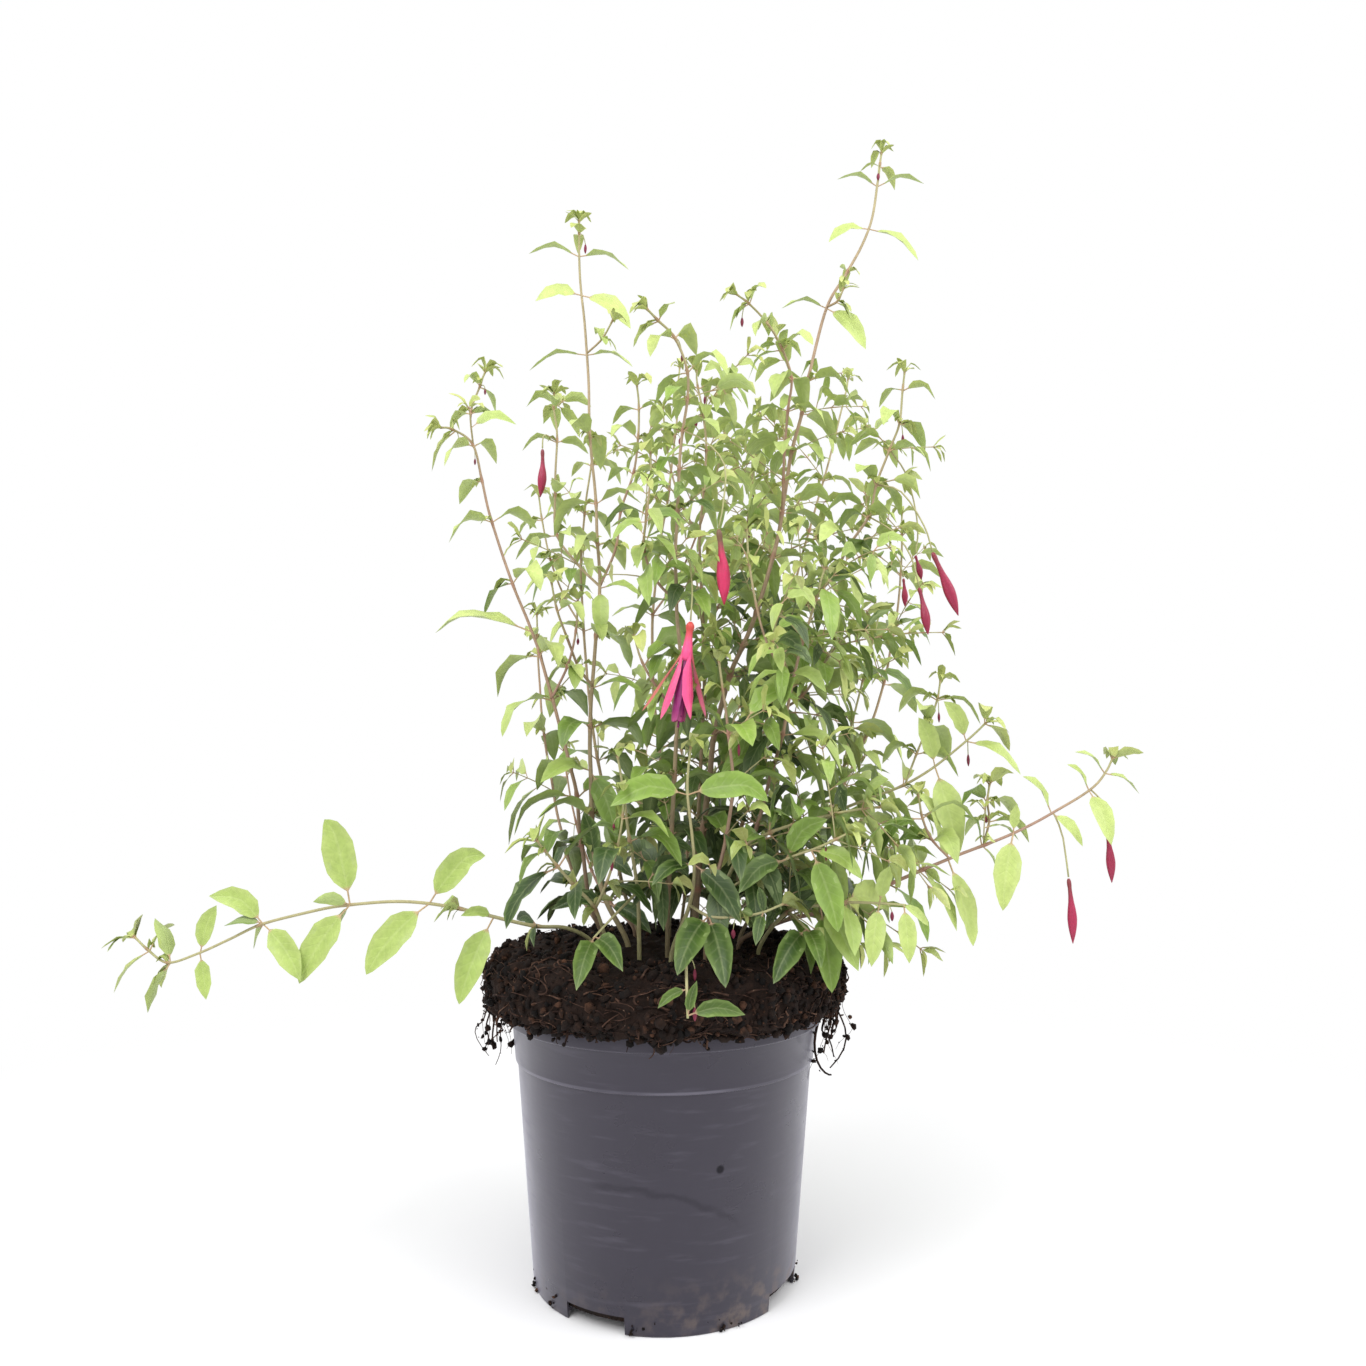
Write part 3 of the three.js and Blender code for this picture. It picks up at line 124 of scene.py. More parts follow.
SHOOTS: tuple[Shoot, ...] = (
    Shoot("shoot_tall_left", foot=(-22, -20), base=2, tip=0.8, turn=25, twist=94,
        course=((-36, 214, -18, 0), (-44, 240, -15, 0), (-46, 268, -13, 34), (-47, 296, -10, 0),
        (-47, 322, -7, 36), (-46, 348, -5, 0), (-44, 380, -2, 34), (-42, 412, 0, 0), (-44, 440, 3, 32),
        (-45, 467, 5, 34), (-49, 511, 10, 36), (-52, 567, 14, 0), (-56, 608, 15, 0), (-58, 635, 15, 0),
        (-58, 650, 14, 20), (-58, 659, 13, 12)),
        placed=((0, -70, 210, -26), (0, -9, 195, -34), (1, -50, 271, -22, 80), (1, -20, 231, -24),
        (3, -31, 257, -20, 80), (3, -78, 290, -16, 40), (5, -102, 311, -14, 30), (5, -14, 346, -14, 20),
        (7, -41, 382, -10, 80), (7, -16, 408, -8, 30), (11, -89, 558, 10, 20), (11, -22, 560, 8, 20),
        (12, -86, 605, 10, 70), (12, -24, 587, 8, 60), (13, -91, 638, 10, 15), (13, -25, 627, 8, 15)),
        branches=(Branch(7, 70, 88, ((-32, 437, -6, 26), (-29, 462, -10, 28), (-21, 487, -13, 26),
        (-18, 510, -15, 28), (-18, 530, -16, 24), (-19, 546, -18, 15))), Branch(5, 40, 92, ((-55, 360, -14, 26),
        (-62, 378, -22, 28), (-69, 397, -30, 24), (-73, 415, -34, 16))), Branch(7, 10, 90, ((-56, 426, 12, 0),
        (-70, 446, 20, 28), (-72, 472, 27, 28), (-71, 508, 32, 26), (-73, 530, 34, 22), (-73, 540, 34, 12))),
        Branch(11, 60, 90, ((-42, 577, 8, 22), (-35, 590, 4, 15)))),
        stalks=(Stalk(3, ((-79, 512, 24), (-80, 503, 21)), branch=2),)),
    Shoot("shoot_far_left", foot=(-38, -2), base=1.7, tip=0.75, turn=20, twist=93,
        course=((-47, 215, -6, 26), (-52, 248, -9, 30), (-55, 279, -10, 34), (-60, 299, -12, 30),
        (-72, 340, -15, 36), (-80, 368, -17, 34), (-86, 384, -18, 0), (-98, 415, -20, 32), (-112, 455, -21, 34),
        (-119, 482, -22, 26), (-125, 505, -22, 30), (-138, 515, -25, 26), (-147, 517, -28, 15)),
        placed=((6, -146, 386, -24, 20), (6, -50, 380, -28, 30)),
        branches=(Branch(10, 60, 90, ((-127, 527, -20, 20), (-121, 545, -17, 20), (-118, 555, -16, 12))),
        Branch(4, 80, 90, ((-62, 361, -20, 24), (-57, 383, -24, 26), (-56, 403, -26, 18))))),
    Shoot("shoot_tall_right", foot=(18, -6), base=2.6, tip=0.85, turn=30, twist=91,
        course=((20, 222, -2, 28), (24, 258, 3, 34), (28, 290, 7, 36), (31, 318, 10, 38), (41, 355, 14, 38),
        (49, 374, 15, 34), (58, 396, 17, 32), (69, 431, 20, 34), (75, 461, 22, 36), (82, 501, 25, 34),
        (89, 527, 27, 34), (93, 549, 28, 38), (106, 599, 32, 0), (120, 623, 35, 14), (135, 654, 38, 0),
        (141, 684, 40, 0), (143, 698, 40, 20), (144, 707, 40, 12)),
        placed=((12, 130, 573, 24, 70), (12, 76, 600, 24, 20), (14, 166, 634, 32, 40), (14, 108, 646, 30, 50),
        (15, 172, 687, 36, 20), (15, 114, 690, 34, 20)),
        branches=(Branch(8, 75, 88, ((76, 481, 14, 26), (77, 502, 8, 30), (80, 529, 0, 30), (82, 550, -5, 38),
        (76, 570, -10, 30), (66, 588, -14, 28), (54, 602, -18, 22), (46, 608, -20, 13))),
        Branch(5, 30, 92, ((68, 383, -2, 26), (89, 401, -14, 30), (106, 418, -19, 28), (118, 438, -22, 30),
        (130, 458, -25, 28), (136, 479, -25, 32), (145, 502, -25, 28), (152, 520, -25, 30), (155, 543, -25, 24),
        (156, 555, -25, 14))), Branch(3, 60, 90, ((52, 324, -4, 28), (70, 331, -14, 30), (87, 342, -24, 30),
        (99, 360, -31, 30), (109, 374, -36, 24), (118, 382, -40, 14))), Branch(12, 50, 90, ((113, 603, 24, 22),
        (117, 612, 20, 13)))),
        stalks=(Stalk(5, ((152, 474, -34), (166, 452, -40), (171, 435, -42)), branch=1),
        Stalk(4, ((146, 448, -36), (157, 432, -42), (162, 412, -44)), branch=1), Stalk(6, ((156, 484, -16),
        (162, 452, -10), (160, 433, -8)), branch=1), Stalk(3, ((134, 444, -12), (148, 432, -8), (152, 418, -6)),
        branch=1))),
    Shoot("shoot_middle", foot=(2, -30), base=1.8, tip=0.8, turn=50, twist=90,
        course=((2, 222, -34, 26), (4, 256, -37, 30), (6, 292, -40, 32), (8, 330, -42, 32), (9, 366, -44, 30),
        (7, 402, -45, 30), (6, 431, -47, 28), (8, 462, -49, 28), (9, 490, -50, 28), (11, 515, -50, 30),
        (14, 536, -50, 28), (14, 555, -50, 34), (5, 578, -53, 32), (-6, 590, -57, 20), (-13, 598, -60, 12)),
        branches=(Branch(5, 80, 90, ((-6, 416, -54, 24), (-14, 436, -60, 26), (-12, 460, -64, 24),
        (-10, 482, -66, 22), (-10, 500, -68, 14))), Branch(3, 20, 90, ((-4, 345, -54, 26), (-14, 362, -62, 26),
        (-20, 380, -68, 18)))),
        stalks=(Stalk(6, ((14, 432, -60), (17, 412, -68), (16, 390, -72))), Stalk(9, ((25, 508, -60),
        (38, 492, -66), (37, 466, -68), (34, 450, -68))))),
    Shoot("shoot_inner_right", foot=(16, 20), base=1.7, tip=0.75, turn=15, twist=90,
        course=((18, 225, 26, 28), (20, 262, 30, 32), (22, 300, 33, 32), (24, 340, 36, 32), (24, 378, 38, 30),
        (23, 412, 40, 30), (22, 445, 41, 28), (24, 475, 42, 28), (26, 502, 43, 30), (24, 526, 44, 32),
        (21, 544, 45, 26), (20, 556, 45, 14)),
        branches=(Branch(4, 50, 90, ((33, 398, 48, 26), (44, 422, 56, 28), (52, 452, 62, 28), (56, 480, 66, 24),
        (58, 500, 68, 14))), Branch(6, 30, 90, ((12, 462, 50, 24), (4, 486, 58, 26), (0, 512, 64, 22),
        (-2, 530, 67, 13))))),
    Shoot("shoot_front_small", foot=(5, -50), base=1.6, tip=0.75, turn=60, twist=90,
        course=((15, 212, -62, 0), (18, 238, -71, 0), (14, 281, -80, 0), (16, 310, -82, 14)),
        placed=((1, 46, 203, -86), (1, -8, 226, -84, 40), (2, -34, 276, -88, 65), (2, 64, 279, -90, 65)),
        branches=(Branch(0, 70, 80, ((28, 205, -78, 0), (46, 205, -84, 14), (62, 208, -88, 0),
        (74, 213, -90, 16)), placed=((0, 8, 170, -113, 60), (0, 37, 163, -113, 75), (2, 56, 188, -100, 60),
        (2, 58, 224, -94, 60))),)),
    Shoot("shoot_low_right", foot=(30, -32), base=1.4, tip=0.7, turn=35, twist=75,
        course=((36, 220, -46, 26), (50, 247, -60, 28), (66, 256, -66, 30), (81, 261, -70, 30),
        (105, 268, -73, 30), (124, 271, -75, 24), (134, 272, -76, 14)),
        branches=(Branch(0, 20, 80, ((54, 230, -62, 28), (76, 240, -74, 0), (92, 246, -82, 0),
        (106, 252, -88, 20), (114, 256, -91, 12)), placed=((1, 46, 222, -88, 60), (1, 101, 267, -84, 60),
        (2, 106, 198, -94, 70), (2, 122, 230, -94, 50))),)),
    Shoot("shoot_long_right", foot=(46, -12), base=1.6, tip=0.7, turn=12, twist=22,
        course=((72, 202, -20, 0), (95, 208, -25, 34), (112, 214, -28, 36), (140, 225, -32, 36),
        (159, 233, -34, 30), (177, 240, -35, 0), (198, 249, -35, 18), (218, 257, -35, 0), (242, 269, -33, 0),
        (266, 283, -30, 0), (276, 294, -28, 0), (281, 303, -26, 14)),
        placed=((5, 189, 189, -42, 10), (5, 170, 262, -40, 60), (7, 209, 212, -46, 60), (7, 219, 275, -38, 60),
        (8, 224, 293, -38, 20), (8, 259, 250, -40, 50), (9, 277, 252, -36, 70), (9, 252, 300, -34, 20),
        (10, 257, 308, -30, 15), (10, 296, 282, -28, 20)),
        branches=(Branch(5, 40, 70, ((166, 252, -40, 26), (160, 266, -44, 30), (158, 280, -46, 16))),
        Branch(6, 75, 70, ((202, 264, -28, 20), (201, 276, -24, 26), (203, 287, -22, 16)))),
        stalks=(Stalk(8, ((247, 256, -38), (249, 240, -41), (250, 229, -42))), Stalk(9, ((273, 275, -34),
        (275, 260, -36))))),
    Shoot("shoot_trailing_left", foot=(-42, -24), base=1.4, tip=0.7, turn=14, twist=14,
        course=((-60, 198, -32, 0), (-80, 199, -38, 20), (-107, 205, -46, 0), (-127, 210, -50, 16),
        (-147, 213, -52, 0), (-171, 214, -54, 0), (-196, 212, -55, 15), (-222, 207, -55, 0),
        (-249, 200, -55, 16), (-268, 191, -54, 0), (-287, 182, -53, 0), (-305, 177, -51, 22),
        (-318, 185, -49, 20), (-327, 193, -48, 14)),
        placed=((2, -125, 154, -60, 80), (2, -126, 206, -54, 60), (4, -112, 245, -58, 75),
        (4, -182, 171, -60, 80), (6, -211, 267, -58, 80), (6, -223, 166, -60, 75), (8, -282, 220, -58, 60),
        (8, -224, 167, -64, 75), (10, -278, 213, -56, 70), (10, -281, 156, -56, 70))),
    Shoot("shoot_mid_right", foot=(36, 14), base=1.6, tip=0.7, turn=40, twist=90,
        course=((48, 220, 12, 28), (66, 238, 8, 32), (88, 256, 2, 34), (106, 269, -4, 32), (128, 278, -8, 34),
        (150, 286, -12, 30), (170, 298, -15, 0), (190, 314, -17, 0), (202, 325, -18, 20)),
        placed=((6, 181, 247, -26, 75), (6, 160, 330, -24, 75), (7, 222, 295, -26, 30), (7, 176, 340, -22, 60)),
        branches=(Branch(3, 20, 90, ((112, 298, 10, 30), (118, 326, 18, 32), (125, 352, 24, 30),
        (132, 378, 28, 28), (136, 394, 30, 14))), Branch(5, 60, 90, ((158, 306, -6, 24), (166, 324, -2, 28),
        (172, 340, 0, 26), (174, 352, 2, 14))))),
    Shoot("shoot_low_left", foot=(-32, -44), base=1.4, tip=0.7, turn=30, twist=85,
        course=((-43, 210, -56, 26), (-56, 224, -64, 30), (-67, 236, -70, 32), (-75, 246, -74, 24),
        (-80, 252, -76, 14)),
        branches=(Branch(0, 60, 90, ((-36, 226, -66, 28), (-30, 246, -73, 30), (-27, 266, -77, 26),
        (-26, 280, -79, 14))),)),
    Shoot("shoot_low_far_right", foot=(56, -32), base=1.4, tip=0.7, turn=10, twist=60,
        course=((76, 208, -50, 34), (97, 212, -62, 0), (112, 214, -70, 38), (134, 213, -75, 0),
        (149, 212, -78, 0)),
        placed=((1, 102, 161, -80, 75), (1, 118, 173, -84, 75), (3, 127, 176, -86, 75), (3, 140, 238, -80, 60),
        (4, 162, 200, -82, 60), (4, 150, 178, -86, 70)),
        branches=(Branch(0, 30, 90, ((88, 197, -74, 0),), placed=((0, 67, 165, -104, 75),
        (0, 96, 174, -104, 60))),)),
    Shoot("shoot_fill_right", foot=(34, -10), base=1.7, tip=0.75, turn=70, twist=90,
        course=((44, 224, -14, 28), (58, 262, -20, 32), (68, 298, -24, 34), (74, 318, -48, 32),
        (80, 348, -56, 32), (88, 378, -60, 30), (96, 404, -62, 28), (102, 424, -63, 16)),
        branches=(Branch(4, 30, 90, ((66, 372, -66, 28), (58, 398, -72, 28), (54, 426, -76, 26),
        (52, 450, -78, 15))),)),
    Shoot("shoot_front_mid", foot=(24, -46), base=1.6, tip=0.75, turn=20, twist=90,
        course=((30, 220, -54, 26), (38, 254, -62, 30), (42, 286, -68, 32), (40, 318, -73, 30),
        (36, 346, -77, 26), (34, 364, -79, 14))),
    Shoot("shoot_front_left", foot=(-14, -42), base=1.6, tip=0.75, turn=50, twist=90,
        course=((-17, 220, -50, 26), (-22, 252, -58, 30), (-26, 284, -64, 28), (-30, 304, -67, 14)),
        branches=(Branch(0, 30, 90, ((-30, 207, -66, 0), (-44, 192, -84, 0)), placed=((1, -54, 161, -113, 75),
        (1, -26, 172, -112, 60))),)),
    Shoot("shoot_back_left", foot=(-18, 30), base=1.7, tip=0.75, turn=35, twist=92,
        course=((-26, 222, 42, 28), (-34, 262, 55, 0), (-42, 302, 66, 32), (-48, 342, 76, 0),
        (-52, 384, 86, 32), (-54, 424, 94, 0), (-52, 460, 100, 28), (-48, 492, 104, 24), (-46, 508, 106, 14)),
        branches=(Branch(4, 70, 90, ((-64, 404, 92, 26), (-74, 430, 97, 26), (-80, 456, 101, 24),
        (-82, 472, 103, 14))),)),
    Shoot("shoot_back_middle", foot=(2, 36), base=1.8, tip=0.8, turn=10, twist=92,
        course=((2, 226, 52, 28), (0, 268, 68, 32), (-4, 310, 82, 34), (-8, 352, 95, 34), (-8, 394, 106, 32),
        (-4, 436, 115, 30), (2, 476, 122, 30), (6, 512, 127, 28), (8, 544, 130, 22), (9, 558, 131, 13)),
        branches=(Branch(4, 50, 90, ((8, 418, 118, 26), (20, 446, 126, 28), (30, 476, 132, 26),
        (36, 500, 136, 22), (38, 514, 138, 13))),)),
    Shoot("shoot_back_right", foot=(26, 36), base=1.7, tip=0.75, turn=60, twist=90,
        course=((36, 224, 52, 28), (48, 262, 66, 32), (58, 300, 78, 34), (66, 338, 88, 34), (74, 376, 96, 32),
        (82, 412, 103, 32), (92, 448, 109, 30), (102, 482, 114, 30), (110, 512, 118, 26), (116, 536, 121, 20),
        (119, 550, 122, 13)),
        branches=(Branch(5, 20, 90, ((68, 432, 112, 26), (60, 458, 120, 28), (56, 486, 126, 26),
        (58, 510, 130, 22), (60, 522, 131, 13))),)),
    Shoot("shoot_back_far_left", foot=(-40, 18), base=1.5, tip=0.75, turn=0, twist=90,
        course=((-52, 218, 36, 26), (-62, 248, 56, 30), (-70, 282, 74, 0), (-76, 318, 88, 32),
        (-80, 352, 98, 0), (-82, 380, 104, 22), (-82, 394, 106, 13))),
    Shoot("shoot_back_far_right", foot=(48, 18), base=1.6, tip=0.75, turn=25, twist=90,
        course=((68, 226, 36, 28), (90, 254, 56, 32), (110, 284, 72, 32), (126, 316, 84, 32),
        (138, 350, 92, 32), (146, 386, 98, 30), (150, 420, 102, 26), (152, 446, 104, 20), (152, 460, 105, 13))),
    Shoot("shoot_back_low", foot=(10, 52), base=1.5, tip=0.7, turn=45, twist=90,
        course=((12, 218, 80, 28), (14, 244, 106, 32), (14, 274, 128, 32), (10, 308, 144, 30),
        (4, 340, 154, 26), (2, 358, 158, 13))),
    Shoot("shoot_back_low_left", foot=(-22, 48), base=1.4, tip=0.7, turn=30, twist=90,
        course=((-34, 214, 74, 28), (-46, 234, 100, 30), (-56, 262, 122, 30), (-62, 292, 136, 26),
        (-64, 308, 141, 14))),
    Shoot("shoot_back_low_right", foot=(36, 50), base=1.4, tip=0.7, turn=65, twist=90,
        course=((54, 216, 76, 28), (78, 236, 102, 30), (98, 262, 122, 30), (112, 292, 136, 26),
        (118, 308, 141, 14))),
    Shoot("shoot_rim_sprout", foot=(12, -88), base=1.2, tip=0.7, turn=200, twist=90,
        course=((13, 180, -103, 0), (14, 160, -117, 0), (14, 144, -121, 0)),
        placed=((2, 19, 166, -124, 85), (2, 49, 146, -122, 75), (1, -4, 150, -122, 60))),
)


@dataclass(frozen=True)
class Bloom:
    """A closed bud on the numbered stalk of its shoot, from the top of its ovary to its tip."""

    name: str
    shoot: str
    stalk: int
    length: float
    radius: float
    lean: tuple[float, float]
    ripeness: float  # 0 dark crimson, 1 bright pink


BUDS: tuple[Bloom, ...] = (
    Bloom("bud_left", "shoot_tall_left", 0, 33, 3.1, (-1, 0), 0.25),
    Bloom("bud_right_large", "shoot_tall_right", 0, 41, 3.7, (15, 2), 0.2),
    Bloom("bud_right_low", "shoot_tall_right", 1, 29, 3, (4, -2), 0.1),
    Bloom("bud_right_high", "shoot_tall_right", 2, 16, 2.2, (4, 2), 0.0),
    Bloom("bud_right_small", "shoot_tall_right", 3, 18, 2.2, (1, 2), 0.15),
    Bloom("bud_pink", "shoot_middle", 1, 44, 4.2, (3, 0), 1.0),
    Bloom("bud_far_right_low", "shoot_long_right", 0, 37, 3, (1, 0), 0.3),
    Bloom("bud_far_right_high", "shoot_long_right", 1, 32, 2.9, (2, 1), 0.15),
)
FLOWER_PLACE = ("shoot_middle", 0)  # shoot and stalk that the open flower hangs from


# ---------------------------------------------------------------- small mathematics
def draw(*keys: int) -> float:
    """A repeatable number from 0 to 1 that depends only on the whole numbers given.

    Each key is mixed into a 32-bit state by an exclusive or, two multiplications and two shifts.
    """
    mask, state = 0xFFFFFFFF, 2166136261
    for key in keys:
        state = ((state ^ key) * 16777619) & mask
        state = ((state ^ (state >> 15)) * 2246822519) & mask
        state ^= state >> 13
    return state / 4294967296


def unit(vectors: Array) -> Array:
    """Vectors divided by their own lengths."""
    return vectors / np.linalg.norm(vectors, axis=-1, keepdims=True)


def dots(first: Array, second: Array) -> Array:
    """Dot products of matching vectors, kept as a last column."""
    return np.sum(first * second, axis=-1, keepdims=True)


def smooth_step(low: float, high: float, values: Array | float) -> Array:
    """3t² - 2t³, where t runs from 0 at low to 1 at high and stays there."""
    share = np.clip((np.asarray(values) - low) / (high - low), 0, 1)
    return share * share * (3 - 2 * share)


def circle(count: int) -> Array:
    """The angles of equal steps round a circle."""
    return 2 * np.pi * np.arange(count) / count


def level(turn: Array | float) -> Array:
    """The level directions (cos, sin, 0) at angles, as a last dimension of three."""
    return np.stack([np.cos(turn), np.sin(turn), np.zeros_like(turn)], axis=-1)


def lattice_noise(points: Array, size: float, seed: int) -> Array:
    """Soft noise: random heights on a lattice, blended by 3t² - 2t³ along each axis.

    Args:
        points: Places, with a last dimension of three.
        size: Width of a lattice cell.
        seed: Picks the set of random heights.

    Returns:
        A value from -1 to 1 for each place.
    """
    scaled = points / size
    cell = np.floor(scaled).astype(np.int64)
    blend = smooth_step(0, 1, scaled - cell)
    total = np.zeros(points.shape[:-1])
    for corner in itertools.product((0, 1), repeat=3):
        key = (cell + np.array(corner)) * np.array([73856093, 19349663, 83492791])
        state = (key[..., 0] ^ key[..., 1] ^ key[..., 2] ^ (seed * 668265263)) & 0x7FFFFFFF
        state = ((state ^ (state >> 13)) * 1274126177) & 0x7FFFFFFF
        height = ((state ^ (state >> 16)) & 0xFFFF) / 32767.5 - 1
        total += np.prod(np.where(np.array(corner) == 1, blend, 1 - blend), axis=-1) * height
    return total


def smooth_path(points: Array, at: Array) -> Array:
    """A smooth curve through points.

    Between two points the curve is the cubic through both whose slope at each is half the step
    between that point's neighbours. The ends are carried on by mirroring.

    Args:
        points: Points along the paths, shape (..., points, 3).
        at: Places along the path, counted in points, the same for every path.

    Returns:
        The curve's points, shape (..., places, 3).
    """
    before = 2 * points[..., :1, :] - points[..., 1:2, :]
    after = 2 * points[..., -1:, :] - points[..., -2:-1, :]
    padded = np.concatenate([before, points, after], axis=-2)
    index = np.clip(np.floor(at).astype(int), 0, points.shape[-2] - 2)
    t = (at - index)[:, None]
    a, b, c, d = (padded[..., index + k, :] for k in range(4))
    return 0.5 * (2 * b + (c - a) * t + (2 * a - 5 * b + 4 * c - d) * t**2 + (3 * b - a - 3 * c + d) * t**3)


def across(direction: Array) -> tuple[Array, Array]:
    """The two directions across a line: one away from the front and one to the side."""
    away = unit(AWAY - direction * direction[1])
    return away, np.cross(away, direction)


# ---------------------------------------------------------------- meshes
def ring_faces(rings: int, around: int) -> tuple[Array, Array]:
    """Faces of a closed skin over rings of points, with a pole at each end.

    The points are numbered ring by ring, then the first pole and the last pole. Faces point out
    where each ring runs anticlockwise as seen from the far end.

    Args:
        rings: How many rings.
        around: Points in a ring.

    Returns:
        The quads between rings and the triangles that fan out from the poles.
    """
    ring, step = np.meshgrid(np.arange(rings - 1), np.arange(around), indexing="ij")
    here, after = ring * around + step, ring * around + (step + 1) % around
    quads = np.stack([here, after, after + around, here + around], axis=-1).reshape(-1, 4)
    first, last = np.full(around, rings * around), (rings - 1) * around
    step, after = step[0], after[0]
    return quads, np.concatenate([np.stack([first, after, step], axis=-1),
                                  np.stack([first + 1, last + step, last + after], axis=-1)])


def with_poles(grid: Array, first: Array | None = None, last: Array | None = None) -> Array:
    """Values at ring points, shape (copies, rings, around, 3), flattened, with those at the poles.

    Args:
        grid: The ring points' values.
        first: Value at the first pole of each copy, or None for the middle of the first ring.
        last: Value at the last pole of each copy, or None for the middle of the last ring.

    Returns:
        Values in the numbering of ring_faces, shape (copies, points, 3).
    """
    start = grid[:, 0].mean(axis=1) if first is None else first
    end = grid[:, -1].mean(axis=1) if last is None else last
    return np.concatenate([grid.reshape(len(grid), -1, 3), start[:, None], end[:, None]], axis=1)


def tube_rings(paths: Array, radii: Array, sides: int) -> Array:
    """Rings of points round paths.

    A point is its path's point plus radius · (side · cos angle + up · sin angle). The side
    direction is carried along the path and only turned as far as the path bends.

    Args:
        paths: Points along each path, shape (copies, rings, 3).
        radii: Radius at each of them, shape (copies, rings).
        sides: Points in a ring.

    Returns:
        Ring points, shape (copies, rings, sides, 3).
    """
    along = unit(np.gradient(paths, axis=1))
    side = np.empty_like(paths)
    side[:, 0] = unit(np.cross(along[:, 0], [0.31, 0.87, 0.38]))
    for ring in range(1, paths.shape[1]):
        carried = side[:, ring - 1]
        side[:, ring] = unit(carried - dots(carried, along[:, ring]) * along[:, ring])
    up = np.cross(along, side)
    angle = circle(sides)[:, None]
    spoke = side[:, :, None] * np.cos(angle) + up[:, :, None] * np.sin(angle)
    return paths[:, :, None] + radii[:, :, None, None] * spoke


class Skin:
    """Surfaces gathered into one mesh, with the values over them that its material reads.

    Each point carries two triples: "blade", which says where on its petal, leaf or stem it lies,
    and "cast", which says how that one differs from the others.
    """

    def __init__(self, name: str) -> None:
        """An empty skin.

        Args:
            name: Name of the piece that it becomes.
        """
        self.name, self.count = name, 0
        self.rows: dict[str, list[Array]] = {"place": [], "blade": [], "cast": []}
        self.corners: list[Array] = []
        self.sizes: list[Array] = []

    def add(self, points: Array, faces: Sequence[Array], cast: Array = ZERO, blade: Array = ZERO) -> None:
        """Adds copies of one shape.

        Args:
            points: Points in millimetres, shape (copies, points, 3).
            faces: Arrays of faces with the same number of corners, numbered in one copy.
            cast: Values that broadcast to the points' shape.
            blade: Values that broadcast to the points' shape.
        """
        copies, each, _ = points.shape
        shift = self.count + each * np.arange(copies)
        for kind in faces:
            self.corners.append((kind[None] + shift[:, None, None]).reshape(-1))
            self.sizes.append(np.full(copies * len(kind), kind.shape[1]))
        for label, values in (("place", points), ("blade", blade), ("cast", cast)):
            self.rows[label].append(np.broadcast_to(values, points.shape).reshape(-1, 3))
        self.count += copies * each

    def add_rings(self, grid: Array, cast: Array = ZERO, blade: Array = ZERO,
                  first: Array | None = None, last: Array | None = None) -> None:
        """Adds closed skins over rings.

        Args:
            grid: Ring points in millimetres, shape (copies, rings, around, 3).
            cast: Values that broadcast to the grid's shape.
            blade: Values that broadcast to the grid's shape.
            first: First pole of each copy, or None for the middle of its ring.
            last: Last pole of each copy, or None for the middle of its ring.
        """
        cast, blade = (with_poles(np.broadcast_to(values, grid.shape)) for values in (cast, blade))
        self.add(with_poles(grid, first, last), ring_faces(*grid.shape[1:3]), cast, blade)

    def add_tubes(self, paths: Array, radii: Array, sides: int, cast: Array = ZERO,
                  blade: Array = ZERO) -> None:
        """Adds closed tubes round paths, with the shapes that tube_rings and add_rings take."""
        self.add_rings(tube_rings(paths, radii, sides), cast, blade)

    def build(self, material: bpy.types.Material, crease: float | None = None) -> bpy.types.Object:
        """Makes the mesh and its object.

        Args:
            material: The finish of the whole piece.
            crease: Angle in degrees from which an edge is shaded sharp, or None for none.

        Returns:
            The new object, at the origin, with its place in its mesh.
        """
        mesh = bpy.data.meshes.new(self.name)
        corners, sizes = np.concatenate(self.corners), np.concatenate(self.sizes)
        points = np.concatenate(self.rows["place"]) * METRE
        mesh.vertices.add(self.count)
        mesh.vertices.foreach_set("co", points.astype(np.float32).ravel())
        mesh.loops.add(len(corners))
        mesh.loops.foreach_set("vertex_index", corners.astype(np.int32))
        mesh.polygons.add(len(sizes))
        starts = np.concatenate([[0], np.cumsum(sizes)[:-1]])
        mesh.polygons.foreach_set("loop_start", starts.astype(np.int32))
        mesh.update(calc_edges=True)
        for label in ("blade", "cast"):
            layer = mesh.attributes.new(label, "FLOAT_VECTOR", "POINT")
            layer.data.foreach_set("vector", np.concatenate(self.rows[label]).astype(np.float32).ravel())
        mesh.polygons.foreach_set("use_smooth", np.ones(len(sizes), bool))
        if crease is not None:
            mesh.set_sharp_from_angle(angle=math.radians(crease))
        mesh.materials.append(material)
        mesh.validate()
        piece = bpy.data.objects.new(self.name, mesh)
        bpy.context.scene.collection.objects.link(piece)
        return piece


def settle(piece: bpy.types.Object, node: str) -> None:
    """Fixes a piece to the plant, in place of a node, which it hides.

    Args:
        piece: The piece.
        node: Name of the node.
    """
    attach(piece, BODY)
    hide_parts(node)
    log.info("%s stands for %s: %d faces", piece.name, node, len(piece.data.polygons))


# ---------------------------------------------------------------- shader nodes
def colour(code: str) -> Colour:
    """A display colour such as #6b9a3c as the linear colour that a shader socket holds.

    Args:
        code: The display colour.

    Returns:
        Its red, green and blue from 0 to 1, and 1.
    """
    shares = [int(code[i:i + 2], 16) / 255 for i in (1, 3, 5)]
    linear = [s / 12.92 if s <= 0.04045 else ((s + 0.055) / 1.055) ** 2.4 for s in shares]
    return (linear[0], linear[1], linear[2], 1.0)


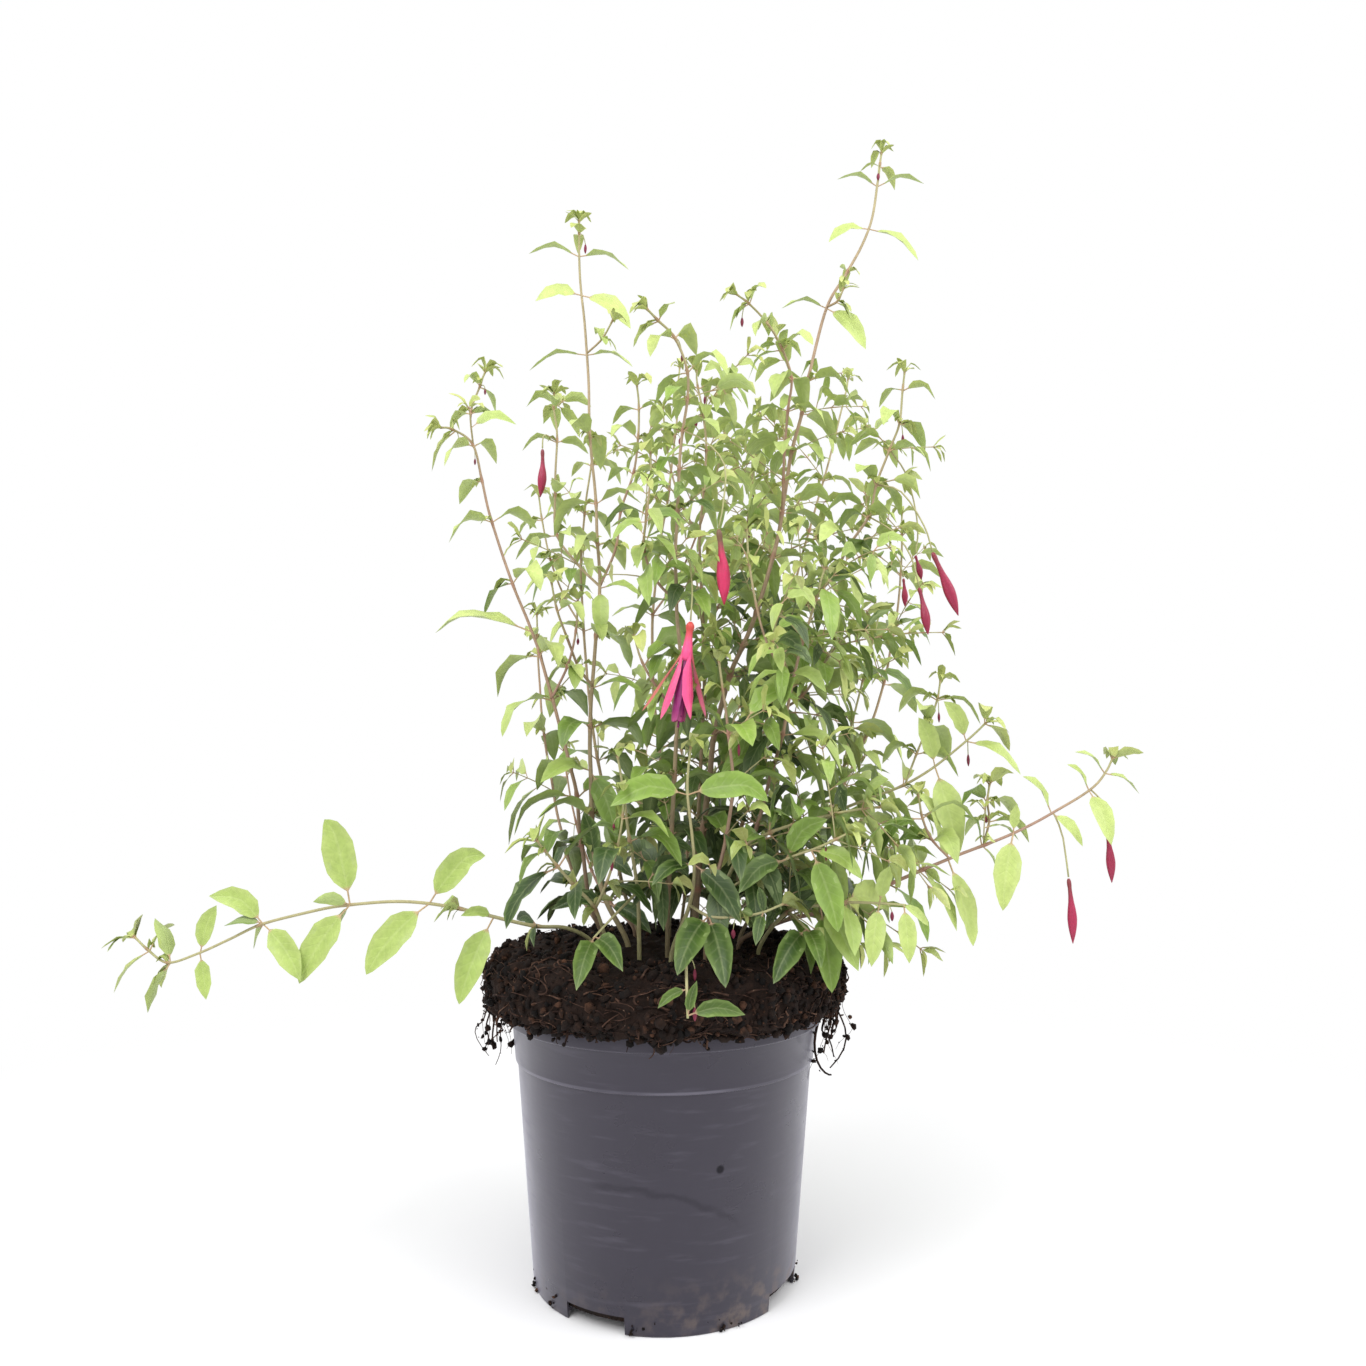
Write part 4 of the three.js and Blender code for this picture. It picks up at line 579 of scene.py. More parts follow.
class Signal:
    """What a node puts out. Sums written on it, as on a number, become Math nodes."""

    def __init__(self, sheet: "NodeSheet", socket: bpy.types.NodeSocket) -> None:
        """The output socket, on its sheet."""
        self.sheet, self.socket = sheet, socket

    def also(self, key: str | int) -> "Signal":
        """Another output of the same node."""
        return Signal(self.sheet, self.socket.node.outputs[key])

    def maths(self, operation: str, *others: "Signal | float") -> "Signal":
        """The result of a Math node over this value and others."""
        return self.sheet.put("Math", dict(enumerate((self, *others))), operation=operation)

    def __add__(self, other: "Signal | float") -> "Signal":
        """The two added."""
        return self.maths("ADD", other)

    def __sub__(self, other: "Signal | float") -> "Signal":
        """The other taken away."""
        return self.maths("SUBTRACT", other)

    def __mul__(self, other: "Signal | float") -> "Signal":
        """The two multiplied."""
        return self.maths("MULTIPLY", other)

    def __abs__(self) -> "Signal":
        """The value without its sign."""
        return self.maths("ABSOLUTE")

    def remap(self, low: float, high: float, to_low: float = 0.0, to_high: float = 1.0) -> "Signal":
        """The value carried smoothly from one range to another, and held at its ends."""
        inputs = {0: self, 1: low, 2: high, 3: to_low, 4: to_high}
        return self.sheet.put("MapRange", inputs, interpolation_type="SMOOTHSTEP")

    def toward(self, other: "Signal | str", share: "Signal | float", way: str = "MIX") -> "Signal":
        """This colour mixed with a share of another, which may be a display code."""
        inputs = {0: share, 6: self, 7: colour(other) if isinstance(other, str) else other}
        return self.sheet.put("Mix", inputs, 2, data_type="RGBA", blend_type=way)

    def ramp(self, *stops: tuple[float, str]) -> "Signal":
        """A colour picked from the stops by this value, from 0 to 1."""
        picked = self.sheet.put("ValToRGB", {0: self})
        elements = picked.socket.node.color_ramp.elements
        while len(elements) < len(stops):
            elements.new(1.0)
        for element, (place, code) in zip(elements, stops):
            element.position, element.color = place, colour(code)
        return picked

    def split(self) -> tuple["Signal", ...]:
        """The three parts of this vector."""
        parts = self.sheet.put("SeparateXYZ", {0: self})
        return parts, parts.also(1), parts.also(2)


class NodeSheet:
    """Puts nodes on one node tree and wires them as they are made."""

    def __init__(self, tree: bpy.types.NodeTree) -> None:
        """A sheet over that tree."""
        self.tree = tree

    def feed(self, node: bpy.types.Node, inputs: dict[str | int, object]) -> None:
        """Gives each named or numbered input its signal or its own value."""
        for key, value in inputs.items():
            if isinstance(value, Signal):
                self.tree.links.new(value.socket, node.inputs[key])
            else:
                node.inputs[key].default_value = value

    def put(self, kind: str, inputs: dict[str | int, object] | None = None,
            output: str | int = 0, **settings: object) -> Signal:
        """Adds a node.

        Args:
            kind: The node's type, without its leading ShaderNode.
            inputs: A value or a signal for each named or numbered input.
            output: Name or number of the output that is wanted.
            settings: The node's own settings.

        Returns:
            That output.
        """
        node = self.tree.nodes.new(f"ShaderNode{kind}")
        for key, value in settings.items():
            setattr(node, key, value)
        self.feed(node, inputs or {})
        return Signal(self, node.outputs[output])

    def attribute(self, name: str) -> tuple[Signal, ...]:
        """The three parts of a triple that the mesh carries."""
        return self.put("Attribute", output="Vector", attribute_name=name).split()

    def place(self) -> Signal:
        """The point's place in the object, in metres."""
        return self.put("TexCoord", output="Object")

    def noise(self, vector: Signal, size: float, detail: float = 2.0) -> Signal:
        """Noise from 0 to 1 whose lumps are about size millimetres wide."""
        return self.put("TexNoise", {"Vector": vector, "Scale": 1 / (size * METRE), "Detail": detail})

    def bump(self, height: Signal, depth: float, strength: float = 1.0) -> Signal:
        """A normal bent by a height from 0 to 1 that stands for depth millimetres."""
        return self.put("Bump", {"Height": height, "Distance": depth * METRE, "Strength": strength})

    def mottle(self, place: Signal, body: Signal | Colour, scale: float,
               strength: float) -> tuple[Signal, Signal]:
        """A mottled colour, and the patches' own value from 0 to 1.

        Args:
            place: Where the point is.
            body: The colour.
            scale: Noise cells in a metre.
            strength: How far the patches depart from the colour.

        Returns:
            The two signals.
        """
        inputs = {"Vector": place, "Color": body, "Scale": scale, "Strength": strength}
        mottled = self.put("Group", inputs, node_tree=mottle_group())
        return mottled, mottled.also("Value")

    def veins(self, wide: Signal, along: Signal, pairs: float, slant: float) -> tuple[Signal, Signal]:
        """The masks of a blade's midrib and of its side veins.

        Args:
            wide: Across value.
            along: Along value.
            pairs: Pairs of side veins.
            slant: How far a side vein runs forward on its way out.

        Returns:
            The two signals.
        """
        inputs = {"Across": wide, "Along": along, "Pairs": pairs, "Slant": slant}
        midrib = self.put("Group", inputs, node_tree=vein_group())
        return midrib, midrib.also("Side")

    def specks(self, place: Signal, scale: float, amount: float) -> Signal:
        """The mask of scattered specks.

        Args:
            place: Where the point is.
            scale: Cells in a metre.
            amount: Share of cells with a speck.

        Returns:
            The mask.
        """
        return self.put("Group", {"Vector": place, "Scale": scale, "Amount": amount}, node_tree=speck_group())


class GroupSheet(NodeSheet):
    """The sheet of a node group that several finishes share."""

    def __init__(self, name: str, inputs: Sequence[str], outputs: Sequence[str]) -> None:
        """A new group. A socket named Vector or Color is of that kind, and any other a Float.

        Args:
            name: The group's name.
            inputs: Names of its inputs.
            outputs: Names of its outputs.
        """
        super().__init__(bpy.data.node_groups.new(name, "ShaderNodeTree"))
        for way, labels in (("INPUT", inputs), ("OUTPUT", outputs)):
            for label in labels:
                kind = label if label in ("Vector", "Color") else "Float"
                self.tree.interface.new_socket(label, in_out=way, socket_type=f"NodeSocket{kind}")
        entry = self.tree.nodes.new("NodeGroupInput")
        self.given = [Signal(self, entry.outputs[label]) for label in inputs]

    def close(self, results: dict[str | int, object]) -> bpy.types.NodeTree:
        """Wires the outputs and returns the group."""
        self.feed(self.tree.nodes.new("NodeGroupOutput"), results)
        return self.tree


@functools.cache
def mottle_group() -> bpy.types.NodeTree:
    """Soft light and dark patches: a colour times 1 ± Strength by noise of two sizes."""
    sheet = GroupSheet("mottle", ("Vector", "Color", "Scale", "Strength"), ("Color", "Value"))
    place, body, scale, strength = sheet.given
    broad = sheet.put("TexNoise", {"Vector": place, "Scale": scale, "Detail": 2.0})
    fine = sheet.put("TexNoise", {"Vector": place, "Scale": scale * 3.7, "Detail": 3.0})
    both = fine * 0.45 + broad * 0.55
    factor = (both - 0.5) * 4.0 * strength + 1.0
    spread = sheet.put("CombineXYZ", {0: factor, 1: factor, 2: factor})
    return sheet.close({"Color": body.toward(spread, 1.0, "MULTIPLY"), "Value": both})


@functools.cache
def vein_group() -> bpy.types.NodeTree:
    """A midrib and side veins, from a blade's across (-1 to 1) and along (0 to 1) values.

    A side vein runs where along · Pairs - |across| · Slant is near a whole number, and fades
    towards the edge.
    """
    sheet = GroupSheet("veins", ("Across", "Along", "Pairs", "Slant"), ("Midrib", "Side"))
    side, along, pairs, slant = sheet.given
    wide = abs(side)
    line = (along * pairs - wide * slant).maths("PINGPONG", 0.5).remap(0.04, 0.16, 1.0, 0.0)
    return sheet.close({"Midrib": wide.remap(0.02, 0.14, 1.0, 0.0),
                        "Side": line * wide.remap(0.55, 0.95, 1.0, 0.0)})


@functools.cache
def speck_group() -> bpy.types.NodeTree:
    """A mask of scattered specks: the middles of uneven cells, where chance lets them be."""
    sheet = GroupSheet("specks", ("Vector", "Scale", "Amount"), ("Mask",))
    place, scale, amount = sheet.given
    away = sheet.put("TexVoronoi", {"Vector": place, "Scale": scale}, "Distance")
    chance = sheet.put("SeparateColor", {0: away.also("Color")})
    return sheet.close({"Mask": away.remap(0.1, 0.3, 1.0, 0.0) * chance.maths("LESS_THAN", amount)})


class MaterialSheet(NodeSheet):
    """The sheet of one material."""

    def __init__(self, name: str) -> None:
        """A new material without nodes.

        Args:
            name: The material's name.
        """
        self.material = bpy.data.materials.new(name)
        self.material.use_nodes = True
        super().__init__(self.material.node_tree)
        self.tree.nodes.clear()

    def show(self, shader: Signal) -> bpy.types.Material:
        """Puts a shader on the output and returns the material."""
        self.feed(self.tree.nodes.new("ShaderNodeOutputMaterial"), {"Surface": shader})
        return self.material

    def close(self, looks: dict[str | int, object]) -> bpy.types.Material:
        """Shows the Principled shader with these looks."""
        return self.show(self.put("BsdfPrincipled", looks))


# ---------------------------------------------------------------- finishes
@dataclass(frozen=True)
class LeafFinish:
    """Leaves: deep green in the shade and yellow-green in the light, with veins and a grey underside."""

    shaded: str = "#2d4514"
    middle: str = "#7d9b3b"
    sunlit: str = "#b9c877"
    young: str = "#c3bf72"
    underside: str = "#a4b57a"
    vein: str = "#d3dca2"
    stalk: str = "#c09a80"

    def material(self) -> bpy.types.Material:
        """The material, from how lit, how young and how far under each point of a leaf is."""
        sheet = MaterialSheet("leaf")
        wide, along, _ = sheet.attribute("blade")
        light, youth, under = sheet.attribute("cast")
        place = sheet.place()
        pale_rim = abs(wide).remap(0.35, 0.95, -0.04, 0.05)
        tone = sheet.noise(place, 9) * 0.16 + (light - 0.08) + pale_rim
        body = tone.ramp((0.0, self.shaded), (0.5, self.middle), (1.0, self.sunlit))
        body = body.toward(self.young, youth * 0.6).toward(self.underside, under * 0.5)
        midrib, side = sheet.veins(wide, along, 7.0, 1.3)
        body = body.toward(self.vein, side * 0.035).toward(self.vein, midrib * 0.11)
        body = body.toward(self.stalk, along.remap(-0.02, 0.05, 1.0, 0.0) * 0.8)
        body, patches = sheet.mottle(place, body, 120.0, 0.17)
        height = (midrib * 1.4 + side) * -0.5
        return sheet.close({"Base Color": body, "Roughness": patches * 0.2 + 0.36,
                            "Normal": sheet.bump(height, 0.22, 0.6), "Specular IOR Level": 0.42})


@dataclass(frozen=True)
class StemFinish:
    """Stems: woody and brown below, pinkish tan higher up and green-pink at the tips."""

    wood: str = "#715b48"
    tan: str = "#a38372"
    tip: str = "#a8a877"
    node: str = "#9a6152"
    bud: str = "#7a2a40"

    def material(self) -> bpy.types.Material:
        """The material, from how near its tip and how near a node each point of a stem is."""
        sheet = MaterialSheet("stem")
        _, along, node = sheet.attribute("blade")
        age, pale, bud = sheet.attribute("cast")
        place = sheet.place()
        body = age.ramp((0.0, self.wood), (0.35, self.tan), (0.75, self.tan), (1.0, self.tip))
        body = body.toward(self.tip, pale * 0.9).toward(self.node, node * 0.6)
        body = body.toward(self.wood, sheet.specks(place, 900.0, 0.3) * 0.25).toward(self.bud, bud)
        body, patches = sheet.mottle(place, body, 200.0, 0.2)
        ridge = (along * 1.3).maths("SINE") * 0.15 + patches
        return sheet.close({"Base Color": body, "Normal": sheet.bump(ridge, 0.25, 0.5),
                            "Roughness": 0.6, "Specular IOR Level": 0.35})


@dataclass(frozen=True)
class PetalFinish:
    """Petals, sepals and buds: from a root colour to a tip colour, with fine long veins."""

    name: str
    root: str
    middle: str
    tip: str
    inside: str
    dull: str  # the colour of the least ripe ones
    turning: float = 0.36  # how far along the root colour has turned into the middle one

    def material(self) -> bpy.types.Material:
        """The material, from how far along each point of a petal is and how ripe that petal."""
        sheet = MaterialSheet(self.name)
        wide, along, _ = sheet.attribute("blade")
        ripe, _, inner = sheet.attribute("cast")
        place = sheet.place()
        body = along.ramp((0.4 * self.turning, self.root), (self.turning, self.middle),
                          (0.8, self.middle), (1.0, self.tip))
        body = body.toward(self.dull, (ripe - 1.0) * -1.0).toward(self.inside, inner)
        _, side = sheet.veins(wide, along, 0.6, 3.0)
        body = body.toward(body.toward(self.dull, 0.5), side * 0.35)
        body, patches = sheet.mottle(place, body, 350.0, 0.12)
        return sheet.close({
            "Base Color": body, "Normal": sheet.bump(side * -0.4 + patches, 0.25, 0.6),
            "Roughness": 0.42, "Subsurface Weight": 0.25, "Subsurface Radius": (1.0, 0.3, 0.5),
            "Subsurface Scale": 1.5 * METRE})


@dataclass(frozen=True)
class PlasticFinish:
    """The pot: satin charcoal plastic with scuffs, a smear, a speck, dust towards its foot and a painted
    highlight.
    """

    body: str = "#211f27"
    scuff: str = "#54515c"
    dust: str = "#7d6c5c"
    smear: str = "#121015"
    # colour of the highlight painted along the collar's lower edge
    painted_highlight: str = "#8d8a98"
    speck_place: Spot = (0.0307, -0.0788, 0.0843)
    ledge: float = 0.1256  # height of the collar's edge, along which a highlight is painted, in metres

    def smear_mask(self, sheet: NodeSheet, place: Signal) -> Signal:
        """The smear, along a cubic on the pot's front, and the speck, round a point beside it.

        Args:
            sheet: The pot's sheet.
            place: Where the point is.

        Returns:
            Their mask.
        """
        x, y, z = place.split()
        bend = (x + 0.036).maths("POWER", 3.0) * -48.0 + 0.0755
        ragged = sheet.noise(place, 9, 3.0) * 0.007 + (z - 0.0035)
        ends = x.remap(-0.042, -0.03) * x.remap(0.03, 0.046, 1.0, 0.0) * y.remap(-0.07, -0.06, 1.0, 0.0)
        smear = abs(ragged - bend).remap(0.0002, 0.0032, 0.3, 0.0) * ends
        away = sheet.put("VectorMath", {0: place, 1: self.speck_place}, "Value", operation="DISTANCE")
        return smear.maths("MAXIMUM", away.remap(0.0014, 0.0029, 1.0, 0.0))

    def material(self) -> bpy.types.Material:
        """The material, from the place on the pot."""
        sheet = MaterialSheet("pot_plastic")
        place = sheet.place()
        x, _, z = place.split()
        body, patches = sheet.mottle(place, colour(self.body), 24.0, 0.16)
        stretched = sheet.put("Mapping", {"Vector": place, "Scale": (0.3, 0.3, 2.2)})
        scuff = sheet.noise(stretched, 9, 4.0).remap(0.54, 0.76)
        dusty = (z.remap(0.002, 0.036, 1.0, 0.0) * x.remap(-0.02, 0.06, 0.25, 1.0)
                 * sheet.noise(place, 8, 5.0).remap(0.45, 0.68))
        smear = self.smear_mask(sheet, place)
        # a highlight painted along the collar's lower edge, broken up by noise
        edge = abs(z - self.ledge).remap(0.0003, 0.0011, 1.0, 0.0)
        painted_highlight = edge * sheet.noise(stretched, 14, 3.0).remap(0.35, 0.55, 0.35, 1.0)
        body = body.toward(self.scuff, scuff * 0.25).toward(self.dust, dusty * 0.5)
        body = body.toward(self.smear, smear).toward(self.painted_highlight, painted_highlight * 0.3)
        grain = sheet.noise(place, 1.2, 2.0) * 0.25 + sheet.noise(stretched, 5, 2.0)
        return sheet.close({
            "Base Color": body, "Normal": sheet.bump(grain, 0.12, 0.4), "IOR": 1.52,
            "Roughness": dusty * 0.25 + (scuff * 0.1 + patches.remap(0.3, 0.7, 0.26, 0.36)),
            "Specular IOR Level": smear * -0.42 + 0.5, "Specular Tint": (0.9, 0.84, 1, 1),
            "Coat Weight": 0.12, "Coat Roughness": 0.35,
            "Sheen Weight": 0.38, "Sheen Roughness": 0.4, "Sheen Tint": (0.84, 0.82, 1, 1)})


@dataclass(frozen=True)
class PeatFinish:
    """Peat, its crumbs and its roots: near black to reddish brown, with tan fibres."""

    name: str
    dark: str
    middle: str
    light: str
    depth: float  # of the relief, in millimetres

    def material(self) -> bpy.types.Material:
        """The material: noise picks between the tones, pushed on by each crumb's own value."""
        sheet = MaterialSheet(self.name)
        place = sheet.place()
        own, _, _ = sheet.attribute("cast")
        tone = sheet.noise(place, 5, 5.0) * 0.9 + (own - 0.45)
        body = tone.ramp((0.0, self.dark), (0.5, self.middle), (1.0, self.light))
        body = body.toward(self.light, sheet.specks(place, 420.0, 0.25) * 0.4)
        body, patches = sheet.mottle(place, body, 500.0, 0.3)
        return sheet.close({"Base Color": body, "Normal": sheet.bump(patches, self.depth),
                            "Roughness": 0.92, "Specular IOR Level": 0.25})


PEAT = PeatFinish("peat", "#0a0605", "#251710", "#6b4936", 1.2)
ROOT = PeatFinish("root_fibre", "#22130e", "#5c4336", "#ab917e", 0.2)
BUD_FINISH = PetalFinish("bud_skin", "#7a5a44", "#d23064", "#b01c48", "#8e2a86", "#8a1f3e")
SEPAL_FINISH = PetalFinish("sepal_skin", "#cf4140", "#ee4f8b", "#e86a94", "#ee7fa2", "#bf6f5c", 0.16)
COROLLA_FINISH = PetalFinish("corolla_skin", "#851862", "#8d2168", "#b2467f", "#8a2266", "#5a1448")


# ---------------------------------------------------------------- the pot
@dataclass(frozen=True)
class NurseryPot:
    """The pot: a thin tapered shell with a collar, a rounded lip and drain notches in its foot."""

    height: float = 155
    rim: float = 95
    lip_bottom: float = 147
    collar_bottom: float = 125
    collar: float = 89.6
    collar_top: float = 91.8
    ledge: float = 1.4
    foot: float = 77
    wall: float = 1.6
    floor_underside: float = 3
    floor_top: float = 5
    centre_foot: float = 18
    notch_height: float = 9
    notch_width: float = 36
    notch_reach: float = 22
    notch_turns: tuple[float, ...] = (-28, 62, 152, 242)
    edge: float = 1.1  # radius of the lip's rounded edges
    bead: float = 0.6  # radius of the foot's and the collar's edges
    columns: int = 288
    finish: PlasticFinish = PlasticFinish()

    def corner(self, x: float, z: float, start: float, radius: float) -> Array:
        """A quarter circle in a turned outline.

        Args:
            x: Distance of its centre from the axis.
            z: Height of its centre.
            start: Angle of its first point in degrees, 0 outwards and 90 up.
            radius: Radius of the quarter circle.

        Returns:
            Its points, turning anticlockwise in the (out, up) plane.
        """
        angle = np.radians(start + np.linspace(0, 90, 6))
        return np.stack([x + radius * np.cos(angle), z + radius * np.sin(angle)], axis=-1)

    def outline(self) -> Array:
        """The turned outline from the foot's middle, up the outside and down the inside."""
        body_top = self.collar - self.ledge
        inner_foot, inner_lip = self.foot - self.wall, self.collar_top - self.wall
        edge, bead = self.edge, self.bead
        return np.concatenate([
            [[self.centre_foot, 0], [self.centre_foot + 2, self.floor_underside],
             [inner_foot, self.floor_underside], [inner_foot, 0.3], [inner_foot + 0.3, 0]],
            self.corner(self.foot - bead, bead, -90, bead),
            [[body_top, self.collar_bottom - 0.9], [body_top + 0.15, self.collar_bottom - 0.45]],
            self.corner(self.collar - bead, self.collar_bottom + 0.2, -90, bead),
            [[self.collar_top, self.lip_bottom - 0.5], [self.collar_top + 0.4, self.lip_bottom]],
            self.corner(self.rim - edge, self.lip_bottom + edge, -90, edge),
            self.corner(self.rim - edge, self.height - edge, 0, edge),
            self.corner(inner_lip + edge, self.height - edge, 90, edge),
            [[self.collar - self.wall, self.collar_bottom + 2],
             [body_top - self.wall, self.collar_bottom - 2], [inner_foot + 0.4, self.floor_top]],
        ])

    def cutters(self) -> bpy.types.Object:
        """The four boxes that the drain notches are cut with."""
        skin = Skin("notch_cutters")
        half = np.array([self.notch_width / 2, self.notch_reach / 2])
        square = np.array([[-1, -1], [1, -1], [1, 1], [-1, 1]]) * half - [0, self.foot + 2]
        for turn in map(math.radians, self.notch_turns):
            turned = square @ np.array([[math.cos(turn), math.sin(turn)], [-math.sin(turn), math.cos(turn)]])
            skin.add_rings(np.array([[np.column_stack([turned, np.full(4, z)])
                                      for z in (-self.notch_height, self.notch_height)]]))
        return skin.build(self.finish.material())

    def build(self) -> None:
        """Turns the outline round the axis, cuts the notches and dresses the pot."""
        profile = self.outline()
        grid = profile[:, :1, None] * level(circle(self.columns)) + profile[:, 1:, None] * UP
        skin = Skin("nursery_pot")
        skin.add_rings(grid[None], first=np.zeros((1, 3)), last=self.floor_top * UP[None])
        pot, cutters = skin.build(self.finish.material()), self.cutters()
        notches = pot.modifiers.new("notches", "BOOLEAN")
        notches.object, notches.operation, notches.solver = cutters, "DIFFERENCE", "EXACT"
        cut = bpy.data.meshes.new_from_object(pot.evaluated_get(bpy.context.evaluated_depsgraph_get()))
        pot.modifiers.clear()
        pot.data = cut
        cut.set_sharp_from_angle(angle=math.radians(38))
        bpy.data.objects.remove(cutters)
        settle(pot, "pot")


# ---------------------------------------------------------------- the peat
@dataclass(frozen=True)
class RootBunch:
    """Roots that hang over the rim: where round the pot, how many, and how far they drop."""

    turn: float  # degrees from +X, anticlockwise seen from above
    spread: float
    count: int
    drop: float
    reach: float


@dataclass(frozen=True)
class RootBall:
    """The peat that fills the pot and swells over its rim, with crumbs, fibres and roots."""

    outline: tuple[tuple[float, float], ...] = (
        (96, 155.6), (102.5, 157.5), (106.5, 163.5), (106.5, 174), (103, 182), (92, 187), (61, 187.5),
        (30, 188), (4, 188),
    )
    inside: tuple[tuple[float, float], ...] = ((74.6, 5.4), (86, 123), (87.2, 129), (87.2, 155.4))
    crown: float = 188
    floor: float = 5.4
    columns: int = 300
    rows: int = 84
    crumbs: int = 4200
    fibres: int = 640
    bunches: tuple[RootBunch, ...] = (
        RootBunch(187, 9, 14, 44, 6), RootBunch(178, 30, 12, 24, 5), RootBunch(-13, 8, 13, 42, 5),
        RootBunch(4, 26, 9, 18, 4), RootBunch(250, 70, 20, 10, 3), RootBunch(90, 80, 24, 15, 4),
    )
    knobs: int = 80  # crumbs that cling to each bunch
    spilled: tuple[float, ...] = (-64, -101, -141, -12, 40, 120, 200)  # turns of the heaps at the foot

    def relief(self, points: Array, share: Array) -> Array:
        """How far the peat stands out: lumps of four sizes, held back where it meets the lip."""
        lumps = (2.4 * lattice_noise(points, 19, 1) + 2.1 * lattice_noise(points, 8, 2)
                 + 1.6 * lattice_noise(points, 4.4, 3) + 0.9 * lattice_noise(points, 2.5, 4))
        return lumps * smooth_step(0, 0.12, share)

    def surface(self, turn: Array, share: Array) -> tuple[Array, Array]:
        """The exposed peat, from the lip (share 0) to the crown's middle (share 1).

        The outline's smooth curve is turned round the axis, and each point is then moved along
        its own normal by the relief.

        Args:
            turn: Angle round the axis.
            share: Share of the way up the outline, of the same shape.

        Returns:
            Points and normals, each with a last dimension of three.
        """
        line = np.array(self.outline)
        at = share.ravel() * (len(line) - 1)
        spot = smooth_path(line, at)
        slope = unit(smooth_path(line, at + 0.02) - smooth_path(line, at - 0.02))
        out = level(turn.ravel())
        normal = slope[:, 1:] * out - slope[:, :1] * UP
        points = spot[:, :1] * out + spot[:, 1:] * UP
        points = points + normal * self.relief(points, share.ravel())[:, None]
        return points.reshape(*turn.shape, 3), normal.reshape(*turn.shape, 3)

    def body(self) -> Skin:
        """The closed root ball: its plain inside wall and its lumpy exposed part."""
        skin, turn = Skin("root_ball"), circle(self.columns)
        hidden = np.array([radius * level(turn) + height * UP for radius, height in self.inside])
        share, around = np.meshgrid(np.linspace(0, 1, self.rows), turn, indexing="ij")
        exposed, _ = self.surface(around, share)
        skin.add_rings(np.concatenate([hidden, exposed])[None], np.array([0.35, 0, 0]),
                       first=self.floor * UP[None], last=self.crown * UP[None])
        return skin

    def crumb_skin(self, places: Array, sizes: Array, random: np.random.Generator) -> Skin:
        """Crumbs: an icosahedron for each, with its own corners pushed in or out, and turned.

        Args:
            places: Middle of each crumb.
            sizes: Radius of each crumb.
            random: Seeded draws.

        Returns:
            The crumbs' skin.
        """
        golden, count = (1 + 5 ** 0.5) / 2, len(places)
        corners = unit(np.array([p for a, b in itertools.product((-1, 1), (-golden, golden))
                                 for p in ((0, a, b), (a, b, 0), (b, 0, a))], float))
        near = np.linalg.norm(corners[:, None] - corners[None], axis=-1) < 1.1
        trios = np.array([t for t in itertools.combinations(range(12), 3)
                          if near[t[0], t[1]] and near[t[1], t[2]] and near[t[0], t[2]]])
        a, b, c = (corners[trios[:, k]] for k in range(3))
        inward = np.sum(np.cross(b - a, c - a) * a, axis=-1) < 0
        trios[inward] = trios[inward][:, ::-1]
        turns, _ = np.linalg.qr(random.normal(size=(count, 3, 3)))
        turns *= np.sign(np.linalg.det(turns))[:, None, None]
        knobs = corners * random.uniform(0.6, 1.25, (count, 12, 1))
        knobs = (knobs * random.uniform(0.55, 1.2, (count, 1, 3))) @ turns
        tone = np.zeros((count, 1, 3))
        tone[:, 0, 0] = random.uniform(0, 0.8, count) ** 1.6
        skin = Skin("peat_crumbs")
        skin.add(places[:, None] + sizes[:, None, None] * knobs, (trios,), tone)
        return skin

    def hanging(self, bunch: RootBunch, random: np.random.Generator) -> Array:
        """Paths of a bunch's roots: out over the edge, then down, wandering more and more.

        Args:
            bunch: The bunch.
            random: Seeded draws.

        Returns:
            Points along each root, shape (roots, 14, 3).
        """
        t, count = np.linspace(0, 1, 14), bunch.count
        turn = np.radians(bunch.turn + random.normal(0, bunch.spread / 2.2, count))
        start, _ = self.surface(turn, random.uniform(0.02, 0.3, count))
        out = level(turn)[:, None]
        drop = bunch.drop * random.uniform(0.3, 1.0, count)
        reach = bunch.reach * random.uniform(-0.4, 1.0, count)
        phase = random.uniform(0, 2 * np.pi, (2, 3, count))
        pace = random.uniform(0.5, 1.7, (2, 3, count))
        amount = random.uniform(0.05, 0.2, (2, 3, count)) * drop
        angle = 2 * np.pi * pace[..., None] * t + phase[..., None]
        wander = (amount[..., None] * np.sin(angle) * t * [[[[1.0]]], [[[0.45]]]]).sum(axis=0)
        path = start[:, None] - out * 2 + out * (reach[:, None] * np.sin(np.pi * t * 0.6))[..., None]
        return path - UP * (drop[:, None] * t ** 1.3)[..., None] + np.moveaxis(wander, 0, -1)

    def lying(self, random: np.random.Generator) -> Array:
        """Paths of the fibres that lie on the peat, each arched up a little from its surface.

        Args:
            random: Seeded draws.

        Returns:
            Points along each fibre, shape (fibres, 8, 3).
        """
        t, count = np.linspace(0, 1, 8), (self.fibres, 1)
        length = random.uniform(6, 26, count)
        heading = random.uniform(0, np.pi, count)
        heading = heading + random.normal(0, 1.1, count) * t
        turn = random.uniform(0, 2 * np.pi, count) + length / 108 * t * np.cos(heading)
        share = random.uniform(0.02, 0.62, count) + length / 190 * t * np.sin(heading)
        points, normal = self.surface(turn, np.clip(share, 0, 0.95))
        lift = random.uniform(0.2, 1.0, count)
        arch = random.uniform(0, 2.6, count) * np.sin(np.pi * t)
        return points + normal * (lift + arch + 0.3 * np.sin(9 * t + 6 * turn))[..., None]

    def at_foot(self, random: np.random.Generator) -> Array:
        """The places of the few crumbs that cling to the pot's foot beside its notches.

        Args:
            random: Seeded draws.

        Returns:
            Their middles.
        """
        turn = np.radians(np.repeat(np.array(self.spilled, float), 9))
        turn = turn + random.normal(0, 0.05, len(turn))
        radius = 77.6 + random.uniform(-0.6, 1.4, len(turn))
        height = 1.0 + random.uniform(0, 1, len(turn)) ** 2 * 8
        return radius[:, None] * level(turn) + height[:, None] * UP

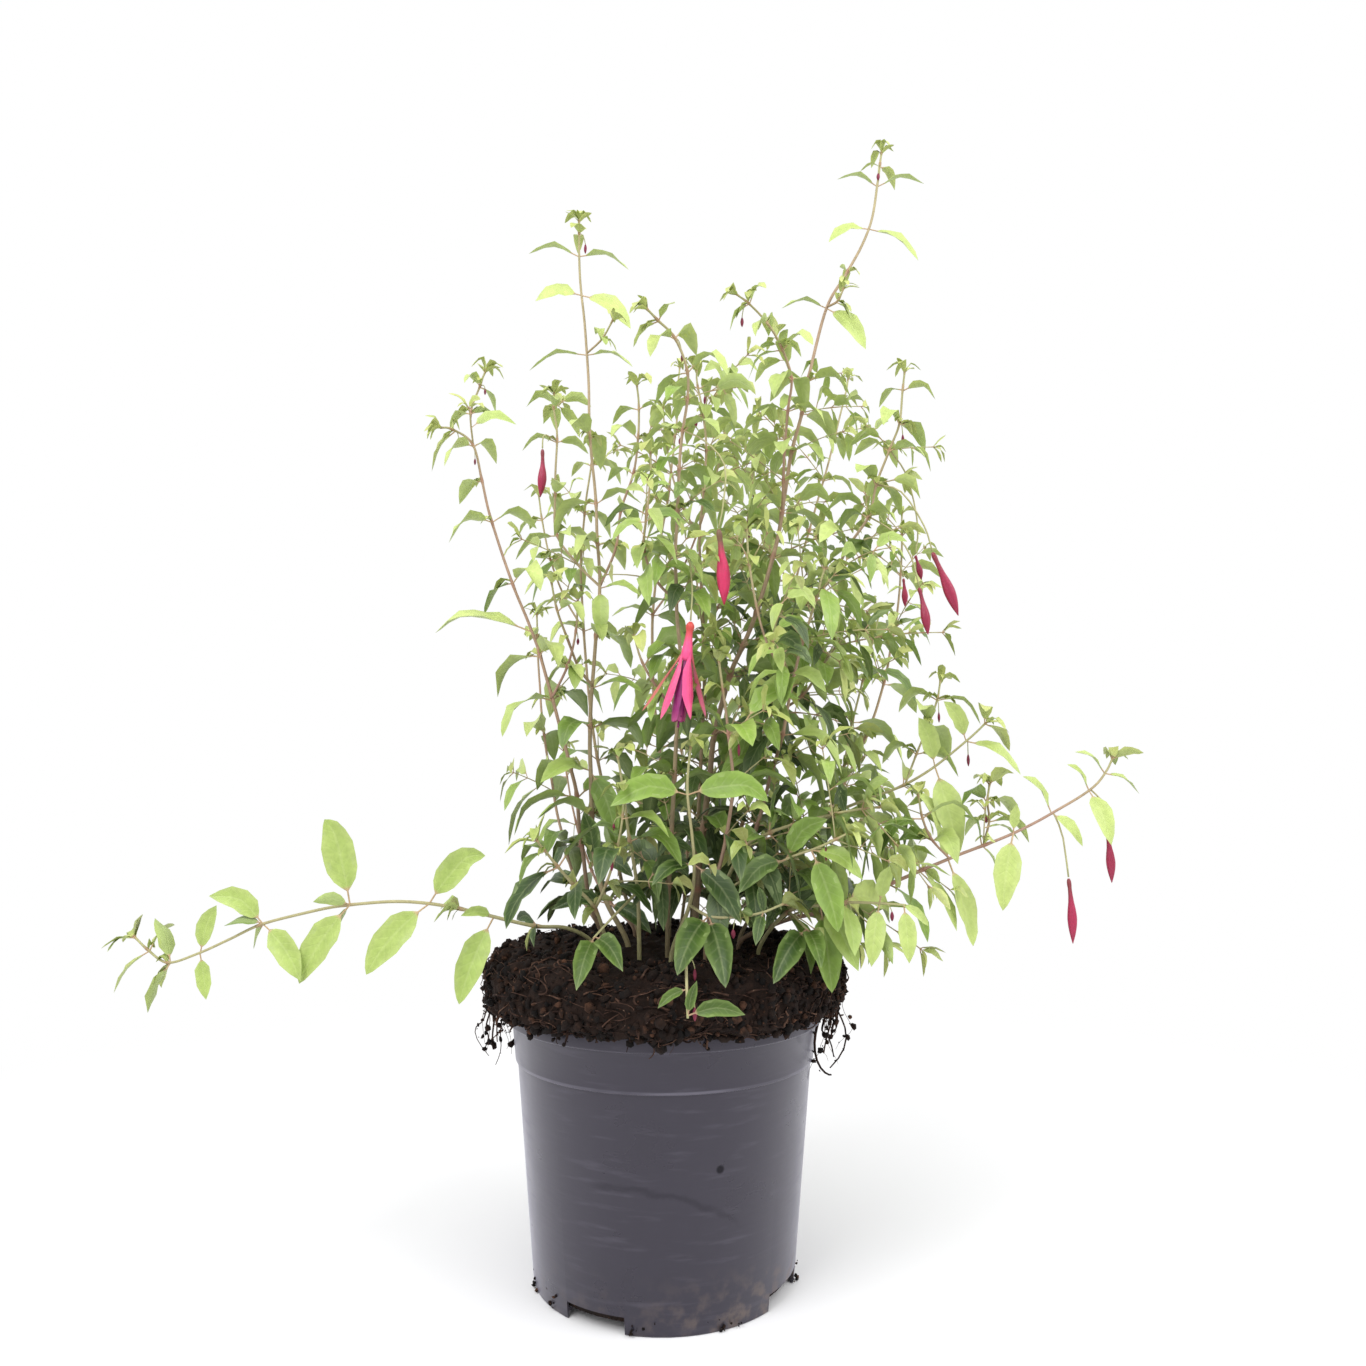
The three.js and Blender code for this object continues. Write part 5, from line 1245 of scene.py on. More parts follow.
    def build(self) -> None:
        """Makes the root ball, its crumbs and its roots."""
        random = np.random.default_rng(61)
        settle(self.body().build(PEAT.material()), "soil")
        strands = [self.hanging(bunch, random) for bunch in self.bunches]
        roots = Skin("root_fibres")
        for paths in (*strands, self.lying(random)):
            thickest = 0.55 if len(paths) == self.fibres else 0.95
            radii = 0.2 + thickest * random.uniform(0, 1, (len(paths), 1)) ** 2
            tone = np.zeros((len(paths), 1, 1, 3))
            tone[..., 0] = random.uniform(0, 0.72, (len(paths), 1, 1)) ** 2
            roots.add_tubes(paths, radii * np.linspace(1, 0.45, paths.shape[1]), 4, tone)
        settle(roots.build(ROOT.material()), "soil")
        turn = random.uniform(0, 2 * np.pi, self.crumbs)
        share = random.uniform(0, 1, self.crumbs) ** 1.1 * 0.8
        places, normal = self.surface(turn, share)
        sizes = 0.7 + 2.8 * random.uniform(0, 1, self.crumbs) ** 2.6
        knots, girths = [places + normal * 0.4 * sizes[:, None]], [sizes]
        for paths in strands:
            picked = paths[random.integers(0, len(paths), self.knobs), random.integers(1, 13, self.knobs)]
            knots.append(picked + random.normal(0, 0.7, picked.shape))
            girths.append(0.5 + 2.2 * random.uniform(0, 1, self.knobs) ** 2)
        knots.append(self.at_foot(random))
        girths.append(random.uniform(0.4, 1.3, len(knots[-1])))
        crumbs = self.crumb_skin(np.concatenate(knots), np.concatenate(girths), random)
        settle(crumbs.build(PEAT.material()), "soil")


# ---------------------------------------------------------------- blades
@dataclass(frozen=True)
class BladeForm:
    """How the thin surface of a leaf, a sepal or a petal runs from its root to its tip.

    With b counted from the end of the stalk to the tip, the half width is the full half width
    times (b / peak)^swell · ((1 - b) / (1 - peak))^taper, which is 1 at the peak.
    """

    places: tuple[float, ...]  # rings, as shares of the whole length
    stalk: float  # share of the length that is stalk
    swell: float
    taper: float
    around: int  # points in a ring: 4 or 8
    stalk_radius: float = 0.5
    thickness: float = 0.17  # half of it

    def outline(self, b: Array) -> Array:
        """Half width at b, as a share of the full half width.

        Args:
            b: Places along the blade.

        Returns:
            The shares.
        """
        peak = self.swell / (self.swell + self.taper)
        held = np.clip(b, 0, 1)
        return (held / peak) ** self.swell * ((1 - held) / (1 - peak)) ** self.taper

    def ring(self) -> tuple[Array, Array]:
        """Across and off-face shares of a ring's points, over the top face first."""
        angle = circle(self.around)
        wide, far = np.sign(np.sin(angle)), np.abs(np.sin(angle))
        wide = wide * np.where(far > 0.9, 1, np.where(far < 0.1, 0, 0.55))
        return wide, np.where(np.abs(wide) == 1, 0, np.sign(np.cos(angle)) * (1 - 0.25 * np.abs(wide)))


LARGE_FORM = BladeForm((0, 0.15, 0.19, 0.27, 0.38, 0.5, 0.62, 0.74, 0.85, 0.94), 0.17, 0.58, 0.84, 8)
SMALL_FORM = BladeForm((0, 0.14, 0.21, 0.34, 0.5, 0.68, 0.85), 0.16, 0.6, 0.9, 8, 0.4, 0.15)
TWIG_FORM = BladeForm((0, 0.14, 0.24, 0.42, 0.62, 0.83), 0.16, 0.62, 0.95, 4, 0.33, 0.14)
TINY_FORM = BladeForm((0, 0.18, 0.42, 0.66, 0.86), 0.03, 0.7, 0.85, 4, 0.3, 0.14)
SEPAL_FORM = BladeForm((0, 0.1, 0.18, 0.28, 0.4, 0.52, 0.64, 0.76, 0.87, 0.95), 0.05, 0.9, 0.9, 8, 1.2, 0.35)
PETAL_FORM = BladeForm((0, 0.08, 0.2, 0.35, 0.5, 0.65, 0.8, 0.9, 0.97), 0.02, 0.62, 0.3, 8, 0.8, 0.2)


@dataclass(frozen=True)
class BladeBatch:
    """Blades of one form, each with its course, its width and its own waves."""

    form: BladeForm
    centres: Array  # (blades, stations, 3), from the root to the tip
    sides: Array  # (blades, stations, 3)
    starts: Array  # share of the length at each station
    half: Array  # half of the full width
    fold: Array  # how far the edges stand over the midrib, as a share of the half width
    wave: Array
    twist: Array
    phase: Array

    def grid(self) -> tuple[Array, Array, Array]:
        """Ring points, tips, and the across and along values of the ring points.

        A ring point is centre + side · across · width + normal · (off-face · thickness + lift).
        The lift is fold · |across|^1.4 plus a wave along the edge, both times the width.

        Returns:
            Ring points (blades, rings, around, 3), tips (blades, 3) and blade values like the
            ring points.
        """
        form = self.form
        places = np.array(form.places)
        b = (places - form.stalk) / (1 - form.stalk)
        at = np.interp(places, self.starts, np.arange(len(self.starts)))
        centre = smooth_path(self.centres, at)
        along = unit(smooth_path(self.centres, at + 0.02) - smooth_path(self.centres, at - 0.02))
        side = smooth_path(self.sides, at)
        side = unit(side - dots(side, along) * along)
        normal = np.cross(side, along)
        turn = (self.twist[:, None] * np.clip(b, 0, 1) ** 2)[..., None]
        cos, sin = np.cos(turn), np.sin(turn)
        side, normal = side * cos + normal * sin, normal * cos - side * sin
        spread = self.half[:, None] * form.outline(b)
        spread = spread * (1 + 0.04 * np.sin(19 * b + 5 * self.phase[:, None]))
        width = np.maximum(spread, form.stalk_radius * (b < 0.04))
        thick = form.thickness + (form.stalk_radius - form.thickness) * (1 - smooth_step(-0.02, 0.16, b))
        wide, off = form.ring()
        beat = np.sin(2 * np.pi * 2.3 * b[:, None] + self.phase[:, None, None] + 1.3 * np.sign(wide))
        lift = (self.fold[:, None, None] * np.abs(wide) ** 1.4 + self.wave[:, None, None] * beat * wide ** 2)
        height = off * thick[:, None] + lift * spread[..., None]
        grid = (centre[:, :, None] + side[:, :, None] * (wide * width[..., None])[..., None]
                + normal[:, :, None] * height[..., None])
        blade = np.zeros(grid.shape)
        blade[..., 0], blade[..., 1] = wide, b[:, None]
        blade[..., 2] = (self.phase[:, None, None] / (2 * np.pi)) % 1
        return grid, self.centres[:, -1], blade


# ---------------------------------------------------------------- leaves
@dataclass(frozen=True)
class LeafRule:
    """The measures that every leaf grows by, which are those of the solid leaves."""

    least: float = 30  # the solids hold leaf pairs from this length on
    large: float = 44
    tiny: float = 18
    tiny_on_twig: float = 13
    width: float = 0.38
    low_growth: float = 0.3
    low_height: float = 300
    top_height: float = 520
    rise: float = 0.4
    droop: float = 0.85
    clearance: float = 5
    bloom_clearance: float = 8
    tries: int = 14

    def growth(self, height: float) -> float:
        """How much longer than in its course a leaf grows at that height."""
        share = (self.top_height - height) / (self.top_height - self.low_height)
        return 1 + self.low_growth * min(max(share, 0.0), 1.0)


RULE = LeafRule()


@dataclass(frozen=True)
class Step:
    """A step along a leaf: share of its length, half width and the sag of the next stretch."""

    reach: float
    half: float
    sag: float


SMALL_STEPS = (Step(0.16, 0.1, 0.35), Step(0.38, 1, 1.1), Step(0.46, 0, 0))


class LeafSize(Enum):
    """The sizes of leaf, each with its steps and its blade's form."""

    LARGE = ((Step(0.17, 0.1, 0.3), Step(0.27, 1, 0.55), Step(0.3, 0.86, 0.8), Step(0.26, 0, 0)), LARGE_FORM)
    SMALL = (SMALL_STEPS, SMALL_FORM)
    TWIG = (SMALL_STEPS, TWIG_FORM)
    TINY = ((Step(0.45, 0.9, 0.8), Step(0.55, 0, 0)), TINY_FORM)

    def __init__(self, steps: tuple[Step, ...], form: BladeForm) -> None:
        """Names the two parts of the value."""
        self.steps, self.form = steps, form


@dataclass
class Leaf:
    """One leaf: where it grows, which way it heads and how it arches."""

    root: Array
    heading: Array
    face: Array
    length: float
    width: float
    droop: float
    roll: float = 0.0
    light: float = 0.6
    youth: float = 0.0
    chance: float = 0.5
    on_twig: bool = False

    @property
    def size(self) -> LeafSize:
        """Which of the sizes the leaf is."""
        if self.length < (RULE.tiny_on_twig if self.on_twig else RULE.tiny):
            return LeafSize.TINY
        if self.on_twig:
            return LeafSize.TWIG
        return LeafSize.SMALL if self.length < RULE.large else LeafSize.LARGE

    def course(self) -> tuple[Array, Array]:
        """The leaf's line: each step keeps the present direction, which then sags to the ground.

        Returns:
            Places and side directions from the root to the tip, each of shape (steps + 1, 3).
        """
        direction = self.heading
        side = unit(np.cross(direction, self.face))
        side = side * math.cos(self.roll) + unit(np.cross(side, direction)) * math.sin(self.roll)
        places, sides = [self.root], [side]
        for step in self.size.steps:
            places.append(places[-1] + direction * (step.reach * self.length))
            sides.append(side)
            direction = unit(direction - UP * (step.sag * self.droop))
            side = unit(side - direction * float(side @ direction))
        return np.array(places), np.array(sides)

    def samples(self) -> Array:
        """Points spread over the leaf, for keeping pieces apart."""
        places, sides = self.course()
        halves = np.array([0.5 * step.half * self.width for step in self.size.steps])[:, None, None]
        shares = (np.arange(3) / 3)[:, None]
        middle = places[1:-1, None] + (places[2:] - places[1:-1])[:, None] * shares
        half = halves[:-1] + (halves[1:] - halves[:-1]) * shares
        shift = np.linspace(-1, 1, 5)[:, None] * half[..., None]
        spread = middle[:, :, None] + sides[1:-1, None, None] * shift
        stalk = places[1:2] + 0.3 * (places[:1] - places[1:2])
        return np.concatenate([stalk, spread.reshape(-1, 3), places[-1:]])


def laid_out(leaves: Sequence[Leaf]) -> tuple[Array, Array, Array]:
    """The places and sides of leaves of one size, and their stations' shares of the length."""
    places, sides = (np.array(part) for part in zip(*(leaf.course() for leaf in leaves)))
    return places, sides, np.cumsum([0, *(step.reach for step in leaves[0].size.steps)])


class Room:
    """The points already taken, each with its owner's number and the room that it needs."""

    reach = 70.0
    crown = 188.0
    shoulder = 102.0
    bulge = 109.0
    roughness = 3.6
    fall = 14.0
    beside = 170.0  # up to this height leaves keep beside the peat and the pot
    most = 80000

    def __init__(self) -> None:
        """An empty room."""
        self.points, self.rooms = np.zeros((self.most, 3)), np.zeros(self.most)
        self.owners, self.count = np.zeros(self.most, int), 0

    def take(self, owner: int, points: Array, room: float) -> None:
        """Takes points for an owner.

        Args:
            owner: Number of the plant or bloom.
            points: What it takes.
            room: How far others stay away.
        """
        new = slice(self.count, self.count + len(points))
        self.points[new], self.owners[new], self.rooms[new] = points, owner, room
        self.count = new.stop

    @classmethod
    def is_over_peat(cls, points: Array) -> bool:
        """Whether all points are clear of the pot, the ground and the peat, which falls off outwards.

        Args:
            points: Places in millimetres.

        Returns:
            True if every point is clear.
        """
        radius, height = np.hypot(points[:, 0], points[:, 1]), points[:, 2]
        spread = np.maximum(0, radius - cls.shoulder) / (cls.bulge - cls.shoulder)
        top = cls.crown + cls.roughness - cls.fall * spread ** 2
        top = np.where(radius > cls.bulge + cls.roughness, 0, top)
        beside = (radius > cls.bulge + RULE.clearance) | (height > cls.beside)
        return bool((beside & (height > top + RULE.clearance / 2) & (height > RULE.clearance)).all())

    def is_clear(self, owner: int, points: Array) -> bool:
        """Whether points of an owner keep clear of every other owner, the peat and the ground.

        Args:
            owner: Its number.
            points: Places in millimetres.

        Returns:
            True if every point is clear.
        """
        if not self.is_over_peat(points):
            return False
        taken = self.points[:self.count]
        near = np.linalg.norm(taken - points[len(points) // 2], axis=1) < self.reach
        near &= self.owners[:self.count] != owner
        gaps = np.linalg.norm(points[:, None] - taken[near][None], axis=-1)
        return bool((gaps > self.rooms[:self.count][near]).all())


class Thicket:
    """Small cells of space, free or taken, that let the smaller leaves grow into the gaps."""

    cell = 2.8
    margin = 11.0  # how far outside the solids' box a leaf may reach

    def __init__(self) -> None:
        """Free cells in and round the solids' box."""
        self.low = np.array(CAD_BOX[0]) / METRE - self.margin
        self.high = np.array(CAD_BOX[1]) / METRE + self.margin
        self.taken = np.zeros(np.ceil((self.high - self.low) / self.cell).astype(int) + 1, bool)

    def cells(self, points: Array) -> tuple[Array, ...]:
        """The cell numbers of points that lie in the box."""
        held = np.clip(points.reshape(-1, 3), self.low, self.high)
        return tuple(((held - self.low) / self.cell).astype(int).T)

    def take(self, points: Array) -> None:
        """Takes the cells of points."""
        self.taken[self.cells(points)] = True

    def is_free(self, points: Array) -> bool:
        """Whether the points lie in free cells, in the box and over the peat."""
        inside = ((points > self.low) & (points < self.high)).all()
        return bool(inside) and Room.is_over_peat(points) and not self.taken[self.cells(points)].any()

    def keep_sight(self, points: Array, eye: Array, half: float) -> None:
        """Takes the cells between points and the eye, so that nothing small hides what is there.

        Args:
            points: The points.
            eye: Where they are seen from.
            half: How far to both sides of each line of sight.
        """
        steps = np.arange(0, 150, self.cell)
        shift = np.arange(-half, half + 0.1, self.cell * 0.9)
        right, up = np.meshgrid(shift, shift)
        around = np.stack([right, np.zeros_like(right), up], axis=-1).reshape(-1, 3)
        way = unit(eye - points)
        self.take(points[:, None, None] + way[:, None, None] * steps[:, None, None] + around)


# ---------------------------------------------------------------- shoots
def seen(course: Sequence[Sequence[float]]) -> Array:
    """Places of rows of across, up and depth, carried along their lines of sight to that depth.

    Args:
        course: The rows.

    Returns:
        Places in millimetres, shape (rows, 3).
    """
    sight_across, sight_distance, sight_up = 11.0, 629.0, 284.0
    right, up, depth = np.array([row[:3] for row in course], float).T
    reach = (sight_distance + depth) / sight_distance
    return np.stack([sight_across + (right - sight_across) * reach, depth,
                     sight_up + (up - sight_up) * reach], axis=-1)


@dataclass
class Line:
    """A stem, a branch, a twig or a stalk: its points, its leaf lengths and its radii."""

    points: Array
    leaves: Array
    radii: Array
    turn: float = 0.0
    twist: float = 0.0
    age: tuple[float, float] = (0.0, 1.0)
    skip: int = 1
    placed: tuple[tuple[float, ...], ...] = ()

    def direction(self, index: int) -> Array:
        """The direction of the line at one of its points."""
        before, after = max(0, index - 1), min(len(self.points) - 1, index + 1)
        return unit(self.points[after] - self.points[before])

    def samples(self) -> Array:
        """Points every few millimetres along the line."""
        parts = []
        for a, b in itertools.pairwise(self.points):
            steps = math.ceil(np.linalg.norm(b - a) / 5)
            parts.append(a + (b - a) * (np.arange(steps) / steps)[:, None])
        return np.concatenate([*parts, self.points[-1:]])

    def placed_leaf(self, row: Sequence[float], trial: int) -> Leaf:
        """A leaf whose tip lies where it is seen.

        The blade sags, so its heading is raised step by step until the tip gets there.

        Args:
            row: Point, across, up, depth and, if given, the angle that the face is raised to.
            trial: Number of the try: later ones bring the tip nearer to the front.

        Returns:
            The leaf.
        """
        index = int(row[0]) + self.skip
        root = self.points[index] - self.direction(index) * 1.2
        tip = seen([(row[1], row[2], row[3] - 3 * trial)])[0]
        length = 1.04 * float(np.linalg.norm(tip - root))
        raised = math.radians(row[4] if len(row) > 4 else 60)
        face = np.array([0, -math.sin(raised), math.cos(raised)])
        leaf = Leaf(root, unit(tip - root), face, length, length * RULE.width, RULE.droop / 2)
        aim = tip
        for _ in range(5):
            leaf.heading = unit(aim - root)
            aim = aim + tip - leaf.course()[0][-1]
        return leaf


class Plant:
    """One shoot as it has grown: its lines and its leaves."""

    peat_top = 188.0
    foot_depth = 14.0
    branch_radius = 1.2
    twig_radius = 0.7

    def __init__(self, shoot: Shoot) -> None:
        """Reads the lines off the shoot's courses.

        Args:
            shoot: The shoot's measurements.
        """
        self.shoot = shoot
        self.leaves: list[Leaf] = []
        self.twigs: list[Line] = []
        foot = [[*shoot.foot, self.peat_top - self.foot_depth], [*shoot.foot, self.peat_top + 4]]
        points = np.concatenate([foot, seen(shoot.course)])
        count = len(points)
        share = np.maximum(0, np.arange(count) - 1) / (count - 2)
        radii = shoot.base + (shoot.tip - shoot.base) * share ** 0.8
        leaves = np.array([0, 0, *(row[3] for row in shoot.course)], float)
        self.leafy = [Line(points, leaves, radii, shoot.turn, shoot.twist, skip=2, placed=shoot.placed)]
        for branch in shoot.branches:
            start = branch.start + len(foot)
            points = np.concatenate([self.leafy[0].points[start:start + 1], seen(branch.course)])
            thin = np.linspace(min(self.branch_radius, 0.8 * radii[start]), self.twig_radius, len(points))
            leaves = np.array([0, *(row[3] for row in branch.course)], float)
            age = (0.35 + 0.4 * start / count, 1.0)
            self.leafy.append(Line(points, leaves, thin, branch.turn, branch.twist, age, placed=branch.placed))
        self.stalks = [self.stalk_line(stalk) for stalk in shoot.stalks]

    def stalk_line(self, stalk: Stalk) -> Line:
        """The line of a flower stalk.

        Args:
            stalk: Its measurements.

        Returns:
            The line, bare of leaves.
        """
        line = self.leafy[0 if stalk.branch is None else 1 + stalk.branch]
        points = np.concatenate([line.points[stalk.start + line.skip][None], seen(stalk.course)])
        return Line(points, np.zeros(len(points)), np.full(len(points), self.twig_radius), age=(0.8, 1.0))

    def stalk_end(self, stalk: int) -> Array:
        """Where what hangs from a stalk begins."""
        return self.stalks[stalk].points[-1] - UP * 0.8


@dataclass(frozen=True)
class Axil:
    """A point of a plant's line where leaves grow, and the whole numbers that its draws go by."""

    plant: Plant
    line: Line
    index: int
    keys: tuple[int, ...]  # the last one turns what grows by as many half turns

    @property
    def spot(self) -> Array:
        """The place of the point."""
        return self.line.points[self.index]

    def draw(self, *more: int) -> float:
        """One of the point's own draws."""
        return draw(*self.keys, *more)

    def child(self, *more: int) -> "Axil":
        """The same point with more numbers."""
        return replace(self, keys=(*self.keys, *more))

    def outward(self, swing: float) -> tuple[Array, Array]:
        """The line's direction, and the direction out of it, swung by some degrees.

        Args:
            swing: How many degrees the second one is swung by.

        Returns:
            The two directions.
        """
        stem = self.line.direction(self.index)
        away, side = across(stem)
        turn = math.radians(self.line.turn + self.line.twist * self.index + 180 * self.keys[-1] + swing)
        return stem, side * math.cos(turn) + away * math.sin(turn)

    def leaf(self, trial: int, on_twig: bool = False) -> Leaf:
        """One leaf of a pair, as one of the tries to find it a clear place.

        Args:
            trial: Number of the try: later ones swing further.
            on_twig: Whether it is one of the plainer, slimmer leaves of a twig.

        Returns:
            The leaf.
        """
        given = float(self.line.leaves[self.index])
        is_tiny = given < RULE.tiny
        stem, out = self.outward((2 * self.draw(trial, 1) - 1) * (12 + 6 * trial))
        rise = RULE.rise * (0.7 + 0.6 * self.draw(trial, 2)) + (0.5 if is_tiny else 0)
        length = (1 if trial < 8 else 0.8) * given * RULE.growth(self.spot[2])
        length *= 0.9 + 0.2 * self.draw(trial, 3)
        width = length * RULE.width * (0.92 + 0.16 * self.draw(trial, 4)) * (0.88 if on_twig else 1)
        return Leaf(
            self.spot - stem * 1.2, unit(out + stem * rise), unit(stem + 0.4 * UP), length, width,
            droop=RULE.droop * (0.6 + 0.8 * self.draw(trial, 5)) * (0.5 if is_tiny else 1),
            roll=math.radians(50 * (self.draw(trial, 6) - 0.5)),
            youth=0.8 * float(smooth_step(0.8, 1.0, self.index / (len(self.line.leaves) - 1))),
            chance=self.draw(trial, 7), on_twig=on_twig)

    def add_tuft(self, count: int, lean: float) -> None:
        """Adds some tiny leaves that lean towards the line's tip.

        Args:
            count: How many.
            lean: How far they lean: from 1 on they stand all round the line.
        """
        for k in range(count):
            stem, out = self.outward(80 * (self.draw(k, 2) - 0.5) + (0 if lean < 1 else 45 + 360 * k / count))
            length = (6.5 if count < 4 else 9) + 9 * self.draw(k, 4)
            self.plant.leaves.append(Leaf(
                self.spot + stem * (0.8 * k / count) + out * 0.3,
                unit(out + stem * lean * (0.5 + self.draw(k, 3))), unit(stem + 0.3 * UP + 0.2 * out),
                length, length * (0.36 + 0.12 * self.draw(k, 5)), droop=1.0 + 0.8 * self.draw(k, 6),
                roll=math.radians(70 * (self.draw(k, 7) - 0.5)), youth=0.35 + 0.5 * self.draw(k, 8),
                chance=self.draw(k, 9)))


class Bush:
    """All shoots with their leaves, grown by the seeded rule that placed the solid ones."""

    pale = {"shoot_trailing_left", "shoot_front_small", "shoot_low_right", "shoot_rim_sprout",
            "shoot_front_left", "shoot_mid_right", "shoot_low_far_right", "shoot_low_left"}
    bare = {"shoot_trailing_left", "shoot_rim_sprout", "shoot_front_small"}  # without twigs
    outstanding = {"shoot_tall_left", "shoot_far_left", "shoot_tall_right"}

    def __init__(self, shoots: Sequence[Shoot], buds: Sequence[Bloom], eye: Spot) -> None:
        """Lays out the lines, keeps room for the blooms and grows the leaves.

        Args:
            shoots: The shoots' measurements.
            buds: The closed buds, which leaves keep clear of.
            eye: Where the blooms are seen from.
        """
        self.plants = [Plant(shoot) for shoot in shoots]
        self.by_name = {plant.shoot.name: plant for plant in self.plants}
        self.eye, self.room, self.thicket = np.array(eye), Room(), Thicket()
        for owner, plant in enumerate(self.plants):
            for line in (*plant.leafy, *plant.stalks):
                self.room.take(owner, line.samples(), RULE.clearance)
                self.thicket.take(line.samples())
        self.keep_for_blooms(buds)
        for owner, plant in enumerate(self.plants):
            for line, row in ((line, row) for line in plant.leafy for row in line.placed):
                self.grow(plant, (line.placed_leaf(row, trial) for trial in range(RULE.tries)), owner)
        self.grow_pairs(True)
        self.keep_stems_in_sight()
        self.grow_pairs(False)
        self.grow_twigs()
        self.grow_tufts()
        self.light_leaves()

    def keep_for_blooms(self, buds: Sequence[Bloom]) -> None:
        """Takes the room of the buds and of the open flower, and keeps them in sight.

        Args:
            buds: The closed buds.
        """
        shares = np.array([0, 0.15, 0.3, 0.45, 0.6, 0.75, 0.9, 1])[:, None]
        for i, bud in enumerate(buds):
            top, tip = ClosedBud(bud, self).axis()
            points = top + (tip - top) * shares
            self.room.take(len(self.plants) + i, points, RULE.bloom_clearance)
            self.thicket.keep_sight(points, self.eye, 5)
        flower = OpenFlower(self)
        for drop in range(0, 65, 6):
            spread = 0 if drop < flower.ovary_length + flower.tube_length else flower.corolla_radius
            points = flower.at(drop) + spread * level(np.radians([0, 90, 180, 270]))
            self.room.take(len(self.plants) + len(buds), points, RULE.bloom_clearance)
            self.thicket.keep_sight(points, self.eye, 6)

    def keep_stems_in_sight(self) -> None:
        """Keeps the smaller leaves away from in front of the stems and leaves that stand out."""
        for plant in self.plants:
            if plant.shoot.name in self.outstanding:
                self.thicket.keep_sight(plant.leafy[0].samples(), self.eye, 2.5)
            for leaf in plant.leaves:
                x, y, z = leaf.root
                if x < -5 or y < -60 or z > 480:
                    self.thicket.keep_sight(leaf.samples(), self.eye, 0)

    def grow(self, plant: Plant, tries: Iterable[Leaf], owner: int | None = None) -> None:
        """Grows the first of the tried leaves that has a clear place.

        Args:
            plant: The plant that it belongs to.
            tries: The leaf as each try has it.
            owner: The plant's number if the solids hold the leaf, or None if it needs free cells.
        """
        for leaf in tries:
            samples = leaf.samples()
            if self.thicket.is_free(samples[1:]) if owner is None else self.room.is_clear(owner, samples):
                plant.leaves.append(leaf)
                self.thicket.take(samples)
                if owner is not None:
                    self.room.take(owner, samples, RULE.clearance)
                return

    def axils(self) -> Iterable[tuple[Axil, bool]]:
        """Every leafy point, and whether the solids hold its leaves."""
        for owner, plant in enumerate(self.plants):
            for row, line in enumerate(plant.leafy):
                for index, leaf in enumerate(line.leaves):
                    is_tip = row == 0 and index == len(line.leaves) - 1
                    if leaf > 0:
                        yield Axil(plant, line, index, (owner, row, index)), bool(leaf >= RULE.least or is_tip)

    def grow_pairs(self, large: bool) -> None:
        """Grows the leaf pairs that the solids hold, if large, or the smaller ones."""
        for axil, is_solid in self.axils():
            for sideways in (0, 1) if is_solid is large else ():
                tries = map(axil.child(sideways).leaf, range(RULE.tries))
                self.grow(axil.plant, tries, axil.keys[0] if large else None)

    @staticmethod
    def fullness(spot: Array) -> float:
        """The chance of a twig there: high in the core and the right half, low at the left and on top.

        Args:
            spot: A place in millimetres.

        Returns:
            The chance, which may be over 1.
        """
        x, y, z = spot
        core = smooth_step(-16, 24, x) * smooth_step(150, 95, x + 14 * smooth_step(320, 290, z))
        upper_right = smooth_step(60, 90, x) * smooth_step(200, 165, x) * smooth_step(320, 380, z)
        behind = 0.3 * smooth_step(0, 30, y) * smooth_step(110, 80, x)
        low_left = smooth_step(280, 240, z) * smooth_step(-20, -45, x)
        top_right = smooth_step(140, 158, x) * smooth_step(480, 510, z)
        crown = smooth_step(400, 440, z)
        share = 0.12 + (0.82 + behind) * np.maximum(core, 0.72 * upper_right)
        share = share * (1 - 0.4 * crown * smooth_step(62, 40, x))
        share = share + 0.3 * crown * smooth_step(-80, -60, x) * smooth_step(-10, -25, x)
        return float(share * (1 - low_left) * (1 - top_right) * smooth_step(600, 510, z)
                     * smooth_step(-135, -100, x))

    def grow_twigs(self) -> None:
        """Grows short side shoots in the leaf axils, each with small leaf pairs along it."""
        for owner, plant in enumerate(self.plants):
            for row, line in enumerate(() if plant.shoot.name in self.bare else plant.leafy):
                for index, sideways in itertools.product(range(line.skip, len(line.points) - 1), (0, 1)):
                    axil = Axil(plant, line, index, (owner, row, index, 61, sideways))
                    if axil.draw(0) < self.fullness(axil.spot):
                        self.add_twig(axil)

    def add_twig(self, axil: Axil) -> None:
        """Adds a twig where its course is free.

        It leaves the stem between the stem's direction and straight out, and sags with the square
        of the way along it.

        Args:
            axil: Where it grows.
        """
        count = 2 + int(3.6 * axil.draw(1))
        along = (10 + 6 * axil.draw(2)) * np.arange(count + 1)[:, None]
        for trial in range(3):
            stem, out = axil.outward((70 + 60 * trial) * (axil.draw(3, trial) - 0.5))
            heading = unit(out + stem * (0.3 + 0.7 * axil.draw(4, trial)) + 0.2 * UP)
            points = axil.spot + heading * along - UP * (along / 45) ** 2 * (2 + 8 * axil.draw(5, trial))
            twig = Line(points, np.zeros(count + 1), np.linspace(0.6, 0.38, count + 1),
                        360 * axil.draw(6), 90, (0.75, 1.0))
            if self.thicket.is_free(twig.samples()[2:]):
                break
        else:
            return
        longest = (23 + 13 * axil.draw(7)) * (1 - 0.28 * float(smooth_step(90, 140, axil.spot[0])))
        twig.leaves[1:] = longest * np.linspace(1, 0.55, count)
        axil.plant.twigs.append(twig)
        self.thicket.take(twig.samples())
        for node, sideways in itertools.product(range(1, count + 1), (0, 1)):
            own = Axil(axil.plant, twig, node, (*axil.keys, node, sideways))
            self.grow(axil.plant, (own.leaf(trial, True) for trial in range(5)))
        Axil(axil.plant, twig, count, (*axil.keys, 79)).add_tuft(2, 1.2)

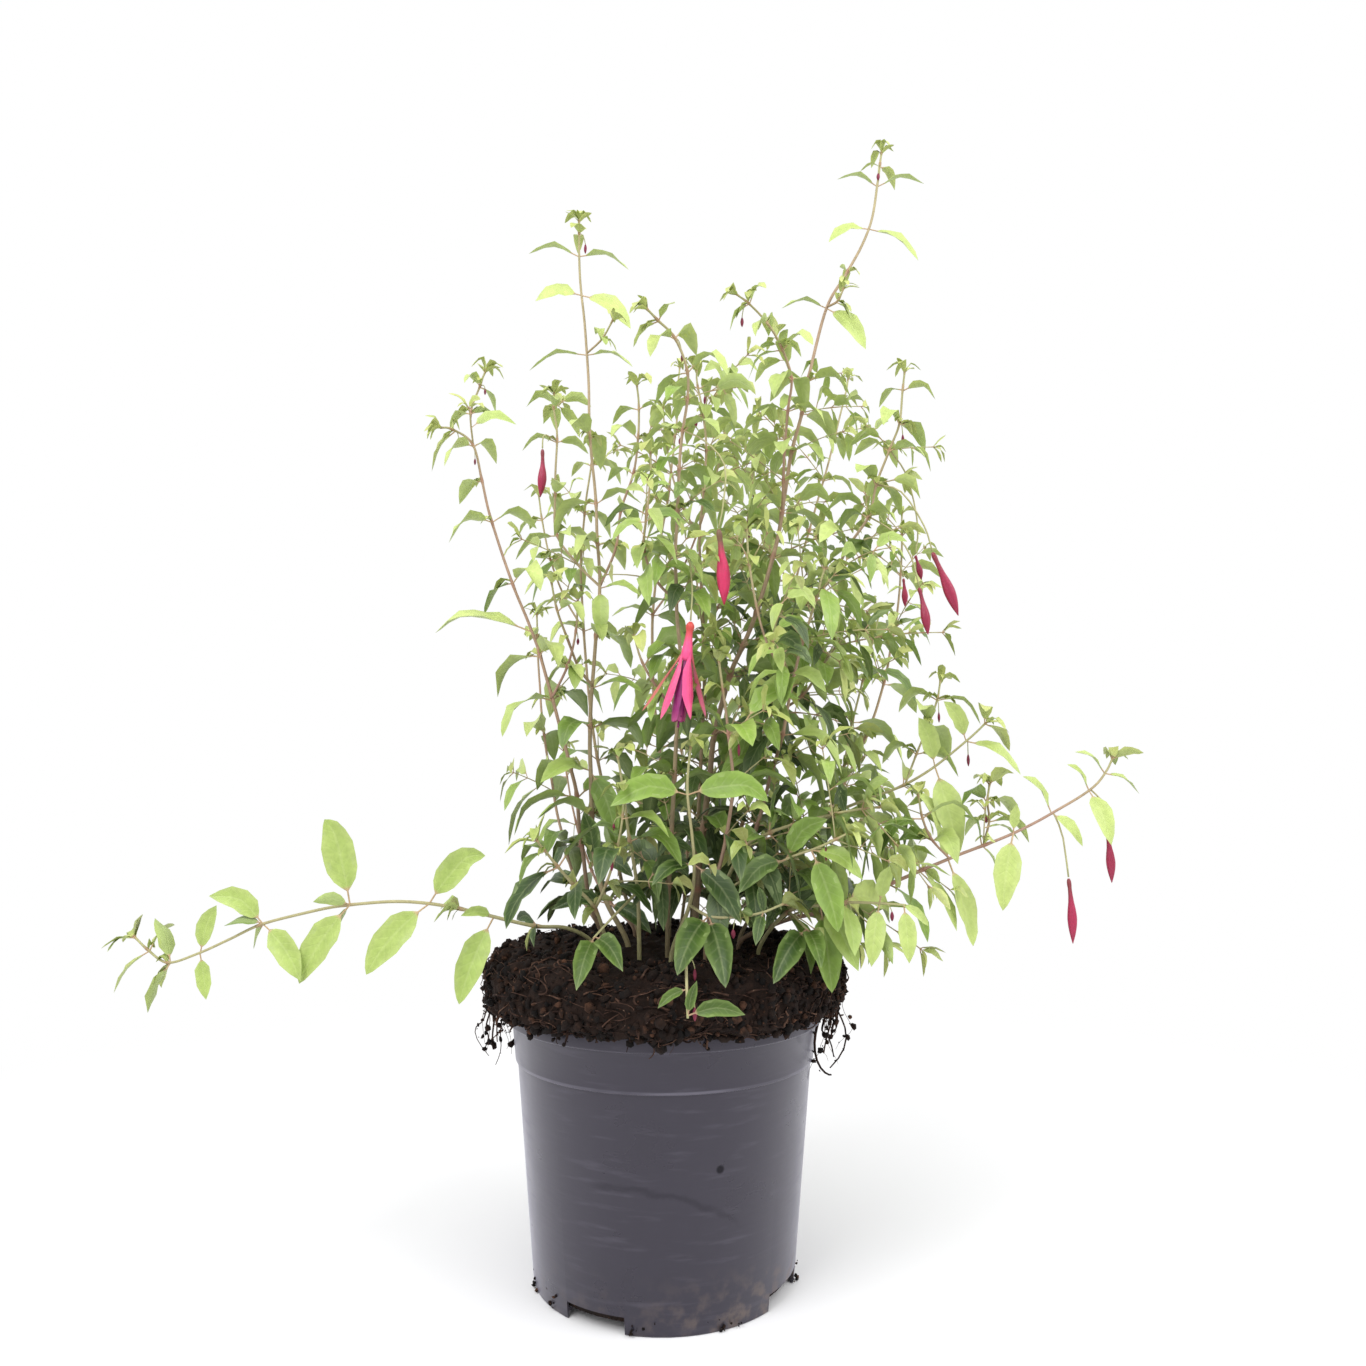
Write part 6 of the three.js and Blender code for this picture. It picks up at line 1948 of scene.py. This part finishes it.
    def grow_tufts(self) -> None:
        """Grows tiny leaves in the leaf axils and at the end of every line."""
        for axil, _ in self.axils():
            if axil.index == len(axil.line.leaves) - 1:
                axil.child(78).add_tuft(4, 1.05)
                continue
            for sideways in (0, 1):
                if axil.line.leaves[axil.index] >= 14 and axil.draw(sideways, 77, 0) < 0.5:
                    axil.child(77, sideways).add_tuft(2, 0.55)

    def light_leaves(self) -> None:
        """Sets how sunlit each leaf is: full in the open, and less low down and inside the bush.

        The shade inside is a bell in the distance from the bush's axis, which fades upwards. Low
        over the peat lies a second shade, and some leaves anywhere but on top are dark by chance.
        """
        middle_across, middle_depth, wide, deep = 22.0, 10.0, 84.0, 82.0
        for leaf in (leaf for plant in self.plants for leaf in plant.leaves):
            x, y, z = leaf.root + leaf.heading * leaf.length * 0.5
            bell = math.exp(-((x - middle_across) / wide) ** 2 - ((y - middle_depth) / deep) ** 2)
            span = smooth_step(-105, -75, x) * smooth_step(105, 75, x)
            shade = (0.82 * bell * smooth_step(520, 300, z)
                     - 0.14 * smooth_step(5, -35, x) * smooth_step(280, 320, z)
                     + 0.72 * smooth_step(300, 225, z) * smooth_step(150, 168, z) * span
                     + 0.4 * smooth_step(0.26, 0.16, leaf.chance) * smooth_step(500, 430, z)
                     + 0.14 * smooth_step(-60, -110, x) * smooth_step(330, 290, z)
                     + 0.22 * smooth_step(-45, -62, y) * smooth_step(270, 290, z))
            leaf.light = 0.93 - float(shade) + 0.5 * (leaf.chance - 0.5)

    def leaf_skin(self, plant: Plant) -> Skin:
        """All leaves of a plant as one skin, size by size.

        Args:
            plant: The plant.

        Returns:
            The skin.
        """
        skin = Skin(f"{plant.shoot.name}_leaves")
        for size in LeafSize:
            leaves = [leaf for leaf in plant.leaves if leaf.size is size]
            if not leaves:
                continue
            length, width, chance, light, youth = np.array(
                [(leaf.length, leaf.width, leaf.chance, leaf.light, leaf.youth) for leaf in leaves]).T
            centres, sides, starts = laid_out(leaves)
            bend = 0.07 * length * smooth_step(200, 230, centres[:, -1, 2])
            low = smooth_step(228, 208, centres[:, 0, 2]) * smooth_step(-110, -85, centres[:, 0, 0])
            centres[:, -1] -= bend[:, None] * UP
            centres[:, -2] += 0.25 * bend[:, None] * UP
            batch = BladeBatch(
                size.form, centres, sides, starts, half=(0.45 - 0.07 * low) * width,
                fold=0.1 + 0.34 * chance + 0.4 * low, wave=0.05 + 0.09 * ((chance * 7) % 1),
                twist=0.9 * (((chance * 13) % 1) - 0.5), phase=2 * np.pi * ((chance * 29) % 1))
            grid, tips, blade = batch.grid()
            _, off = size.form.ring()
            cast = np.zeros(grid.shape)
            cast[..., 0], cast[..., 1] = light[:, None, None], youth[:, None, None]
            cast[..., 2] = np.where(off < 0, 1, np.where(off > 0, 0, 0.3))
            skin.add_rings(grid, cast, blade, last=tips)
        return skin

    def stem_skin(self, plant: Plant, owner: int) -> Skin:
        """All stems and stalks of a plant, with their swollen nodes and their youngest buds.

        Args:
            plant: The plant.
            owner: Its number, which its draws go by.

        Returns:
            The skin.
        """
        skin = Skin(f"{plant.shoot.name}_stems")
        paleness = 0.85 if plant.shoot.name in self.pale else 0.0
        for row, line in enumerate((*plant.leafy, *plant.stalks, *plant.twigs)):
            is_leafy = row < len(plant.leafy)
            count = len(line.points)
            lengths = np.linalg.norm(np.diff(line.points, axis=0), axis=1)
            at = np.linspace(0, count - 1, max(6, int(lengths.sum() / (3.2 if is_leafy else 6))))
            run = np.concatenate([[0], np.cumsum(lengths)])
            travelled = np.interp(at, np.arange(count), run)
            path = smooth_path(line.points, at)
            sway = (smooth_step(1, 3, at) * smooth_step(count - 1, count - 1.6, at) * is_leafy)[:, None]
            path = path + 0.7 * sway * np.stack(
                [lattice_noise(path, 24, 31 + axis + owner) for axis in range(3)], axis=-1)
            nearest = np.round(at).astype(int)
            swelling = np.exp(-((travelled - run[nearest]) / 1.8) ** 2) * (line.leaves[nearest] > 0)
            radii = np.interp(at, np.arange(count), line.radii) * (1 + 0.4 * swelling)
            radii = radii * (0.86 if is_leafy else 0.75)
            blade, cast = np.zeros((2, 1, len(at), 1, 3))
            blade[0, :, 0, 1], blade[0, :, 0, 2] = travelled, swelling
            cast[0, :, 0, 0] = line.age[0] + (line.age[1] - line.age[0]) * at / (count - 1)
            cast[0, :, 0, 1] = max(paleness, 0.55 * draw(owner, row, 55) if is_leafy else 0.7)
            skin.add_tubes(path[None], radii[None], 8 if is_leafy else 5, cast, blade)
            if is_leafy:
                self.add_young_buds(skin, line, (owner, row))
        return skin

    def add_young_buds(self, skin: Skin, line: Line, keys: tuple[int, int]) -> None:
        """Hangs one or two of the youngest buds, each on a short stalk, near a line's end.

        Args:
            skin: The stems' skin.
            line: The line that they hang from.
            keys: The numbers of the plant and the line.
        """
        t = np.linspace(0, 1, 7)
        for back in (1, 2):
            if back >= len(line.points) - 2 or draw(*keys, back, 91) > 0.45:
                continue
            out = level(2 * np.pi * draw(*keys, back, 92))
            reach, drop = 3 + 3 * draw(*keys, back, 93), 3 + 6 * draw(*keys, back, 94)
            path = line.points[-1 - back] + out * (reach * np.sqrt(t))[:, None] - UP * (drop * t ** 2)[:, None]
            skin.add_tubes(path[None], np.full((1, 7), 0.3), 4, np.array([1.0, 0.6, 0.0]))
            length, radius = 3.5 + 4 * draw(*keys, back, 95), 0.8 + 0.5 * draw(*keys, back, 96)
            hang = path[-1] - UP * (length * t)[:, None]
            fat = radius * np.sin(np.pi * (0.06 + 0.9 * t)) ** 0.8
            skin.add_tubes(hang[None], fat[None], 6, np.array([1.0, 0.0, 1.0]))

    def build(self) -> None:
        """Makes the leaves and the stems of every shoot."""
        leaf_material, stem_material = LeafFinish().material(), StemFinish().material()
        for owner, plant in enumerate(self.plants):
            leaves = self.leaf_skin(plant).build(leaf_material, crease=70)
            settle(leaves, plant.shoot.name)
            settle(self.stem_skin(plant, owner).build(stem_material), plant.shoot.name)
        log.info("%d leaves in all", sum(len(plant.leaves) for plant in self.plants))


# ---------------------------------------------------------------- buds and flower
@dataclass(frozen=True)
class ClosedBud:
    """A closed bud: ovary, slim tube, and the folded sepals with their pointed tip."""

    bloom: Bloom
    bush: Bush
    outline: tuple[tuple[float, float], ...] = (
        (0, 0.22), (0.03, 0.36), (0.07, 0.43), (0.11, 0.4), (0.15, 0.36), (0.25, 0.4), (0.35, 0.52),
        (0.47, 0.8), (0.58, 0.95), (0.64, 0.96), (0.73, 0.86), (0.82, 0.66), (0.91, 0.38), (0.98, 0.1),
    )
    rings: int = 34
    around: int = 24

    def axis(self) -> tuple[Array, Array]:
        """The top of the ovary and the bud's tip."""
        top = self.bush.by_name[self.bloom.shoot].stalk_end(self.bloom.stalk)
        right, back = self.bloom.lean
        drop = math.sqrt(self.bloom.length ** 2 - right ** 2 - back ** 2)
        return top, top + np.array([right, back, -drop])

    def build(self, material: bpy.types.Material) -> None:
        """Makes the bud: a turned outline with a ridge on each sepal and a groove between two.

        The radius is the outline's, times 1 - 0.16 · |cos 2a|^8 where the sepals are, for the
        angle a round the axis.

        Args:
            material: The buds' finish.
        """
        top, tip = self.axis()
        share, girth = np.array(self.outline).T
        along = np.linspace(0, 0.985, self.rings)
        radius = np.interp(along, share, girth) * self.bloom.radius
        bow = 0.02 * self.bloom.length * np.sin(np.pi * along)
        path = top + (tip - top) * along[:, None] + np.array([1.0, 0.4, 0]) * bow[:, None]
        grid = tube_rings(path[None], np.ones((1, self.rings)), self.around)
        angle = circle(self.around)
        folds = smooth_step(0.3, 0.5, along)[:, None] * np.abs(np.cos(2 * angle)) ** 8
        scale = radius[:, None] * (1 - 0.16 * folds)
        grid = path[:, None] + (grid - path[:, None]) * scale[..., None]
        blade = np.zeros(grid.shape)
        blade[..., 0] = np.cos(2 * angle)
        blade[..., 1] = along[:, None]
        skin = Skin(f"{self.bloom.name}_skin")
        skin.add_rings(grid, np.array([self.bloom.ripeness, 0, 0]), blade, last=tip[None])
        settle(skin.build(material), self.bloom.name)


RIPE = np.array([1.0, 0, 0])  # the cast of a fully coloured petal


@dataclass(frozen=True)
class Sepal:
    """One spread sepal: where it points, and how it hangs and is coloured."""

    turn: float
    spread: float  # from straight down
    droop: float
    shrink: float
    cup: float  # how far its edges stand in over its middle
    twist: float
    ripeness: float
    slim: float  # share of the full width


@dataclass(frozen=True)
class OpenFlower:
    """The open flower: ovary and tube, four spread sepals, the corolla, stamens and style."""

    bush: Bush
    lean: float = -0.12  # sideways for each millimetre down
    ovary_length: float = 5
    tube_length: float = 16
    throat_radius: float = 4
    sepal_length: float = 41
    sepal_width: float = 0.24
    corolla_length: float = 36
    corolla_radius: float = 7
    petals: int = 5
    petal_half: float = 4.2
    style_length: float = 39
    stamens: int = 8
    tube: tuple[tuple[float, float], ...] = (
        (0, 0.9), (1.2, 2), (2.5, 2.5), (4, 2.3), (5.5, 1.9), (8, 2), (13, 2.6), (18, 3.3), (20.5, 3.1),
        (22.5, 1.6),
    )
    sepals: tuple[Sepal, ...] = (
        Sepal(312, 0.21, 0.3, 0.93, 0.5, 0.1, 1.0, 0.96), Sepal(208, 0.34, 0.3, 0.98, 0.6, 0.7, 0.9, 0.68),
        Sepal(172, 0.66, 0.1, 0.97, 0.4, 0.9, 0.12, 0.5), Sepal(14, 0.42, 0.26, 0.9, 0.5, 0.8, 0.3, 0.6),
    )

    @property
    def down(self) -> Array:
        """The direction that the flower hangs in."""
        return unit(np.array([self.lean, 0, -1.0]))

    def at(self, drop: float | Array) -> Array:
        """The places on the flower's axis that far below the top of its ovary."""
        top = self.bush.by_name[FLOWER_PLACE[0]].stalk_end(FLOWER_PLACE[1])
        return top + self.down * np.asarray(drop)[..., None]

    def sepal_leaf(self, sepal: Sepal) -> Leaf:
        """One sepal's course, which is that of a leaf heading down and out.

        Args:
            sepal: The sepal.

        Returns:
            A leaf of its measures.
        """
        out, length = level(math.radians(sepal.turn)), self.sepal_length * sepal.shrink
        root = self.at(self.ovary_length + self.tube_length - 3) + out * self.throat_radius * 0.55
        heading = unit(out * sepal.spread + self.down)
        return Leaf(root, heading, out, length, length * self.sepal_width * sepal.slim, sepal.droop)

    def tube_and_sepals(self) -> Skin:
        """The ovary, the tube and the four sepals."""
        skin = Skin("flower_tube_and_sepals_skin")
        drops, radii = np.array(self.tube).T
        fine = np.linspace(0, drops[-1], 26)
        blade = np.zeros((1, len(fine), 1, 3))
        blade[0, :, 0, 1] = fine / drops[-1] * 0.3
        skin.add_tubes(self.at(fine)[None], np.interp(fine, drops, radii)[None], 20, RIPE, blade)
        for number, sepal in enumerate(self.sepals):
            leaf = self.sepal_leaf(sepal)
            half, fold, wave, twist, phase = np.array(
                [[leaf.width / 2, -sepal.cup, 0.06, sepal.twist, number * 1.6 + 0.4]]).T
            grid, tips, blade = BladeBatch(SEPAL_FORM, *laid_out([leaf]), half, fold, wave, twist, phase).grid()
            blade[..., 1] = 0.3 + 0.7 * np.clip(blade[..., 1], 0, 1)
            cast = np.zeros(grid.shape)
            cast[..., 0], cast[..., 2] = sepal.ripeness, np.where(SEPAL_FORM.ring()[1] < 0, 0.8, 0.0)
            skin.add_rings(grid, cast, blade, last=tips)
        return skin

    def corolla(self) -> Skin:
        """The overlapping petals, the stamens with their anthers, and the long style."""
        skin = Skin("flower_corolla_skin")
        throat = self.ovary_length + self.tube_length
        numbers = np.arange(self.petals)
        out, side = level(circle(self.petals)), level(circle(self.petals) + np.pi / 2)
        layer = np.where(numbers % 2 == 0, 0.85, 1.15)
        drops = np.array([0.5, 9, 19, 28, self.corolla_length])
        reach = np.array([0.1, 0.36, 0.52, 0.58, 0.55]) * self.corolla_radius
        centres = self.at(throat + drops)[None] + out[:, None] * (reach * layer[:, None])[..., None]
        batch = BladeBatch(
            PETAL_FORM, centres, np.broadcast_to(side[:, None], centres.shape).copy(),
            (drops - drops[0]) / (drops[-1] - drops[0]), np.full(self.petals, self.petal_half),
            np.full(self.petals, 0.4), np.full(self.petals, 0.08), np.array([0.1, -0.2, 0.15, -0.1, 0.2]),
            1.7 * numbers)
        grid, tips, blade = batch.grid()
        skin.add_rings(grid, RIPE, blade, last=tips)
        self.add_threads(skin, throat)
        return skin

    def add_threads(self, skin: Skin, throat: float) -> None:
        """Adds the stamens, each with its anther, and the style with its knob.

        Args:
            skin: The corolla's skin.
            throat: Drop of the throat below the flower's top.
        """
        t = np.linspace(0, 1, 9)
        out = level(circle(self.stamens) + 0.6 * np.pi / self.stamens)
        length = 24 + 6 * np.array([draw(k, 41) for k in range(self.stamens)])
        paths = self.at(throat + 2 + length[:, None] * t) + out[:, None] * (0.8 + 2.2 * t)[:, None]
        pink = np.array([1.0, 0, 0.9])
        skin.add_tubes(paths, np.full((self.stamens, 9), 0.28), 5, pink)
        anther = paths[:, -1:] + self.down * (2.4 * t)[:, None]
        fat = np.broadcast_to(0.75 * np.sin(np.pi * (0.08 + 0.84 * t)), (self.stamens, 9))
        skin.add_tubes(anther, fat, 6, np.array([0.4, 0, 0.3]))
        style = self.at(throat + 2 + (self.style_length - 2) * t)
        radii = 0.38 + 0.55 * smooth_step(0.9, 0.97, t) * smooth_step(1.04, 0.98, t)
        skin.add_tubes(style[None], radii[None], 6, pink)

    def build(self) -> None:
        """Makes both pieces of the flower."""
        sepals = self.tube_and_sepals().build(SEPAL_FINISH.material(), crease=75)
        settle(sepals, "flower_tube_and_sepals")
        corolla = self.corolla().build(COROLLA_FINISH.material(), crease=75)
        settle(corolla, "flower_corolla")


# ---------------------------------------------------------------- the studio
@dataclass(frozen=True)
class Studio:
    """Camera, soft light and a plain pale floor."""

    camera_place: Spot = (11.1, -629, 283.9)
    camera_rise: float = 6  # degrees above level
    lens: float = 26.36  # for a 36 mm wide picture
    floor_radius: float = 6000
    world: float = 1.0

    def camera(self) -> None:
        """Places the camera where the photograph was taken from."""
        data = bpy.data.cameras.new("camera")
        data.lens, data.sensor_width = self.lens, 36
        data.clip_start, data.clip_end = 0.01, 50
        camera = bpy.data.objects.new("camera", data)
        camera.location = np.array(self.camera_place) * METRE
        camera.rotation_euler = (math.radians(90 + self.camera_rise), 0, 0)
        bpy.context.scene.collection.objects.link(camera)
        bpy.context.scene.camera = camera

    def floor(self) -> None:
        """A wide round floor that brightens to the background's white with distance."""
        sheet = MaterialSheet("pale_floor")
        x, y, _ = sheet.place().split()
        fade = (x * x + y * y).maths("SQRT").remap(0.25, 0.8)
        matt = sheet.put("BsdfPrincipled", {"Base Color": (0.86, 0.86, 0.87, 1), "Roughness": 0.7,
                                            "Specular IOR Level": 0.1})
        glow = sheet.put("Emission", {"Color": (1, 1, 1, 1), "Strength": 1.0})
        material = sheet.show(sheet.put("MixShader", {0: fade, 1: matt, 2: glow}))
        rim = level(circle(96)) * self.floor_radius
        skin = Skin("floor")
        skin.add_rings(np.array([[rim - UP * 20, rim - UP * 0.15]]))
        floor = skin.build(material, crease=40)

    def lamp(self, name: str, place: Spot, target: Spot, size: float, power: float) -> None:
        """A square soft light.

        Args:
            name: The light's name.
            place: Where it hangs, in millimetres.
            target: The place that it shines at, in millimetres.
            size: Side of the square in millimetres.
            power: Power in watts.
        """
        data = bpy.data.lights.new(name, "AREA")
        data.shape, data.size, data.energy = "SQUARE", size * METRE, power
        lamp = bpy.data.objects.new(name, data)
        lamp.location = np.array(place) * METRE
        way = (np.array(target) - np.array(place)) * METRE
        flat = math.hypot(way[0], way[1])
        lamp.rotation_euler = (math.atan2(flat, -way[2]), 0, math.atan2(way[1], way[0]) - math.pi / 2)
        bpy.context.scene.collection.objects.link(lamp)

    def light(self) -> None:
        """A white surround and two soft lights."""
        scene = bpy.context.scene
        scene.view_settings.view_transform = "Standard"
        scene.world = bpy.data.worlds.new("white")
        scene.world.use_nodes = True
        surround = scene.world.node_tree.nodes["Background"]
        surround.inputs["Color"].default_value = (1, 1, 1, 1)
        surround.inputs["Strength"].default_value = self.world
        self.lamp("key", (-700, -900, 1500), (0, 0, 250), 900, 16)
        self.lamp("fill", (900, -500, 1100), (0, 0, 250), 900, 8)

    def build(self) -> None:
        """Sets up the whole studio."""
        self.camera()
        self.floor()
        self.light()


def main() -> None:
    """Builds the studio and the plant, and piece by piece."""
    logging.basicConfig(level=logging.INFO, format="%(message)s")
    studio = Studio()
    studio.build()
    NurseryPot().build()
    RootBall().build()
    bush = Bush(SHOOTS, BUDS, studio.camera_place)
    bush.build()
    bud_material = BUD_FINISH.material()
    for bloom in BUDS:
        ClosedBud(bloom, bush).build(bud_material)
    OpenFlower(bush).build()


if __name__ == "__main__":
    main()
